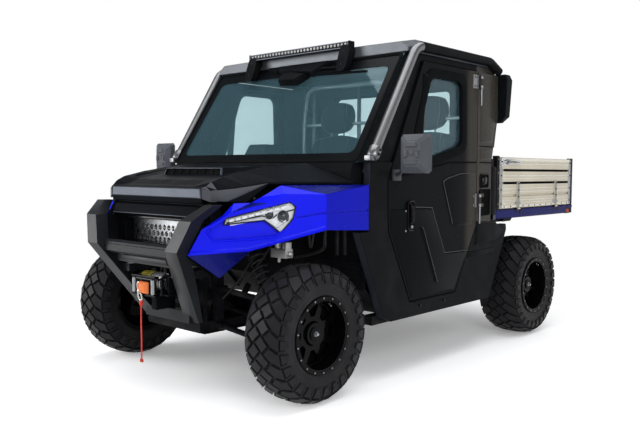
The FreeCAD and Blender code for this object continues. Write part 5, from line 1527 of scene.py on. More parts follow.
@dataclass
class FrontTrim:
    """Brow, cheeks, grille rim, radiator core and the guard's ribs."""

    mesh_half: float = 0.318
    mesh_low: float = 0.758
    mesh_high: float = 0.884
    core_half: float = 0.276
    core_fins: int = 48
    core_tubes: int = 6

    def build(self) -> None:
        """Build all trim of the front panel and the guard."""
        self.brow()
        self.radiator()
        self.guard()

    def brow(self) -> None:
        """Fold the brow over the grille with a painted highlight along its edge, close the cheeks
        and rim the opening.
        """
        face = front_plane(-1.56)
        shape = bmesh.new()
        rings = []
        for x, drop, reach in (
                (-0.408, 0.028, 0.018), (-0.352, 0.0, 0.046), (-0.3, 0.0, 0.048),
                (0.3, 0.0, 0.048), (0.352, 0.0, 0.046), (0.408, 0.028, 0.018)):
            rings.append(
                [Vector((x, y, z)) for y, z in (
                     (-1.545, 0.974), (-1.56 - reach * 0.55, 0.96 - drop * 0.3),
                     (-1.56 - reach, 0.922 - drop), (-1.56 - reach, 0.91 - drop),
                     (-1.545, 0.886 - drop))])
        loft(shape, rings)
        new_object("fascia_brow", shape, FINISH.hood, "chassis", 25)
        # A bright line along the brow's lower edge: a painted highlight.
        edge = bmesh.new()
        tube(edge, ((-0.4, -1.579, 0.886), (-0.35, -1.6065, 0.9125), (0.35, -1.6065, 0.9125),
                    (0.4, -1.579, 0.886)), 0.003, 8)
        new_object("brow_painted_highlight", edge, FINISH.silver_trim_and_painted_highlight, "chassis", 60)
        cheeks = bmesh.new()
        outline = ((-1.5, 0.985), (-1.562, 0.985), (-1.6, 0.94), (-1.684, 0.76), (-1.684, 0.735),
                   (-1.535, 0.625), (-1.5, 0.625))
        for side in (1, -1):
            loft(cheeks, [[Vector((side * x, y, z)) for y, z in outline] for x in (0.3785, 0.383)])
        new_object("fascia_cheeks", cheeks, FINISH.plastic, "chassis", 30)
        rim = bmesh.new()
        half = self.mesh_half
        outer = ((-half + 0.006, self.mesh_low - 0.002), (half - 0.006, self.mesh_low - 0.002),
                 (half + 0.002, self.mesh_high + 0.002), (-half - 0.002, self.mesh_high + 0.002))
        frame_band(rim, face, turned_line(outer, -0.012, True), turned_line(outer, 0.004, True),
                   -0.004, 0.004, 0.002)
        new_object("grille_rim", rim, FINISH.plastic_gloss, "chassis")

    def radiator(self) -> None:
        """Stand the finned core behind the grille mesh."""
        core = bmesh.new()
        block(core, (-0.345, -1.484, 0.735), (0.345, -1.466, 0.905), 0.002)
        for side in (-1, 1):
            block(core, (side * 0.338 - 0.006, -1.495, 0.735),
                  (side * 0.338 + 0.006, -1.47, 0.905), 0.002)
        new_object("radiator_core", core, FINISH.casting, "chassis")
        fins = bmesh.new()
        face = front_plane(-1.484)
        for index in range(self.core_fins):
            u = -self.core_half + index * 2 * self.core_half / (self.core_fins - 1)
            band(fins, face, ((u, 0.758), (u, 0.882)), 0.004, 0.0022, 0.005)
        for index in range(self.core_tubes):
            v = 0.764 + index * 0.0225
            band(fins, face, ((-0.28, v), (0.28, v)), 0.005, 0.004, 0.0062)
        new_object("radiator_fins", fins, FINISH.alloy, "chassis")

    def guard(self) -> None:
        """Rib the guard's cross bars."""
        ribs = bmesh.new()
        face = front_plane(-1.652)
        panel(ribs, face, ((-0.21, 0.664), (0.21, 0.664), (0.19, 0.696), (-0.19, 0.696)), 0.005,
              0.004)
        loft(ribs, [[Vector((side * wide, y, z)) for side in (-1, 1)]
                    + [Vector((side * wide, y + 0.012, z - 0.004)) for side in (1, -1)]
                    for wide, y, z in (
                        (0.296, -1.69, 0.706), (0.3, -1.7045, 0.716), (0.312, -1.7045, 0.75),
                        (0.322, -1.668, 0.772))])
        new_object("guard_bar_ribs", ribs, FINISH.guard, "chassis")


@dataclass
class Winch:
    """Wound drum, motor, rollers, stopper and clip of the winch."""

    axis: tuple[float, float] = (-1.555, 0.556)
    turns: int = 14
    turn_pitch: float = 0.0064
    rope_radius: float = 0.0036
    wound_radius: float = 0.0465
    strap_line: tuple[Point, ...] = (
        (-0.044, -1.642, 0.4667), (-0.0445, -1.6418, 0.41), (-0.043, -1.6435, 0.33),
        (-0.0435, -1.6405, 0.24), (-0.044, -1.642, 0.142))

    def build(self) -> None:
        """Build the winch's visible pieces and the hanging strap."""
        y, z = self.axis
        for name, finish, start in (
                ("yellow_turns", FINISH.rope, 0), ("black_turns", FINISH.rubber, 1)):
            turns = bmesh.new()
            for index in range(start, self.turns, 2):
                x = -0.116 + index * self.turn_pitch
                rope = [(x + self.rope_radius * math.cos(t),
                         self.wound_radius + self.rope_radius * math.sin(t)) for t in angles(8)]
                lathe(turns, rope, Vector((0, y, z)), 28)
            new_object(f"winch_{name}", turns, finish, "chassis", 50)
        motor = bmesh.new()
        profile = [(-0.026, 0.03), (-0.026, 0.047), (-0.022, 0.05)]
        for index in range(5):
            x = -0.014 + index * 0.014
            profile += [(x, 0.05), (x + 0.002, 0.046), (x + 0.006, 0.046), (x + 0.008, 0.05)]
        profile += [(0.06, 0.05), (0.064, 0.044), (0.064, 0.03)]
        lathe(motor, profile, Vector((0, y, z)), 40)
        new_object("winch_motor", motor, FINISH.alloy, "chassis", 30)
        case = bmesh.new()
        spun(case, ((0.062, 0.046), (0.07, 0.05), (0.112, 0.05), (0.12, 0.044), (0.122, 0.02),
                    (0.122, 0.0)), Vector((0, y, z)), Vector((1, 0, 0)), 36)
        spun(case, ((0.118, 0.05), (0.124, 0.052), (0.142, 0.05), (0.146, 0.04), (0.147, 0.0)),
             Vector((0, y, z)), Vector((-1, 0, 0)), 36)
        new_object("winch_gear_case", case, FINISH.plastic_gloss, "chassis", 35)
        self.fairlead()
        self.hook()
        self.strap()

    def fairlead(self) -> None:
        """Stand the rollers and their bracket ahead of the drum."""
        rollers = bmesh.new()
        for x in (-0.112, 0.052):
            spun(rollers, ((0.0, 0.0), (0.0, 0.009), (0.004, 0.0125), (0.076, 0.0125),
                           (0.08, 0.009), (0.08, 0.0)), Vector((x, -1.634, 0.5)),
                 Vector((0, 0, 1)), 24)
        new_object("winch_rollers", rollers, FINISH.steel, "chassis", 40)
        rollers = bmesh.new()
        for z in (0.504, 0.574):
            spun(rollers, ((0.0, 0.0), (0.0, 0.007), (0.003, 0.01), (0.14, 0.01), (0.143, 0.007),
                           (0.143, 0.0)), Vector((-0.101, -1.626, z)), Vector((1, 0, 0)), 24)
        new_object("winch_cross_rollers", rollers, FINISH.plastic_gloss, "chassis", 40)
        bracket = bmesh.new()
        tube(bracket, ((0.066, -1.612, 0.505), (0.104, -1.618, 0.505), (0.104, -1.618, 0.58),
                       (0.066, -1.612, 0.58)), 0.006, 10, 0.012)
        for z in (0.492, 0.588):
            block(bracket, (-0.132, -1.64, z - 0.005), (0.074, -1.612, z + 0.005), 0.002)
        new_object("winch_bracket", bracket, FINISH.plastic_gloss, "chassis", 40)

    def hook(self) -> None:
        """Face the stopper block and hang the clip from it."""
        stop = bmesh.new()
        outline = rounded(rect(-0.048, 0.504, 0.036, 0.566), 0.01, 4)
        panel(stop, front_plane(-1.65), outline, 0.006, 0.01)
        panel(stop, front_plane(-1.66), rounded(rect(-0.034, 0.514, 0.022, 0.556), 0.008, 4),
              0.004, 0.004)
        new_object("winch_stopper", stop, FINISH.orange, "chassis", 35)
        clip = bmesh.new()
        ring = [Vector((-0.046 + 0.017 * math.cos(t), -1.65 - 0.004 * math.sin(t),
                        0.534 + 0.026 * math.sin(t)))
                for t in (2 * math.pi * k / 24 for k in range(25))]
        tube(clip, ring, 0.0052, 10)
        hook = [(-0.046, -1.652, 0.512), (-0.058, -1.65, 0.5), (-0.061, -1.647, 0.482),
                (-0.052, -1.644, 0.466), (-0.038, -1.644, 0.464), (-0.029, -1.646, 0.476),
                (-0.03, -1.649, 0.494), (-0.038, -1.652, 0.506)]
        tube(clip, hook, 0.0056, 10, 0.008)
        spun(clip, ((-0.006, 0.009), (0.006, 0.009), (0.008, 0.006), (0.008, 0.0)),
             Vector((-0.046, -1.654, 0.512)), Vector((0, -1, 0)), 16)
        new_object("winch_clip", clip, FINISH.hook, "chassis", 50)

    def strap(self) -> None:
        """Hang the flat webbing strap from the clip."""
        line = bpy.data.curves.new("pull_strap", "CURVE")
        line.dimensions = "3D"
        line.resolution_u = 10
        line.twist_mode = "MINIMUM"
        spline = line.splines.new("NURBS")
        spline.points.add(len(self.strap_line) - 1)
        for point, place in zip(spline.points, self.strap_line):
            point.co = (*place, 1.0)
        spline.order_u = 3
        spline.use_endpoint_u = True
        line.extrude = 0.0115
        line.bevel_depth = 0.0015
        line.bevel_resolution = 2
        line.materials.append(FINISH.webbing.material())
        made = bpy.data.objects.new("pull_strap", line)
        bpy.context.scene.collection.objects.link(made)
        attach(made, "chassis")
        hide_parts("hook_strap")
        loop = bmesh.new()
        for z, high in ((0.452, 0.03), (0.1435, 0.016)):
            block(loop, (-0.0565, -1.6455, z - high / 2), (-0.0315, -1.6385, z + high / 2), 0.0018)
        sewn = new_object("strap_ends", loop, FINISH.webbing, "chassis", 35)


# ---------------------------------------------------------------- doors
@dataclass
class Door:
    """Pressed relief, handle, window seal and hinge pins of one cab door.

    Args:
        side: 1 on the left, -1 on the right.
    """

    side: int
    face_x: float = 0.82
    window: Line = ((-0.497, 1.122), (0.124, 1.272), (0.109, 1.722), (-0.29, 1.722))
    upper_panel: Line = (
        (-0.029, 0.815), (0.06, 0.806), (0.222, 0.812), (0.252, 0.85), (0.252, 1.141),
        (0.052, 1.134), (-0.097, 1.105), (-0.139, 1.081))
    lower_panel: Line = (
        (-0.436, 0.424), (0.01, 0.424), (0.15, 0.652), (-0.101, 0.652), (-0.241, 0.926),
        (-0.64, 0.936), (-0.643, 0.826))
    rib: Line = ((-0.349, 0.824), (-0.19, 0.494))
    handle: tuple[float, float] = (-0.458, 0.893)

    def __post_init__(self) -> None:
        """Name the body and the working face."""
        self.body = f"{WORD[self.side]}_door"
        self.face = side_plane(self.face_x).on(self.side)

    def piece(self, name: str, shape: bmesh.types.BMesh, finish: Finish | GlassFinish,
              smooth: float = 30.0) -> None:
        """Put a piece on this door."""
        new_object(f"{self.body}_{name}", shape, finish, self.body, smooth)

    def build(self) -> None:
        """Build all trim of the door."""
        self.relief()
        self.seal()
        self.latch()
        self.hinge_pins()

    def relief(self) -> None:
        """Raise the pillowed panels and the rib of the pressing, with painted highlights along
        their edges.
        """
        shape = bmesh.new()
        panel(shape, self.face, self.upper_panel, 0.022, 0.009)
        panel(shape, self.face, self.lower_panel, 0.007, 0.006)
        raised = self.face.lifted(0.006)
        band(shape, raised, self.rib, 0.03, 0.006, 0.01)
        self.piece("relief", shape, FINISH.door)
        crease = bmesh.new()
        band(crease, self.face, ((-0.652, 1.099), (-0.216, 1.172), (-0.06, 1.197), (0.258, 1.2)),
             0.009, 0.006, 0.0012)
        self.piece("belt_groove", crease, FINISH.shadow_gap)
        # Thin lighter strips along the panel and rib edges: painted highlights.
        bright = bmesh.new()
        for line in (
                ((-0.02, 0.824), (-0.128, 1.08), (-0.092, 1.098), (0.052, 1.127), (0.246, 1.134)),
                ((-0.411, 0.94), (-0.246, 0.932), (-0.106, 0.658), (0.16, 0.653))):
            band(bright, self.face, line, 0.006, 0.0022, 0.0072)
        band(bright, raised, ((-0.3525, 0.826), (-0.1935, 0.492)), 0.005, 0.002, 0.0125)
        self.piece("painted_highlight_edges", bright, FINISH.door_painted_highlight)
        edge = bmesh.new()
        band(edge, self.face, ((-0.65, 1.091), (-0.216, 1.163), (-0.06, 1.188), (0.258, 1.191)),
             0.006, 0.002, 0.002)
        self.piece("belt_edge", edge, FINISH.door)

    def seal(self) -> None:
        """Lay the wide black seal round the glass and the division bar of the window, with a
        painted highlight along the bar.
        """
        outer = rounded(turned_line(self.window, -0.012, True), 0.07, 6)
        inner = rounded(turned_line(self.window, 0.04, True), 0.06, 6)
        shape = bmesh.new()
        frame_band(shape, self.face, outer, inner, -0.02, 0.004, 0.003)
        band(shape, self.face, ((-0.372, 1.205), (-0.33, 1.69)), 0.036, 0.026, 0.003, sunk=0.022)
        # A lighter strip along the division bar: a painted highlight.
        edge = bmesh.new()
        band(edge, self.face, ((-0.3515, 1.215), (-0.3095, 1.69)), 0.006, 0.003, 0.0045, sunk=0.02)
        self.piece("window_painted_highlight", edge, FINISH.door_painted_highlight)
        self.piece("window_seal", shape, FINISH.seal, 40)

    def latch(self) -> None:
        """Build the oval pull with its grip, key barrel and screws."""
        y, z = self.handle
        oval = rounded(rect(y - 0.036, z - 0.086, y + 0.036, z + 0.086), 0.036, 8)
        raised = self.face.lifted(0.006)
        rim = bmesh.new()
        frame_band(rim, raised, oval, turned_line(oval, 0.009, True), -0.004, 0.005, 0.002)
        self.piece("handle_rim", rim, FINISH.plastic_gloss, 40)
        dish = bmesh.new()
        inner = turned_line(oval, 0.009, True)
        loft(dish, [[raised.at(u, v, -0.004) for u, v in inner],
                    [raised.at(u, v, 0.0008) for u, v in inner]])
        self.piece("handle_dish", dish, FINISH.shadow_gap)
        grip = bmesh.new()
        tube(grip, [raised.at(y - 0.008, z + 0.064, 0.002), raised.at(y - 0.008, z + 0.052, 0.014),
                    raised.at(y - 0.004, z - 0.03, 0.014), raised.at(y - 0.004, z - 0.042, 0.002)],
             0.011, 12, 0.012)
        self.piece("handle_grip", grip, FINISH.plastic_gloss, 50)
        barrel = bmesh.new()
        spun(barrel, ((-0.001, 0.01), (0.006, 0.01), (0.0075, 0.0085), (0.0075, 0.004),
                      (0.006, 0.0035), (0.006, 0.0005)), raised.at(y + 0.006, z - 0.062),
             raised.out, 24)
        self.piece("key_barrel", barrel, FINISH.steel, 40)
        screws = bmesh.new()
        for u, v in ((y - 0.05, z + 0.028), (y - 0.05, z - 0.082)):
            stud(screws, raised.at(u, v), raised.out, 0.006, 0.004, 16)
        self.piece("handle_screws", screws, FINISH.steel, 40)

    def hinge_pins(self) -> None:
        """Cap the hinge pins and bolt the leaves down."""
        shape = bmesh.new()
        bolts = bmesh.new()
        pin = Vector((self.side * 0.838, 0.275, 0))
        for level in (0.96, 1.7):
            for end, way in ((0.021, 1), (-0.021, -1)):
                spun(shape, ((0.0, 0.0098), (0.018, 0.0098), (0.0215, 0.0066), (0.0225, 0.001)),
                     pin + Vector((0, 0, level + end)), Vector((0, 0, way)), 20)
            panel(shape, self.face, rect(0.198, level - 0.044, 0.262, level + 0.044), 0.003,
                  0.0085)
            for y in (0.215, 0.24):
                for lift in (-0.028, 0.028):
                    stud(bolts, Vector((self.side * 0.828, y, level + lift)), self.face.out,
                         0.0075, 0.0045)
            spun(shape, ((-0.022, 0.006), (-0.14, 0.006), (-0.146, 0.0045)),
                 pin + Vector((0, 0, level)), Vector((0, 0, 1)), 14)
        self.piece("hinge_caps", shape, FINISH.steel, 50)
        self.piece("hinge_bolts", bolts, FINISH.bolt, 30)


@dataclass
class Mirror:
    """Faceted shell and reflecting pane of one wing mirror.

    Args:
        side: 1 on the left, -1 on the right.
    """

    side: int
    centre: Point = (1.055, -0.75, 1.23)

    def build(self) -> None:
        """Press the relief of the shell and set the pane behind."""
        body = f"{WORD[self.side]}_door"
        x, y, z = self.centre
        face = front_plane(y - 0.0385)
        shape = bmesh.new()
        hub = rect(x - 0.016, z - 0.012, x + 0.016, z + 0.02)
        panel(shape, face, mirrored(hub, self.side), 0.006, 0.004)
        for outline in (
                ((x - 0.036, z + 0.03), (x + 0.036, z + 0.03), (x + 0.03, z + 0.062),
                 (x - 0.026, z + 0.062)), (
                    (x + 0.022, z - 0.018), (x + 0.046, z - 0.026), (x + 0.046, z + 0.016),
                    (x + 0.022, z + 0.012)), (
                    (x - 0.046, z - 0.026), (x - 0.022, z - 0.018), (x - 0.022, z + 0.012),
                    (x - 0.046, z + 0.022)), (
                    (x - 0.036, z - 0.058), (x + 0.034, z - 0.058), (x + 0.04, z - 0.036),
                    (x - 0.04, z - 0.036))):
            placed = mirrored(outline, self.side)
            panel(shape, face, placed, 0.006, 0.009)
        new_object(f"{body}_mirror_relief", shape, FINISH.mirror_shell, body, 25)
        pane = bmesh.new()
        back = back_plane(y + 0.0222)
        outline = rounded(
            rect(-x * self.side - 0.07, z - 0.086, -x * self.side + 0.07, z + 0.086), 0.018, 5)
        panel(pane, back, outline, 0.004, 0.002)
        new_object(f"{body}_mirror_pane", pane, FINISH.mirror_glass, body, 25)


# ---------------------------------------------------------------- cab
@dataclass
class Windscreen:
    """Border, seal, lower strip and flanges of the windscreen, and what drives the wiper."""

    foot: tuple[float, float] = (-0.872, 1.1863)
    head: tuple[float, float] = (-0.468, 1.8)
    half: float = 0.7755

    def __post_init__(self) -> None:
        """Lay out the working face of the pane."""
        run = Vector((0, self.head[0] - self.foot[0], self.head[1] - self.foot[1]))
        self.height = run.length
        up = run.normalized()
        self.face = Plane(
            Vector((0, *self.foot)), Vector((1, 0, 0)), up, Vector((1, 0, 0)).cross(up))

    def build(self) -> None:
        """Build the border, the seal, the lower strip, the flanges and the motor cover."""
        half, high = self.half, self.height
        outer = rect(-half, 0.0, half, high)
        inner = ((-half + 0.055, 0.06), (half - 0.055, 0.06), (half - 0.062, high - 0.085),
                 (-half + 0.062, high - 0.085))
        shape = bmesh.new()
        frame_band(shape, self.face, rounded(outer, 0.03, 6), rounded(inner, 0.05, 6), -0.0004,
                   0.0016)
        self._piece("screen_border", shape, FINISH.frit)
        seal = bmesh.new()
        frame_band(seal, self.face, rounded(outer, 0.03, 6),
                   rounded(turned_line(outer, 0.016, True), 0.03, 6), -0.001, 0.006, 0.003)
        self._piece("screen_seal", seal, FINISH.seal)
        strip = bmesh.new()
        band(strip, self.face, ((-half + 0.02, 0.006), (half - 0.02, 0.006)), 0.012, 0.006, 0.0035)
        self._piece("screen_sill", strip, FINISH.silver_trim_and_painted_highlight)
        flanges = bmesh.new()
        for side in (-1, 1):
            loft(flanges, [[Vector((side * x, y + back, z)) for x, back in (
                                (0.768, 0.004), (0.818, 0.018), (0.818, 0.03), (0.768, 0.016))]
                           for y, z in ((-0.872, 1.187), (-0.461, 1.801))])
        self._piece("screen_flanges", flanges, FINISH.seal)
        self.motor()

    def _piece(self, name: str, shape: bmesh.types.BMesh, finish: Finish) -> None:
        """Put a piece on the cab."""
        new_object(name, shape, finish, "chassis", 35)

    def motor(self) -> None:
        """Facet the wiper's motor cover, and hang the blade under its arm."""
        shape = bmesh.new()
        high = self.height
        panel(shape, self.face, (
                  (-0.17, high - 0.062), (0.15, high - 0.105), (0.262, high - 0.02),
                  (0.235, high - 0.004), (-0.19, high - 0.004)), 0.014, 0.034)
        panel(shape, self.face, (
                  (-0.12, high - 0.15), (0.04, high - 0.162), (0.118, high - 0.106),
                  (-0.09, high - 0.076)), 0.012, 0.046)
        panel(shape, self.face, (
                  (-0.285, high - 0.03), (-0.18, high - 0.06), (-0.165, high - 0.006),
                  (-0.27, high - 0.004)), 0.008, 0.026)
        self._piece("wiper_cover", shape, FINISH.plastic)
        blade = bmesh.new()
        band(blade, self.face, ((0.07, high - 0.082), (0.44, high - 0.1)), 0.01, 0.004, 0.016)
        band(blade, self.face, ((0.16, high - 0.094), (0.56, high - 0.108)), 0.014, 0.003, 0.009)
        self._piece("wiper_blade", blade, FINISH.plastic)


@dataclass
class RoofGear:
    """Lamps, fins, ends and feet of the light bar."""

    low: Point = (-0.42, -0.526, 1.857)
    high: Point = (0.42, -0.484, 1.897)
    lamps: int = 30
    fin_count: int = 5

    def build(self) -> None:
        """Build the light bar's details and its feet."""
        self.lens()
        self.fins()
        self.feet()

    def lens(self) -> None:
        """Set the row of lamps into the front of the bar, in a bright rim."""
        face = front_plane(self.low[1])
        cells = bmesh.new()
        for index in range(self.lamps):
            x = self.low[0] + 0.024 + index * (
                self.high[0] - self.low[0] - 0.048) / (self.lamps - 1)
            spun(cells, ((-0.001, 0.0085), (0.0012, 0.0085), (0.0006, 0.006), (0.0003, 0.003),
                         (0.0014, 0.002), (0.0018, 0.0004)), face.at(x, 1.88), face.out, 14)
        new_object("light_bar_cells", cells, FINISH.bolt, "chassis", 30)
        frame = bmesh.new()
        outer = rect(-0.418, 1.859, 0.418, 1.895)
        frame_band(frame, face, rounded(outer, 0.004, 3),
                   rounded(turned_line(outer, 0.005, True), 0.003, 3), -0.001, 0.0035)
        new_object("light_bar_rim", frame, FINISH.silver_trim_and_painted_highlight, "chassis", 30)

    def fins(self) -> None:
        """Run the cooling fins along the back of the bar, and close its ends."""
        shape = bmesh.new()
        for level in range(self.fin_count):
            z = 1.861 + level * 0.0078
            back = back_plane(self.high[1])
            band(shape, back, ((-0.414, z), (0.414, z)), 0.0034, 0.002, 0.01)
        new_object("light_bar_fins", shape, FINISH.plastic, "chassis", 30)
        ends = bmesh.new()
        for side in (-1, 1):
            x = side * 0.42
            block(ends, (min(x, x + side * 0.008), -0.53, 1.853),
                  (max(x, x + side * 0.008), -0.48, 1.899), 0.003)
            for z in (1.865, 1.887):
                stud(ends, Vector((x + side * 0.008, -0.505, z)), Vector((side, 0, 0)), 0.005,
                     0.003)
        new_object("light_bar_ends", ends, FINISH.plastic, "chassis", 30)

    def feet(self) -> None:
        """Clad the bar's two feet with faceted covers that run down over the header."""
        shape = bmesh.new()
        bolts = bmesh.new()
        for side in (-1, 1):
            x = side * 0.395
            loft(shape, [[Vector((x + w, y, z)) for w, y in (
                              (-wide, front), (wide, front), (wide * 0.9, back),
                              (-wide * 0.9, back))] for wide, front, back, z in (
                             (0.02, -0.574, -0.545, 1.722), (0.034, -0.57, -0.532, 1.738),
                             (0.04, -0.552, -0.498, 1.79), (0.038, -0.538, -0.476, 1.836),
                             (0.034, -0.531, -0.476, 1.862), (0.024, -0.529, -0.478, 1.878))])
            for z, y in ((1.765, -0.56), (1.845, -0.5335)):
                stud(bolts, Vector((x, y, z)), Vector((0, -1, 0.25)), 0.007, 0.004)
        new_object("light_bar_feet", shape, FINISH.plastic, "chassis", 30)
        new_object("light_bar_foot_bolts", bolts, FINISH.plastic_gloss, "chassis", 30)


# ---------------------------------------------------------------- bed
GATE_SLOTS = (1.1525, 1.0655)
GATE_BEADS = (1.198, 1.117, 1.099, 1.03, 1.006, 0.948, 0.93)


@dataclass
class SideGate:
    """Boards, corner strips, rivets, latch and hinge straps of one drop side.

    Args:
        side: 1 on the left, -1 on the right.
    """

    side: int
    face_x: float = 0.8
    front: float = 0.602
    rear: float = 1.722
    low: float = 0.896
    high: float = 1.239
    straps: tuple[float, float] = (0.86, 1.46)

    def __post_init__(self) -> None:
        """Name the body and the working face."""
        self.body = f"{WORD[self.side]}_side_gate"
        self.face = side_plane(self.face_x).on(self.side)

    def build(self) -> None:
        """Build all trim of the gate."""
        dress_gate(self.body, self.face, (self.front, self.rear, self.low, self.high), self.straps)
        self.latch()

    def latch(self) -> None:
        """Bolt the sprung over-centre latch to the gate's front top corner."""
        plates = bmesh.new()
        panel(plates, self.face, rect(0.64, 1.186, 0.742, 1.232), 0.002, 0.006)
        panel(plates, self.face, rect(0.604, 1.178, 0.628, 1.236), 0.002, 0.008)
        for v in (1.19, 1.228):
            stud(plates, self.face.at(0.616, v, 0.008), self.face.out, 0.006, 0.004)
        tube(plates,
             [self.face.at(u, v, 0.014) for u, v in ((0.606, 1.209), (0.66, 1.209), (0.7, 1.214))],
             0.0055, 10)
        tube(plates, [self.face.at(u, v, 0.015) for u, v in (
                          (0.69, 1.222), (0.74, 1.222), (0.846, 1.214), (0.874, 1.207),
                          (0.846, 1.2), (0.74, 1.196), (0.69, 1.196))], 0.0065, 10, 0.012)
        new_object(f"{self.body}_latch", plates, FINISH.chrome_trim, self.body, 40)
        spring = bmesh.new()
        turns = [self.face.at(
                     0.668 + 0.0085 * t, 1.209 + 0.0095 * math.sin(t * 2 * math.pi),
                     0.016 + 0.0065 * math.cos(t * 2 * math.pi))
                 for t in (k / 10 for k in range(61))]
        tube(spring, turns, 0.0022, 6)
        new_object(f"{self.body}_latch_spring", spring, FINISH.steel, self.body, 60)


def dress_gate(
        body: str, face: Plane, box: tuple[float, float, float, float],
        straps: tuple[float, ...]) -> None:
    """Board, bead, edge and rivet a gate.

    Args:
        body: Body and first word of each piece's name.
        face: Its outer face.
        box: Near end, far end, foot and top of the face.
        straps: Places of the hinge straps along the face.
    """
    near, far, low, high = box
    dark = bmesh.new()
    for v in GATE_SLOTS:
        band(dark, face, ((near + 0.06, v), (far - 0.05, v)), 0.017, 0.015, 0.0007, sunk=0.006)
    new_object(f"{body}_slots", dark, FINISH.shadow_gap, body)
    lines = bmesh.new()
    for v in GATE_BEADS:
        band(lines, face, ((near + 0.034, v), (far - 0.034, v)), 0.0075, 0.003, 0.0016)
    band(lines, face, ((near, high - 0.012), (far, high - 0.012)), 0.024, 0.019, 0.0032)
    band(lines, face, ((near, low + 0.009), (far, low + 0.009)), 0.018, 0.014, 0.0026)
    new_object(f"{body}_beads", lines, FINISH.gate_trim, body, 25)
    edges = bmesh.new()
    for u in (near + 0.014, far - 0.014):
        band(edges, face, ((u, low), (u, high)), 0.03, 0.026, 0.0038)
    for place in straps:
        band(edges, face, ((place, low + 0.002), (place, low + 0.182)), 0.036, 0.03, 0.0068)
        panel(edges, face, (
                  (place - 0.042, low + 0.022), (place + 0.03, low + 0.022),
                  (place + 0.03, low + 0.036), (place - 0.034, low + 0.04)), 0.003, 0.009)
    new_object(f"{body}_edges", edges, FINISH.steel, body, 25)
    rivets = bmesh.new()
    for u in (near + 0.014, far - 0.014):
        for index in range(4):
            stud(rivets, face.at(u, low + 0.03 + index * 0.095, 0.0036), face.out, 0.0058, 0.0032,
                 12)
    for place in straps:
        for v in (low + 0.075, low + 0.12, low + 0.165):
            stud(rivets, face.at(place, v, 0.0066), face.out, 0.006, 0.004, 6)
    for index in range(12):
        u = near + 0.06 + index * (far - near - 0.12) / 11
        if all(abs(u - place) > 0.05 for place in straps):
            stud(rivets, face.at(u, low + 0.009, 0.0024), face.out, 0.0048, 0.003, 12)
    new_object(f"{body}_rivets", rivets, FINISH.dark_steel, body, 40)


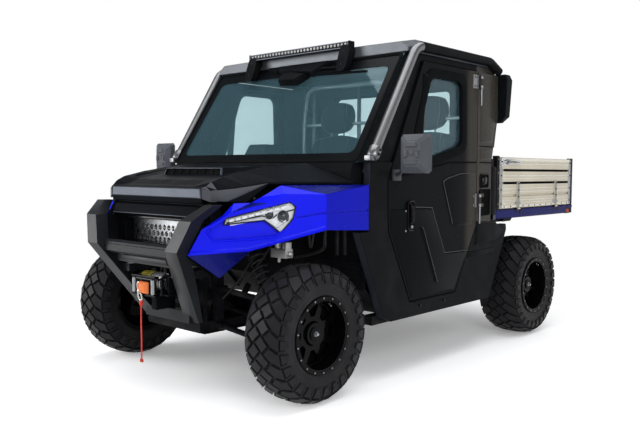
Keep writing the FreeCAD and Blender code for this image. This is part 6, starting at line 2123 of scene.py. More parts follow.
@dataclass
class Bed:
    """Blue rail, posts, floor ribs, headboard and lamps of the tipping bed."""

    half: float = 0.8
    rail: Line = (
        (0.548, 0.8285), (1.628, 0.8285), (1.646, 0.864), (1.7635, 0.864), (1.7635, 0.8862),
        (0.548, 0.8862))
    lamp: Line = rect(1.6425, 0.828, 1.701, 0.8592)
    rail_grooves: Line = ((0.552, 0.812), (0.908, 1.412), (1.508, 1.76))
    floor_z: float = 0.892
    floor_ribs: int = 15
    rib_pitch: float = 0.1
    first_rib: float = -0.7

    def build(self) -> None:
        """Build all trim of the bed."""
        for side in (1, -1):
            SideGate(side).build()
            self.rails(side)
            self.lamps(side)
        self.tailgate()
        self.floor()
        self.headboard()

    def rails(self, side: int) -> None:
        """Clad the edge rail in blue, cap its nose and bolt the corner posts.

        Args:
            side: 1 on the left, -1 on the right.
        """
        face = side_plane(self.half).on(side)
        word = WORD[side]
        shape = bmesh.new()
        panel(shape, face, self.rail, 0.0035, 0.0042)
        for near, far in self.rail_grooves:
            band(shape, face, ((near, 0.88), (far, 0.88)), 0.009, 0.003, 0.006)
        new_object(f"{word}_bed_rail", shape, FINISH.blue_rail, "bed", 25)
        nose = bmesh.new()
        panel(nose, face, ((0.518, 0.826), (0.5475, 0.822), (0.5475, 0.905), (0.53, 0.905)), 0.003,
              0.004)
        new_object(f"{word}_rail_nose", nose, FINISH.silver_trim_and_painted_highlight, "bed", 25)
        bolts = bmesh.new()
        for u in (0.577, 1.747):
            for v in (0.925, 1.03, 1.135, 1.225):
                stud(bolts, face.at(u, v), face.out, 0.0065, 0.004)
        new_object(f"{word}_post_bolts", bolts, FINISH.bolt, "bed", 30)

    def lamps(self, side: int) -> None:
        """Set the red lens in its black rim.

        Args:
            side: 1 on the left, -1 on the right.
        """
        face = side_plane(self.half).on(side)
        word = WORD[side]
        lens = bmesh.new()
        panel(lens, face, self.lamp, 0.004, 0.007)
        for index in range(5):
            u = 1.65 + index * 0.0108
            band(lens, face, ((u, 0.833), (u, 0.854)), 0.0075, 0.002, 0.0088)
        new_object(f"{word}_tail_lens", lens, FINISH.red_lamp, "bed", 25)
        rim = bmesh.new()
        frame_band(rim, face, turned_line(self.lamp, -0.004, True),
                   turned_line(self.lamp, 0.001, True), -0.001, 0.005)
        new_object(f"{word}_tail_rim", rim, FINISH.plastic_gloss, "bed", 30)

    def tailgate(self) -> None:
        """Trim the tailgate like the side gates, with a pull cut at the top."""
        face = back_plane(1.764)
        dress_gate("tailgate", face, (-0.758, 0.758, 0.896, 1.239), (-0.45, 0.45))
        pull = bmesh.new()
        outline = rounded(rect(-0.09, 1.172, 0.09, 1.218), 0.014, 4)
        frame_band(pull, face, turned_line(outline, -0.008, True), outline, -0.001, 0.006, 0.002)
        new_object("tailgate_pull_rim", pull, FINISH.plastic, "tailgate", 35)
        dish = bmesh.new()
        slab(dish, face, outline, -0.002, 0.0018)
        new_object("tailgate_pull_dish", dish, FINISH.shadow_gap, "tailgate")
        lever = bmesh.new()
        tube(lever, [face.at(u, v, w) for u, v, w in (
                         (-0.066, 1.204, 0.001), (-0.058, 1.2, 0.01), (0.058, 1.2, 0.01),
                         (0.066, 1.204, 0.001))], 0.008, 12, 0.008)
        new_object("tailgate_pull_lever", lever, FINISH.plastic_gloss, "tailgate", 45)

    def floor(self) -> None:
        """Roll stiffening ribs along the bed's floor."""
        face = top_plane(self.floor_z)
        shape = bmesh.new()
        for index in range(self.floor_ribs):
            x = self.first_rib + index * self.rib_pitch
            band(shape, face, ((x, 0.56), (x, 1.69)), 0.044, 0.024, 0.005)
        new_object("bed_floor_ribs", shape, FINISH.bed, "bed", 25)

    def headboard(self) -> None:
        """Frame and rib the board behind the cab, on the bed's side."""
        face = back_plane(0.515)
        shape = bmesh.new()
        for v in (0.985, 1.085, 1.185):
            band(shape, face, ((-0.715, v), (0.715, v)), 0.05, 0.03, 0.012)
        for u in (-0.735, 0.735):
            band(shape, face, ((u, 0.9), (u, 1.215)), 0.04, 0.026, 0.014)
        new_object("headboard_ribs", shape, FINISH.bed, "bed", 25)


# ---------------------------------------------------------------- cab skin
@dataclass
class CabSkin:
    """Pressings, latch box, roof ribs, cowl facets and pillar feet of the cab."""

    side_x: float = 0.82

    def build(self) -> None:
        """Build all trim of the cab's skin."""
        for side in (1, -1):
            self.corner(side)
            self.latch_box(side)
            self.sill(side)
            self.pillar_foot(side)
        self.roof()
        self.rear_wall()

    def corner(self, side: int) -> None:
        """Score and fold the rear corner panel.

        Args:
            side: 1 on the left, -1 on the right.
        """
        face = side_plane(self.side_x).on(side)
        word = WORD[side]
        grooves = bmesh.new()
        for line in (
                ((0.292, 1.3025), (0.462, 1.3015)), ((0.292, 1.201), (0.44, 1.2)),
                ((0.474, 1.2995), (0.5, 1.432))):
            band(grooves, face, line, 0.007, 0.005, 0.001)
        new_object(f"{word}_corner_grooves", grooves, FINISH.shadow_gap, "chassis")
        folds = bmesh.new()
        panel(folds, face,
              ((0.296, 1.325), (0.452, 1.325), (0.492, 1.48), (0.486, 1.74), (0.296, 1.74)), 0.016,
              0.005)
        panel(folds, face, ((0.296, 1.218), (0.44, 1.218), (0.455, 1.288), (0.296, 1.288)), 0.01,
              0.004)
        band(folds, face, ((0.296, 1.193), (0.44, 1.1925)), 0.006, 0.002, 0.002)
        new_object(f"{word}_corner_folds", folds, FINISH.shell, "chassis", 25)
        low = bmesh.new()
        panel(low, face, ((0.452, 0.862), (0.512, 0.858), (0.512, 1.17), (0.452, 1.18)), 0.006,
              0.004)
        new_object(f"{word}_corner_low", low, FINISH.plastic, "chassis", 25)

    def latch_box(self, side: int) -> None:
        """Let the latch box and the hinge's dark pocket into the corner panel.

        Args:
            side: 1 on the left, -1 on the right.
        """
        face = side_plane(self.side_x).on(side)
        word = WORD[side]
        dark = bmesh.new()
        outline = rounded(
            ((0.306, 1.04), (0.404, 1.044), (0.404, 1.124), (0.306, 1.124)), 0.016, 4)
        slab(dark, face, outline, -0.002, 0.0012)
        pocket = ((0.294, 0.858), (0.43, 0.862), (0.44, 1.03), (0.296, 1.03))
        slab(dark, face, pocket, -0.002, 0.001)
        new_object(f"{word}_latch_pocket", dark, FINISH.shadow_gap, "chassis")
        rim = bmesh.new()
        frame_band(rim, face, turned_line(outline, -0.006, True), outline, -0.001, 0.004, 0.002)
        knob = rounded(((0.33, 1.052), (0.382, 1.056), (0.388, 1.112), (0.336, 1.116)), 0.022, 6)
        panel(rim, face, knob, 0.008, 0.01)
        band(rim, face, ((0.306, 0.87), (0.306, 1.02)), 0.012, 0.006, 0.01)
        band(rim, face, ((0.43, 0.87), (0.436, 1.022)), 0.016, 0.008, 0.008)
        new_object(f"{word}_latch_knob", rim, FINISH.plastic_gloss, "chassis", 35)

    def sill(self, side: int) -> None:
        """Step the quarter panel behind the door and clip the sill below it.

        Args:
            side: 1 on the left, -1 on the right.
        """
        face = side_plane(self.side_x).on(side)
        word = WORD[side]
        shape = bmesh.new()
        panel(shape, face, ((0.165, 0.6), (0.5, 0.606), (0.5, 0.648), (0.176, 0.642)), 0.006,
              0.004)
        panel(shape, face, (
                  (0.252, 0.672), (0.5, 0.676), (0.56, 0.7), (0.628, 0.752), (0.548, 0.79),
                  (0.512, 0.816), (0.262, 0.83)), 0.012, 0.008)
        band(shape, face, ((-0.4, 0.398), (0.02, 0.398)), 0.018, 0.008, 0.004)
        new_object(f"{word}_quarter_step", shape, FINISH.plastic, "chassis", 25)
        clips = bmesh.new()
        for u, v in ((0.475, 0.7), (0.3, 0.7), (0.3, 0.8), (-0.35, 0.372), (-0.1, 0.372)):
            stud(clips, face.at(u, v, 0.003), face.out, 0.008, 0.004, 14)
        new_object(f"{word}_sill_clips", clips, FINISH.plastic_gloss, "chassis", 35)

    def pillar_foot(self, side: int) -> None:
        """Clamp the windscreen pillar's foot, and facet the cowl beside it.

        Args:
            side: 1 on the left, -1 on the right.
        """
        word = WORD[side]
        shape = bmesh.new()
        way = (Vector((0, -0.427, 1.838)) - Vector((0, -0.817, 1.215))).normalized()
        foot = Vector((side * 0.832, -0.817, 1.215))
        spun(shape, ((-0.004, 0.03), (0.002, 0.0335), (0.052, 0.0335), (0.058, 0.03)), foot, way,
             28)
        block(shape, (side * 0.832 - 0.02, -0.862, 1.196), (side * 0.832 + 0.02, -0.826, 1.222),
              0.004)
        new_object(f"{word}_pillar_clamp", shape, FINISH.silver, "chassis", 35)
        bolts = bmesh.new()
        for rise in (0.016, 0.042):
            stud(bolts, foot + way * rise + Vector((side * 0.0325, 0, 0)), Vector((side, 0, 0)),
                 0.0075, 0.006)
        new_object(f"{word}_pillar_bolts", bolts, FINISH.dark_steel, "chassis", 30)
        facet = bmesh.new()
        outline = ((0.64, 1.166), (0.7, 1.078), (0.748, 1.088), (0.748, 1.172))
        panel(facet, front_plane(-0.862), mirrored(outline, side), 0.006, 0.01)
        new_object(f"{word}_cowl_facet", facet, FINISH.silver_trim_and_painted_highlight, "chassis", 25)

    def roof(self) -> None:
        """Raise the roof's ribs, run its gutters, cover its side tubes and give the rockers' front
        faces a painted highlight.
        """
        shape = bmesh.new()
        for x in (-0.46, -0.23, 0.0, 0.23, 0.46):
            wide = 0.07
            ring = []
            for y, lift in ((-0.3, 0.0), (-0.27, 0.007), (0.34, 0.007), (0.38, 0.0)):
                ring.append(
                    [Vector((x + u, y, 1.8995 + v * lift)) for u, v in (
                         (-wide, -1.0), (-wide * 0.6, 1.0), (wide * 0.6, 1.0), (wide, -1.0))])
            loft(shape, ring)
        new_object("roof_ribs", shape, FINISH.roof, "chassis", 30)
        gutter, cover = bmesh.new(), bmesh.new()
        for side in (-1, 1):
            tube(gutter, ((side * 0.8, -0.44, 1.812), (side * 0.803, 0.02, 1.816),
                          (side * 0.8, 0.5, 1.812)), 0.0065, 10)
            tube(cover, ((side * 0.832, -0.385, 1.8385), (side * 0.832, 0.38, 1.8385),
                         (side * 0.832, 0.5015, 1.7872)), 0.0276, 20, 0.02)
        new_object("roof_side_covers", cover, FINISH.plastic, "chassis", 40)
        new_object("roof_gutters", gutter, FINISH.silver_trim_and_painted_highlight, "chassis", 40)
        # The rockers' forward faces get a lighter grey skin: a painted highlight.
        skin("rocker_front_painted_highlights", "rocker_panels", FINISH.rocker_front_painted_highlight, "chassis",
             lambda n, p: n.y < -0.4 and abs(p.x) > 0.7 and p.y < -0.6)

    def rear_wall(self) -> None:
        """Seal the rear pane and fold the wall below it."""
        face = back_plane(0.454)
        outer = rect(-0.528, 1.262, 0.528, 1.708)
        seal = bmesh.new()
        frame_band(seal, face, rounded(outer, 0.05, 5),
                   rounded(turned_line(outer, 0.026, True), 0.04, 5), -0.012, 0.006, 0.003)
        new_object("rear_pane_seal", seal, FINISH.seal, "chassis", 40)
        folds = bmesh.new()
        for u in (-0.62, 0.62):
            band(folds, face, ((u, 0.86), (u, 1.76)), 0.07, 0.044, 0.01)
        for v in (1.225, 1.755):
            band(folds, face, ((-0.56, v), (0.56, v)), 0.03, 0.016, 0.008)
        new_object("rear_wall_folds", folds, FINISH.shell, "chassis", 25)


# ---------------------------------------------------------------- inside
@dataclass
class Pad:
    """One stuffed pad: crowned over both faces, drawn in at its sewn channels.

    Args:
        face: Plane through its middle; out looks at the sitter.
        half: Half width and half height.
        thick: Thickness at the crown.
        bolster: Extra height of its two side bolsters.
        insert: Share of the half width that the cloth centre takes; 0 for none.
        channels: Places of the cross channels, as shares of the half height.
        squareness: 0 for a boxy outline, 1 for a round one.
    """

    face: Plane
    half: tuple[float, float]
    thick: float
    bolster: float = 0.0
    insert: float = 0.6
    channels: tuple[float, ...] = ()
    squareness: float = 0.35
    cells: int = 44
    seam_depth: float = 0.01
    seam_width: float = 0.006
    channel_size: float = 0.007

    def spot(self, s: float, t: float) -> tuple[float, float, float]:
        """Return place and fullness of a point of the outline's square.

        Args:
            s, t: Shares of the half width and half height, from -1 to 1.

        Returns:
            The two coordinates on the face, and the fullness from 0 at the edge to 1.
        """
        k = self.squareness
        return (s * math.sqrt(1 - k * t * t / 2) * self.half[0],
                t * math.sqrt(1 - k * s * s / 2) * self.half[1],
                ((1 - abs(s) ** 5) * (1 - abs(t) ** 5)) ** 0.42)

    def top(self, s: float, t: float) -> Vector:
        """Return a point of the crowned front; s and t run from -1 to 1.

        Args:
            s, t: Shares of the half width and half height, from -1 to 1.

        Returns:
            The point.
        """
        half_u, half_v = self.half
        u, v, edge = self.spot(s, t)
        height = self.thick * 0.6 * edge * (1 + 0.1 * (1 - s * s) * (1 - t * t))
        rise = max(0.0, (abs(s) - self.insert) / (1 - self.insert)) if self.insert else 0.0
        height += self.bolster * math.sin(math.pi * min(rise, 1.0) * 0.85) * edge
        if self.insert:
            off = (abs(s) - self.insert) * half_u / self.seam_width
            height -= self.seam_depth * edge * math.exp(-off ** 2)
            if abs(s) < self.insert:
                for place in self.channels:
                    off = (t - place) * half_v / self.channel_size
                    height -= self.channel_size * math.exp(-off ** 2)
        return self.face.at(u, v, height)

    def back(self, s: float, t: float) -> Vector:
        """Return a point of the flatter back.

        Args:
            s, t: Shares of the half width and half height, from -1 to 1.

        Returns:
            The point.
        """
        u, v, edge = self.spot(s, t)
        return self.face.at(u, v, -self.thick * 0.4 * edge)

    def build(self, name: str) -> bpy.types.Object:
        """Build the pad with its cloth centre.

        Args:
            name: Name of the piece.

        Returns:
            The new piece.
        """
        shape = bmesh.new()
        count = self.cells
        for side in (self.top, self.back):
            rows = [[shape.verts.new(side(-1 + 2 * i / count, -1 + 2 * j / count))
                     for i in range(count + 1)] for j in range(count + 1)]
            for low, high in zip(rows, rows[1:]):
                for i in range(count):
                    shape.faces.new((low[i], low[i + 1], high[i + 1], high[i]))
        bmesh.ops.remove_doubles(shape, verts=shape.verts, dist=0.0003)
        made = new_object(name, shape, FINISH.seat, "chassis", 60)
        made.data.materials.append(FINISH.seat_cloth.material())
        for polygon in made.data.polygons:
            way = polygon.center - self.face.origin
            if self.insert and way.dot(self.face.out) > 0 and abs(
                    way.dot(self.face.across)) < self.insert * self.half[0] * 0.96:
                polygon.material_index = 1
        return made

    def seams(self, shape: bmesh.types.BMesh) -> None:
        """Run the welt round the edge and the piping beside the cloth centre.

        Args:
            shape: Mesh that takes the faces.
        """
        count = 60
        edge = [(-1, -1), (1, -1), (1, 1), (-1, 1)]
        line = []
        for (s0, t0), (s1, t1) in zip(edge, edge[1:] + edge[:1]):
            line += [self.back(s0 + (s1 - s0) * k / count, t0 + (t1 - t0) * k / count)
                     for k in range(count)]
        tube(shape, line + line[:1], 0.0042, 8)
        if self.insert:
            for sign in (-1, 1):
                run = [self.top(sign * self.insert, -0.985 + 1.97 * k / count) + self.face.out
                       * 0.0015 for k in range(count + 1)]
                tube(shape, run, 0.0034, 8)


@dataclass
class Seat:
    """One bucket seat with head rest, posts, shell and belt.

    Args:
        side: 1 for the driver's on the left, -1 for the passenger's.
    """

    side: int
    centre_x: float = 0.4

    def build(self) -> None:
        """Build the pads, their seams, the shell behind them and the belt."""
        word = "driver" if self.side > 0 else "passenger"
        x = self.side * self.centre_x
        across, lean = Vector((1, 0, 0)), Vector((0, 0.105, 0.9945))
        flat = Plane(
            Vector((x, 0.052, 0.684)), across, Vector((0, 0.995, -0.1)), Vector((0, 0.1, 0.995)))
        upright = Plane(Vector((x, 0.2936, 1.034)), across, lean, Vector((0, -0.9945, 0.105)))
        rest = Plane(Vector((x, 0.3405, 1.533)), across, lean, Vector((0, -0.9945, 0.105)))
        pads = {"cushion": Pad(flat, (0.242, 0.214), 0.112, 0.016, 0.6, (-0.5, -0.1, 0.3)),
                "back": Pad(
                    upright, (0.238, 0.372), 0.098, 0.02, 0.58, (-0.55, -0.22, 0.11, 0.44)),
                "head_rest": Pad(rest, (0.16, 0.113), 0.084, 0.0, 0.72, (), 0.8, 30)}
        seams = bmesh.new()
        for name, pad in pads.items():
            made = pad.build(f"{word}_seat_{name}")
            pad.seams(seams)
            if self.side > 0 and name == "cushion":
                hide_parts("seats")
        new_object(f"{word}_seat_seams", seams, FINISH.thread, "chassis", 60)
        posts = bmesh.new()
        for reach in (-0.06, 0.06):
            tube(posts, ((x + reach, 0.331, 1.385), (x + reach, 0.341, 1.45)), 0.0065, 14)
        new_object(f"{word}_seat_posts", posts, FINISH.steel, "chassis", 50)
        shell = bmesh.new()
        back = Plane(upright.origin, -across, lean, -upright.out)
        panel(shell, back.lifted(0.036),
              rounded(((-0.215, -0.372), (0.215, -0.372), (0.2, 0.347), (-0.2, 0.347)), 0.06, 6),
              0.02, 0.014, 0.02)
        block(shell, (x - 0.215, -0.13, 0.6245), (x + 0.215, 0.262, 0.646), 0.008)
        new_object(f"{word}_seat_shell", shell, FINISH.plastic, "chassis", 35)
        self.belt(word)

    def belt(self, word: str) -> None:
        """Run the flat belt from the pillar to the floor, with buckle and guide.

        Args:
            word: "driver" or "passenger".
        """
        s = self.side
        belt = bmesh.new()
        guide, floor = Vector((s * 0.7, 0.372, 1.56)), Vector((s * 0.69, 0.3, 0.7))
        rings = []
        for k in range(13):
            t = k / 12
            middle = guide.lerp(floor, t) + Vector((s * 0.004 * math.sin(t * 9), 0, 0))
            rings.append(
                [middle + Vector((dx, dy, 0)) for dx, dy in rect(-0.001, -0.024, 0.001, 0.024)])
        loft(belt, rings)
        new_object(f"{word}_belt", belt, FINISH.seat_cloth, "chassis", 30)
        fittings = bmesh.new()
        block(fittings, (s * 0.7 - 0.012, 0.338, 1.548), (s * 0.7 + 0.012, 0.406, 1.59), 0.006)
        block(fittings, (s * 0.105 - 0.014, 0.12, 0.72), (s * 0.105 + 0.014, 0.15, 0.83), 0.006)
        new_object(f"{word}_belt_fittings", fittings, FINISH.plastic, "chassis", 35)


@dataclass
class Cockpit:
    """Steering wheel trim, dash pods, panes, vents and inner tubes."""

    wheel: Point = (0.37, -0.37, 1.01)
    lean: float = math.radians(35)
    ring: float = 0.18

    def build(self) -> None:
        """Build all that shows of the inside around the dash."""
        self.steering()
        self.dash()
        self.hoop()

    def steering(self) -> None:
        """Wrap the rim, clad the spokes and cap the hub."""
        way = Vector((0, math.cos(self.lean), math.sin(self.lean)))
        up = Vector((0, -math.sin(self.lean), math.cos(self.lean)))
        face = Plane(Vector(self.wheel), Vector((-1, 0, 0)), up, way)
        grip = bmesh.new()
        for start, end in ((20, 74), (106, 160), (200, 340)):
            line = [face.at(self.ring * math.cos(math.radians(a)),
                            self.ring * math.sin(math.radians(a)))
                    for a in range(start, end + 1, 3)]
            tube(grip, line, 0.0155, 14)
        new_object("steering_grips", grip, FINISH.seat, "steering_wheel", 60)
        hub = bmesh.new()
        cap = rounded(
            ((-0.06, -0.052), (0.06, -0.052), (0.072, 0.03), (0.04, 0.056), (-0.04, 0.056),
             (-0.072, 0.03)), 0.02, 5)
        panel(hub, face, cap, 0.012, 0.018)
        for angle in (0, 180, 270):
            turn = math.radians(angle)
            near, far = 0.055, self.ring - 0.012
            band(hub, face, (
                     (near * math.cos(turn), near * math.sin(turn)),
                     (far * math.cos(turn), far * math.sin(turn))), 0.04, 0.026, 0.008, sunk=0.014)
        new_object("steering_hub_cap", hub, FINISH.plastic, "steering_wheel", 35)
        trim = bmesh.new()
        for sign in (-1, 1):
            band(trim, face, ((sign * 0.078, -0.014), (sign * 0.136, -0.01)), 0.012, 0.006, 0.012)
        new_object("steering_spoke_trim", trim, FINISH.silver_trim_and_painted_highlight, "steering_wheel", 35)

    def dash(self) -> None:
        """Stand the pods on the dash, and let panes, vents and handles into it."""
        pod = bmesh.new()
        loft(pod, [[Vector((x, y, z)) for x, y in rect(low, -0.772, high, -0.61)]
                   for low, high, z in (
                       (-0.235, -0.015, 1.12), (-0.225, -0.02, 1.215), (-0.165, -0.024, 1.292),
                       (-0.15, -0.03, 1.3))])
        rings = []
        for y, wide, z in ((-0.7, 0.15, 1.19), (-0.64, 0.165, 1.212), (-0.56, 0.165, 1.205)):
            rings.append(
                [Vector((0.37 + wide * math.cos(a), y,
                         1.09 + (z - 1.09) * max(0.0, math.sin(a)) - 0.02 * (math.sin(a) < 0)))
                 for a in angles(28)])
        loft(pod, rings)
        new_object("dash_pods", pod, FINISH.plastic, "chassis", 30)
        way = Vector((0, 0.832, 0.555))
        back = Plane(
            Vector((0, -0.54, 1.092)), Vector((-1, 0, 0)), Vector((0, -0.555, 0.832)), way)
        panes, rims = bmesh.new(), bmesh.new()
        for u, wide, high in ((-0.37, 0.11, 0.03), (0.12, 0.115, 0.03)):
            outline = rounded(rect(u - wide, -high, u + wide, high), 0.012, 4)
            panel(panes, back, outline, 0.002, 0.006)
            frame_band(rims, back, turned_line(outline, -0.01, True), outline, -0.004, 0.008,
                       0.002)
        new_object("dash_panes", panes, FINISH.screen, "chassis", 30)
        lower = Plane(
            Vector((0, -0.54, 0.96)), Vector((-1, 0, 0)), Vector((0, 0.196, 0.981)),
            Vector((0, 0.981, -0.196)))
        for u in (-0.64, -0.12, 0.64):
            frame_band(rims, lower, rounded(rect(u - 0.055, 0.0, u + 0.055, 0.06), 0.01, 3),
                       rounded(rect(u - 0.045, 0.01, u + 0.045, 0.05), 0.008, 3), -0.004, 0.006,
                       0.002)
            for v in (0.02, 0.03, 0.04):
                band(rims, lower, ((u - 0.046, v), (u + 0.046, v)), 0.005, 0.003, 0.004)
        band(rims, lower, ((0.18, 0.075), (0.18, -0.06), (0.56, -0.06), (0.56, 0.075)), 0.006,
             0.003, 0.003, closed=True)
        tube(rims, [lower.at(u, v, w) for u, v, w in (
                        (0.24, 0.088, 0.0), (0.25, 0.088, 0.035), (0.49, 0.088, 0.035),
                        (0.5, 0.088, 0.0))], 0.011, 12, 0.03)
        new_object("dash_rims", rims, FINISH.plastic_gloss, "chassis", 35)

    def hoop(self) -> None:
        """Run the bright inner hoop behind the seats, with its cross tube."""
        shape = bmesh.new()
        tube(shape, ((-0.742, 0.33, 0.66), (-0.742, 0.33, 1.5), (-0.7, 0.33, 1.772),
                     (0.7, 0.33, 1.772), (0.742, 0.33, 1.5), (0.742, 0.33, 0.66)), 0.017, 16, 0.1)
        tube(shape, ((-0.738, 0.336, 1.49), (0.738, 0.336, 1.49)), 0.012, 14)
        new_object("inner_hoop", shape, FINISH.alloy_tube, "chassis", 50)


# ---------------------------------------------------------------- running gear
@dataclass
class CoilOver:
    """One damper with its wound spring and the spring's seats.

    Args:
        end: "front" or "rear".
        side: 1 on the left, -1 on the right.
    """

    end: str
    side: int
    foot: tuple[float, float] = (0.47, 0.4977)
    turns: float = 7.5
    steps: int = 20
    coil_radius: float = 0.0395
    wire_radius: float = 0.0058

    def build(self) -> bpy.types.Object:
        """Build the damper and its spring.

        Returns:
            The damper.
        """
        axle, top = (-1.21, 0.83) if self.end == "front" else (1.005, 0.715)
        word = f"{self.end}_{WORD[self.side]}"
        low = Vector((self.side * self.foot[0], axle, self.foot[1]))
        high = Vector((self.side * 0.3, axle, top))
        run = high - low
        way = run.normalized()
        length = run.length
        body = bmesh.new()
        spun(body, ((0.016, 0.0), (0.018, 0.024), (0.02, 0.0255), (length * 0.4, 0.0255),
                    (length * 0.4 + 0.004, 0.02), (length * 0.4 + 0.004, 0.0095),
                    (length - 0.018, 0.0095), (length - 0.018, 0.0)), low, way, 28)
        for along, size in ((0.044, 0.047), (length - 0.052, 0.045)):
            spun(body, ((along - 0.005, size * 0.5), (along - 0.005, size), (along, size + 0.002),
                        (along + 0.004, size), (along + 0.004, size * 0.5)), low, way, 28)
        for centre in (low, high):
            spun(body, ((-0.015, 0.0125), (-0.015, 0.02), (0.015, 0.02), (0.015, 0.0125)), centre,
                 Vector((0, 1, 0)), 24)
        made = new_object(f"{word}_damper", body, FINISH.dark_steel, "chassis", 40)
        spring = bmesh.new()
        side = way.orthogonal().normalized()
        over = way.cross(side)
        first, last = 0.052, length - 0.06
        line = []
        for k in range(int(self.turns * self.steps) + 1):
            t = 2 * math.pi * k / self.steps
            along = first + (last - first) * k / (self.turns * self.steps)
            line.append(
                low + way * along + (side * math.cos(t) + over * math.sin(t)) * self.coil_radius)
        tube(spring, line, self.wire_radius, 8)
        new_object(f"{word}_spring", spring, FINISH.spring, "chassis", 60)
        return made


@dataclass
class RunningGear:
    """Springs, calipers, hoses, liner ribs and engine fins under the body."""

    def build(self) -> None:
        """Build what shows of the running gear."""
        made = [CoilOver(end, side).build() for end in ("front", "rear") for side in (1, -1)]
        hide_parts("shock_absorbers")
        for side in (1, -1):
            self.pump(side)
            self.hoses(side)
            self.caliper(side)
            self.liner(side)
        self.engine()

    def pump(self, side: int) -> None:
        """Bolt the bright valve body to the tower over the upper arm.

        Args:
            side: 1 on the left, -1 on the right.
        """
        shape = bmesh.new()
        x = side * 0.52
        block(shape, (x - 0.048, -1.205, 0.694), (x + 0.062, -1.15, 0.742), 0.006)
        block(shape, (x + 0.03, -1.2, 0.74), (x + 0.06, -1.158, 0.776), 0.005)
        spun(shape, ((0.0, 0.018), (0.03, 0.018), (0.034, 0.012), (0.034, 0.0)),
             Vector((x - 0.02, -1.178, 0.74)), Vector((0, 0, 1)), 20)
        spun(shape, ((0.0, 0.014), (0.036, 0.014), (0.04, 0.008), (0.04, 0.0)),
             Vector((x + side * 0.04, -1.178, 0.716)), Vector((side, 0, 0)), 18)
        spun(shape, ((0.0, 0.008), (0.024, 0.008), (0.026, 0.0)),
             Vector((x - 0.01, -1.178, 0.694)), Vector((0, 0, -1)), 14)
        word = WORD[side]
        new_object(f"{word}_brake_valve", shape, FINISH.alloy, "chassis", 40)
        arm = bmesh.new()
        tube(arm, ((x, -1.178, 0.72), (side * 0.42, -1.17, 0.76), (side * 0.3, -1.16, 0.8)), 0.01,
             10)
        new_object(f"{word}_valve_bracket", arm, FINISH.dark_steel, "chassis", 40)

    def hoses(self, side: int) -> None:
        """Loop the hoses between valve, tower and firewall, and stand the rods in the arch.

        Args:
            side: 1 on the left, -1 on the right.
        """
        shape = bmesh.new()
        for points, size in (
                (((0.505, -1.178, 0.77), (0.495, -1.18, 0.83), (0.545, -1.185, 0.835),
                  (0.56, -1.18, 0.775)), 0.0045), (
                    ((0.64, -1.08, 0.9), (0.636, -1.09, 0.8), (0.64, -1.08, 0.735),
                     (0.655, -1.078, 0.8), (0.658, -1.07, 0.905)), 0.007), (
                    ((0.6, -1.12, 0.915), (0.56, -1.16, 0.86), (0.47, -1.19, 0.76),
                     (0.4, -1.23, 0.64), (0.33, -1.25, 0.56)), 0.007), (
                    ((0.7, -1.02, 0.93), (0.69, -1.03, 0.8), (0.68, -1.01, 0.74),
                     (0.56, -0.98, 0.7), (0.38, -0.93, 0.66)), 0.0085), (
                    ((0.45, -1.205, 0.715), (0.38, -1.23, 0.7), (0.33, -1.3, 0.56),
                     (0.3, -1.38, 0.48)), 0.0055)):
            tube(shape, [(side * x, y, z) for x, y, z in points], size, 8, 0.05)
        word = WORD[side]
        new_object(f"{word}_hoses", shape, FINISH.rubber, "chassis", 60)
        rods = bmesh.new()
        for x, y in ((0.716, -0.96), (0.742, -0.93)):
            tube(rods, ((side * x, y, 0.905), (side * x, y, 0.705)), 0.009, 10)
        new_object(f"{word}_arch_rods", rods, FINISH.dark_steel, "chassis", 50)

    def caliper(self, side: int) -> None:
        """Close the brake caliper over the disc, on the turning knuckle.

        Args:
            side: 1 on the left, -1 on the right.
        """
        body = f"{WORD[side]}_knuckle"
        x, y, z = side * 0.574, -1.21, 0.343
        shape = bmesh.new()
        for turn in range(-2, 3):
            a = math.radians(150 + turn * 9)
            cy, cz = y + 0.098 * math.cos(a), z + 0.098 * math.sin(a)
            block(shape, (x - 0.022, cy - 0.014, cz - 0.014), (x + 0.004, cy + 0.014, cz + 0.014),
                  0.004)
        new_object(f"{body}_caliper", shape, FINISH.casting, body, 40)

    def liner(self, side: int) -> None:
        """Rib the plate behind the front wheel.

        Args:
            side: 1 on the left, -1 on the right.
        """
        shape = bmesh.new()
        face = front_plane(-0.8085)
        for v in (0.548, 0.6, 0.652):
            line = ((0.36, v), (0.768, v))
            band(shape, face, mirrored(line, side), 0.02, 0.01, 0.006)
        word = WORD[side]
        new_object(f"{word}_liner_ribs", shape, FINISH.plastic, "chassis", 30)

    def engine(self) -> None:
        """Fin the engine block."""
        shape = bmesh.new()
        for side in (-1, 1):
            face = side_plane(0.175).on(side)
            for k in range(7):
                v = 0.46 + k * 0.026
                band(shape, face, ((0.6, v), (0.86, v)), 0.01, 0.006, 0.014)
            panel(shape, face, rect(0.6, 0.33, 0.8, 0.43), 0.01, 0.012)
        new_object("engine_fins", shape, FINISH.casting, "chassis", 30)


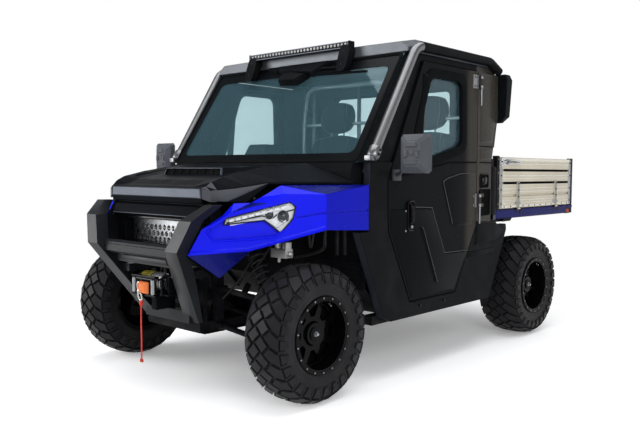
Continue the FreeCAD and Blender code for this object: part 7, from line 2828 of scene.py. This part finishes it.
# ---------------------------------------------------------------- stage
@dataclass
class Stage:
    """Pale floor, soft lamps, white surroundings and the camera.

    Args:
        eye: Camera place.
        azimuth, elevation, roll: Direction of the camera in radians.
        lens: Focal length for a 36 mm sensor.
        floor_half: Half the side of the floor.
        seen_floor: Brightness of the floor to the eye, near the object.
        white_from: Distances between which the floor turns to plain white.
        ceiling: Heights between which the walls darken, and their brightness at each.
        ambient: Strength of the surroundings as a light.
        soft_boxes: Name, place, aim, size and power of each lamp.
    """

    eye: Point = (3.18, -3.8226, 1.137)
    azimuth: float = 0.734504
    elevation: float = 0.0572838
    roll: float = 0.0048648
    lens: float = 41.09
    floor_half: float = 40.0
    seen_floor: float = 1.4
    white_from: tuple[float, float] = (1.15, 2.5)
    ceiling: tuple[float, float, float, float] = (0.28, 0.5, 1.0, 0.12)
    ambient: float = 0.45
    soft_boxes: tuple[tuple[str, Point, Point, float, float], ...] = (
        ("overhead", (0.2, -0.4, 5.0), (0, 0, 0.8), 5.0, 230),
        ("front_right", (-4.2, -5.6, 2.2), (0, -1.0, 0.8), 3.6, 260),
        ("front_left", (5.6, -3.6, 3.0), (0, -0.6, 0.8), 2.6, 120),
        ("behind", (-4.0, 5.2, 3.2), (0, 0.4, 1.0), 3.0, 90))

    def build(self) -> None:
        """Make the floor, the world, the lamps and the camera."""
        self.floor()
        self.world()
        self.lamps()
        self.camera()
        bpy.context.scene.view_settings.view_transform = "Standard"

    def floor(self) -> None:
        """Lay the pale floor, white to the camera apart from the shadow."""
        shape = bmesh.new()
        half = self.floor_half
        shape.faces.new([shape.verts.new((x, y, 0.0)) for x, y in rect(-half, -half, half, half)])
        mesh = bpy.data.meshes.new("floor")
        shape.to_mesh(mesh)
        shape.free()
        made = bpy.data.objects.new("floor", mesh)
        bpy.context.scene.collection.objects.link(made)
        mesh.materials.append(self._floor_material())

    def _floor_material(self) -> bpy.types.Material:
        """Make a pale matt floor that turns to plain white for the eye away from the object.

        Returns:
            The new material.
        """
        made, nodes = bare_material("pale_floor", (0.86, 0.86, 0.87, 1))
        nodes.tree.nodes.clear()
        matt = nodes.add("BsdfDiffuse", "BSDF", {"Color": (0.86, 0.86, 0.87, 1)})
        seen = nodes.add("BsdfDiffuse", "BSDF", {"Color": (*(self.seen_floor,) * 3, 1)})
        white = nodes.add("Emission", "Emission", {"Color": (1, 1, 1, 1)})
        place = nodes.add("TexCoord", "Object")
        reach = nodes.add("VectorMath", "Value", {0: place}, operation="LENGTH")
        far = nodes.span(reach, *self.white_from, 0.2, way="SMOOTHSTEP")
        nodes.end("Material", nodes.mixed(self._seen(nodes), matt, nodes.mixed(far, seen, white)))
        return made

    @staticmethod
    def _seen(nodes: Nodes) -> Socket:
        """Tell the rays that show the floor or the walls from those that light the scene.

        Args:
            nodes: The nodes that use it.

        Returns:
            1 for rays from the eye, from a gloss and through glass.
        """
        total = nodes.add("LightPath", "Is Camera Ray")
        path = total.node
        for name in ("Is Glossy Ray", "Is Transmission Ray"):
            total = nodes.add(
                "Math", "Value", {0: total, 1: path.outputs[name]}, operation="ADD",
                use_clamp=True)
        return total

    def world(self) -> None:
        """White walls under a dark ceiling, and soft grey as a light."""
        world = bpy.data.worlds.new("white_room")
        bpy.context.scene.world = world
        world.use_nodes = True
        nodes = Nodes(world.node_tree)
        nodes.tree.nodes.clear()
        height = nodes.add("SeparateXYZ", "Z", {"Vector": nodes.add("TexCoord", "Generated")})
        ceiling = nodes.span(height, *self.ceiling, "SMOOTHSTEP")
        seen = nodes.add("Background", "Background", {"Color": (1, 1, 1, 1), "Strength": ceiling})
        lit = nodes.add(
            "Background", "Background", {"Color": (0.94, 0.96, 1.0, 1), "Strength": self.ambient})
        nodes.end("World", nodes.mixed(self._seen(nodes), lit, seen))

    def lamps(self) -> None:
        """Hang the soft boxes overhead and round about."""
        for name, place, aim, size, power in self.soft_boxes:
            lamp = bpy.data.lights.new(name, "AREA")
            lamp.energy = power
            lamp.shape = "SQUARE"
            lamp.size = size
            made = bpy.data.objects.new(name, lamp)
            made.location = place
            way = Vector(aim) - Vector(place)
            made.rotation_mode = "QUATERNION"
            made.rotation_quaternion = way.to_track_quat("-Z", "Y")
            bpy.context.scene.collection.objects.link(made)

    def camera(self) -> None:
        """Set the camera up."""
        lens = bpy.data.cameras.new("camera")
        lens.lens = self.lens
        lens.sensor_width = 36.0
        lens.clip_end = 200
        made = bpy.data.objects.new("camera", lens)
        a, e, r = self.azimuth, self.elevation, self.roll
        back = Vector((math.sin(a) * math.cos(e), -math.cos(a) * math.cos(e), math.sin(e)))
        right = Vector((math.cos(a), math.sin(a), 0))
        up = back.cross(right)
        across = math.cos(r) * right + math.sin(r) * up
        over = -math.sin(r) * right + math.cos(r) * up
        turn = Matrix((across, over, back)).transposed()
        made.matrix_world = Matrix.Translation(Vector(self.eye)) @ turn.to_4x4()
        bpy.context.scene.collection.objects.link(made)
        bpy.context.scene.camera = made


# ---------------------------------------------------------------- whole vehicle
def dress_frame() -> None:
    """Give every carried-over CAD node its finish."""
    wears: dict[Finish | GlassFinish, tuple[str, ...]] = {
        FINISH.rim: ("front_left_rim", "front_right_rim", "rear_left_rim", "rear_right_rim"),
        FINISH.dark_steel: (
            "left_knuckle", "right_knuckle", "suspension_arms", "tie_rods", "steering_rack",
            "strut_barrel", "hitch_receiver", "shock_absorbers", "drive_line"),
        FINISH.frame: ("chassis_frame", "side_rails", "subframes", "bed_subframe"),
        FINISH.steel: ("muffler", "strut_rod", "grille_mesh"), FINISH.casting: ("engine_block",),
        FINISH.plastic: (
            "steering_wheel", "dashboard", "cab_tub", "front_liner", "front_fascia",
            "rocker_panels", "wiper", "light_bar", "winch", "intake_box"),
        FINISH.guard: ("bumper_guard",), FINISH.hood: ("hood",),
        FINISH.bed: ("bed_tray", "bed_headboard"), FINISH.seat: ("seats",),
        FINISH.silver: ("cab_frame",), FINISH.roof: ("roof",),
        FINISH.door: ("left_door", "right_door"), FINISH.shell: ("rear_shell",),
        FINISH.blue: ("front_fenders",),
        FINISH.glass: ("cab_glass", "left_door_glass", "right_door_glass"),
        FINISH.lens: ("headlights",), FINISH.mirror_shell: ("left_mirror", "right_mirror"),
        FINISH.red_lamp: ("tail_lights",), FINISH.webbing: ("hook_strap",),
        FINISH.gate: ("left_side_gate", "right_side_gate"), FINISH.gate_rear: ("tailgate",)}
    bevels = {"bumper_guard": 0.004, "hood": 0.004, "front_fenders": 0.004, "roof": 0.006,
              "rocker_panels": 0.004, "left_door": 0.004, "right_door": 0.004,
              "left_mirror": 0.003, "right_mirror": 0.003, "rear_shell": 0.003, "bed_tray": 0.002,
              "bed_headboard": 0.003, "left_side_gate": 0.0012, "right_side_gate": 0.0012,
              "tailgate": 0.0012, "light_bar": 0.002, "intake_box": 0.003, "dashboard": 0.003,
              "front_fascia": 0.003}
    for finish, names in wears.items():
        for name in names:
            dress(name, finish, bevels.get(name, 0.0))
            LOG.info("dressed %s in %s", name, finish.name)


def main() -> None:
    """Build and dress the whole vehicle, sub-assembly by sub-assembly."""
    logging.basicConfig(level=logging.INFO, format="%(name)s: %(message)s")
    dress_frame()
    for end in ("front", "rear"):
        for side in (1, -1):
            Tyre(end, side).build()
            WheelTrim(end, side).build()
    HoodTrim().build()
    FrontTrim().build()
    Winch().build()
    for side in (1, -1):
        Headlamp(side).build()
        FenderTrim(side).build()
        Door(side).build()
        Mirror(side).build()
    Windscreen().build()
    RoofGear().build()
    Bed().build()
    CabSkin().build()
    Seat(1).build()
    Seat(-1).build()
    Cockpit().build()
    RunningGear().build()
    Stage().build()


if __name__ == "__main__":
    main()
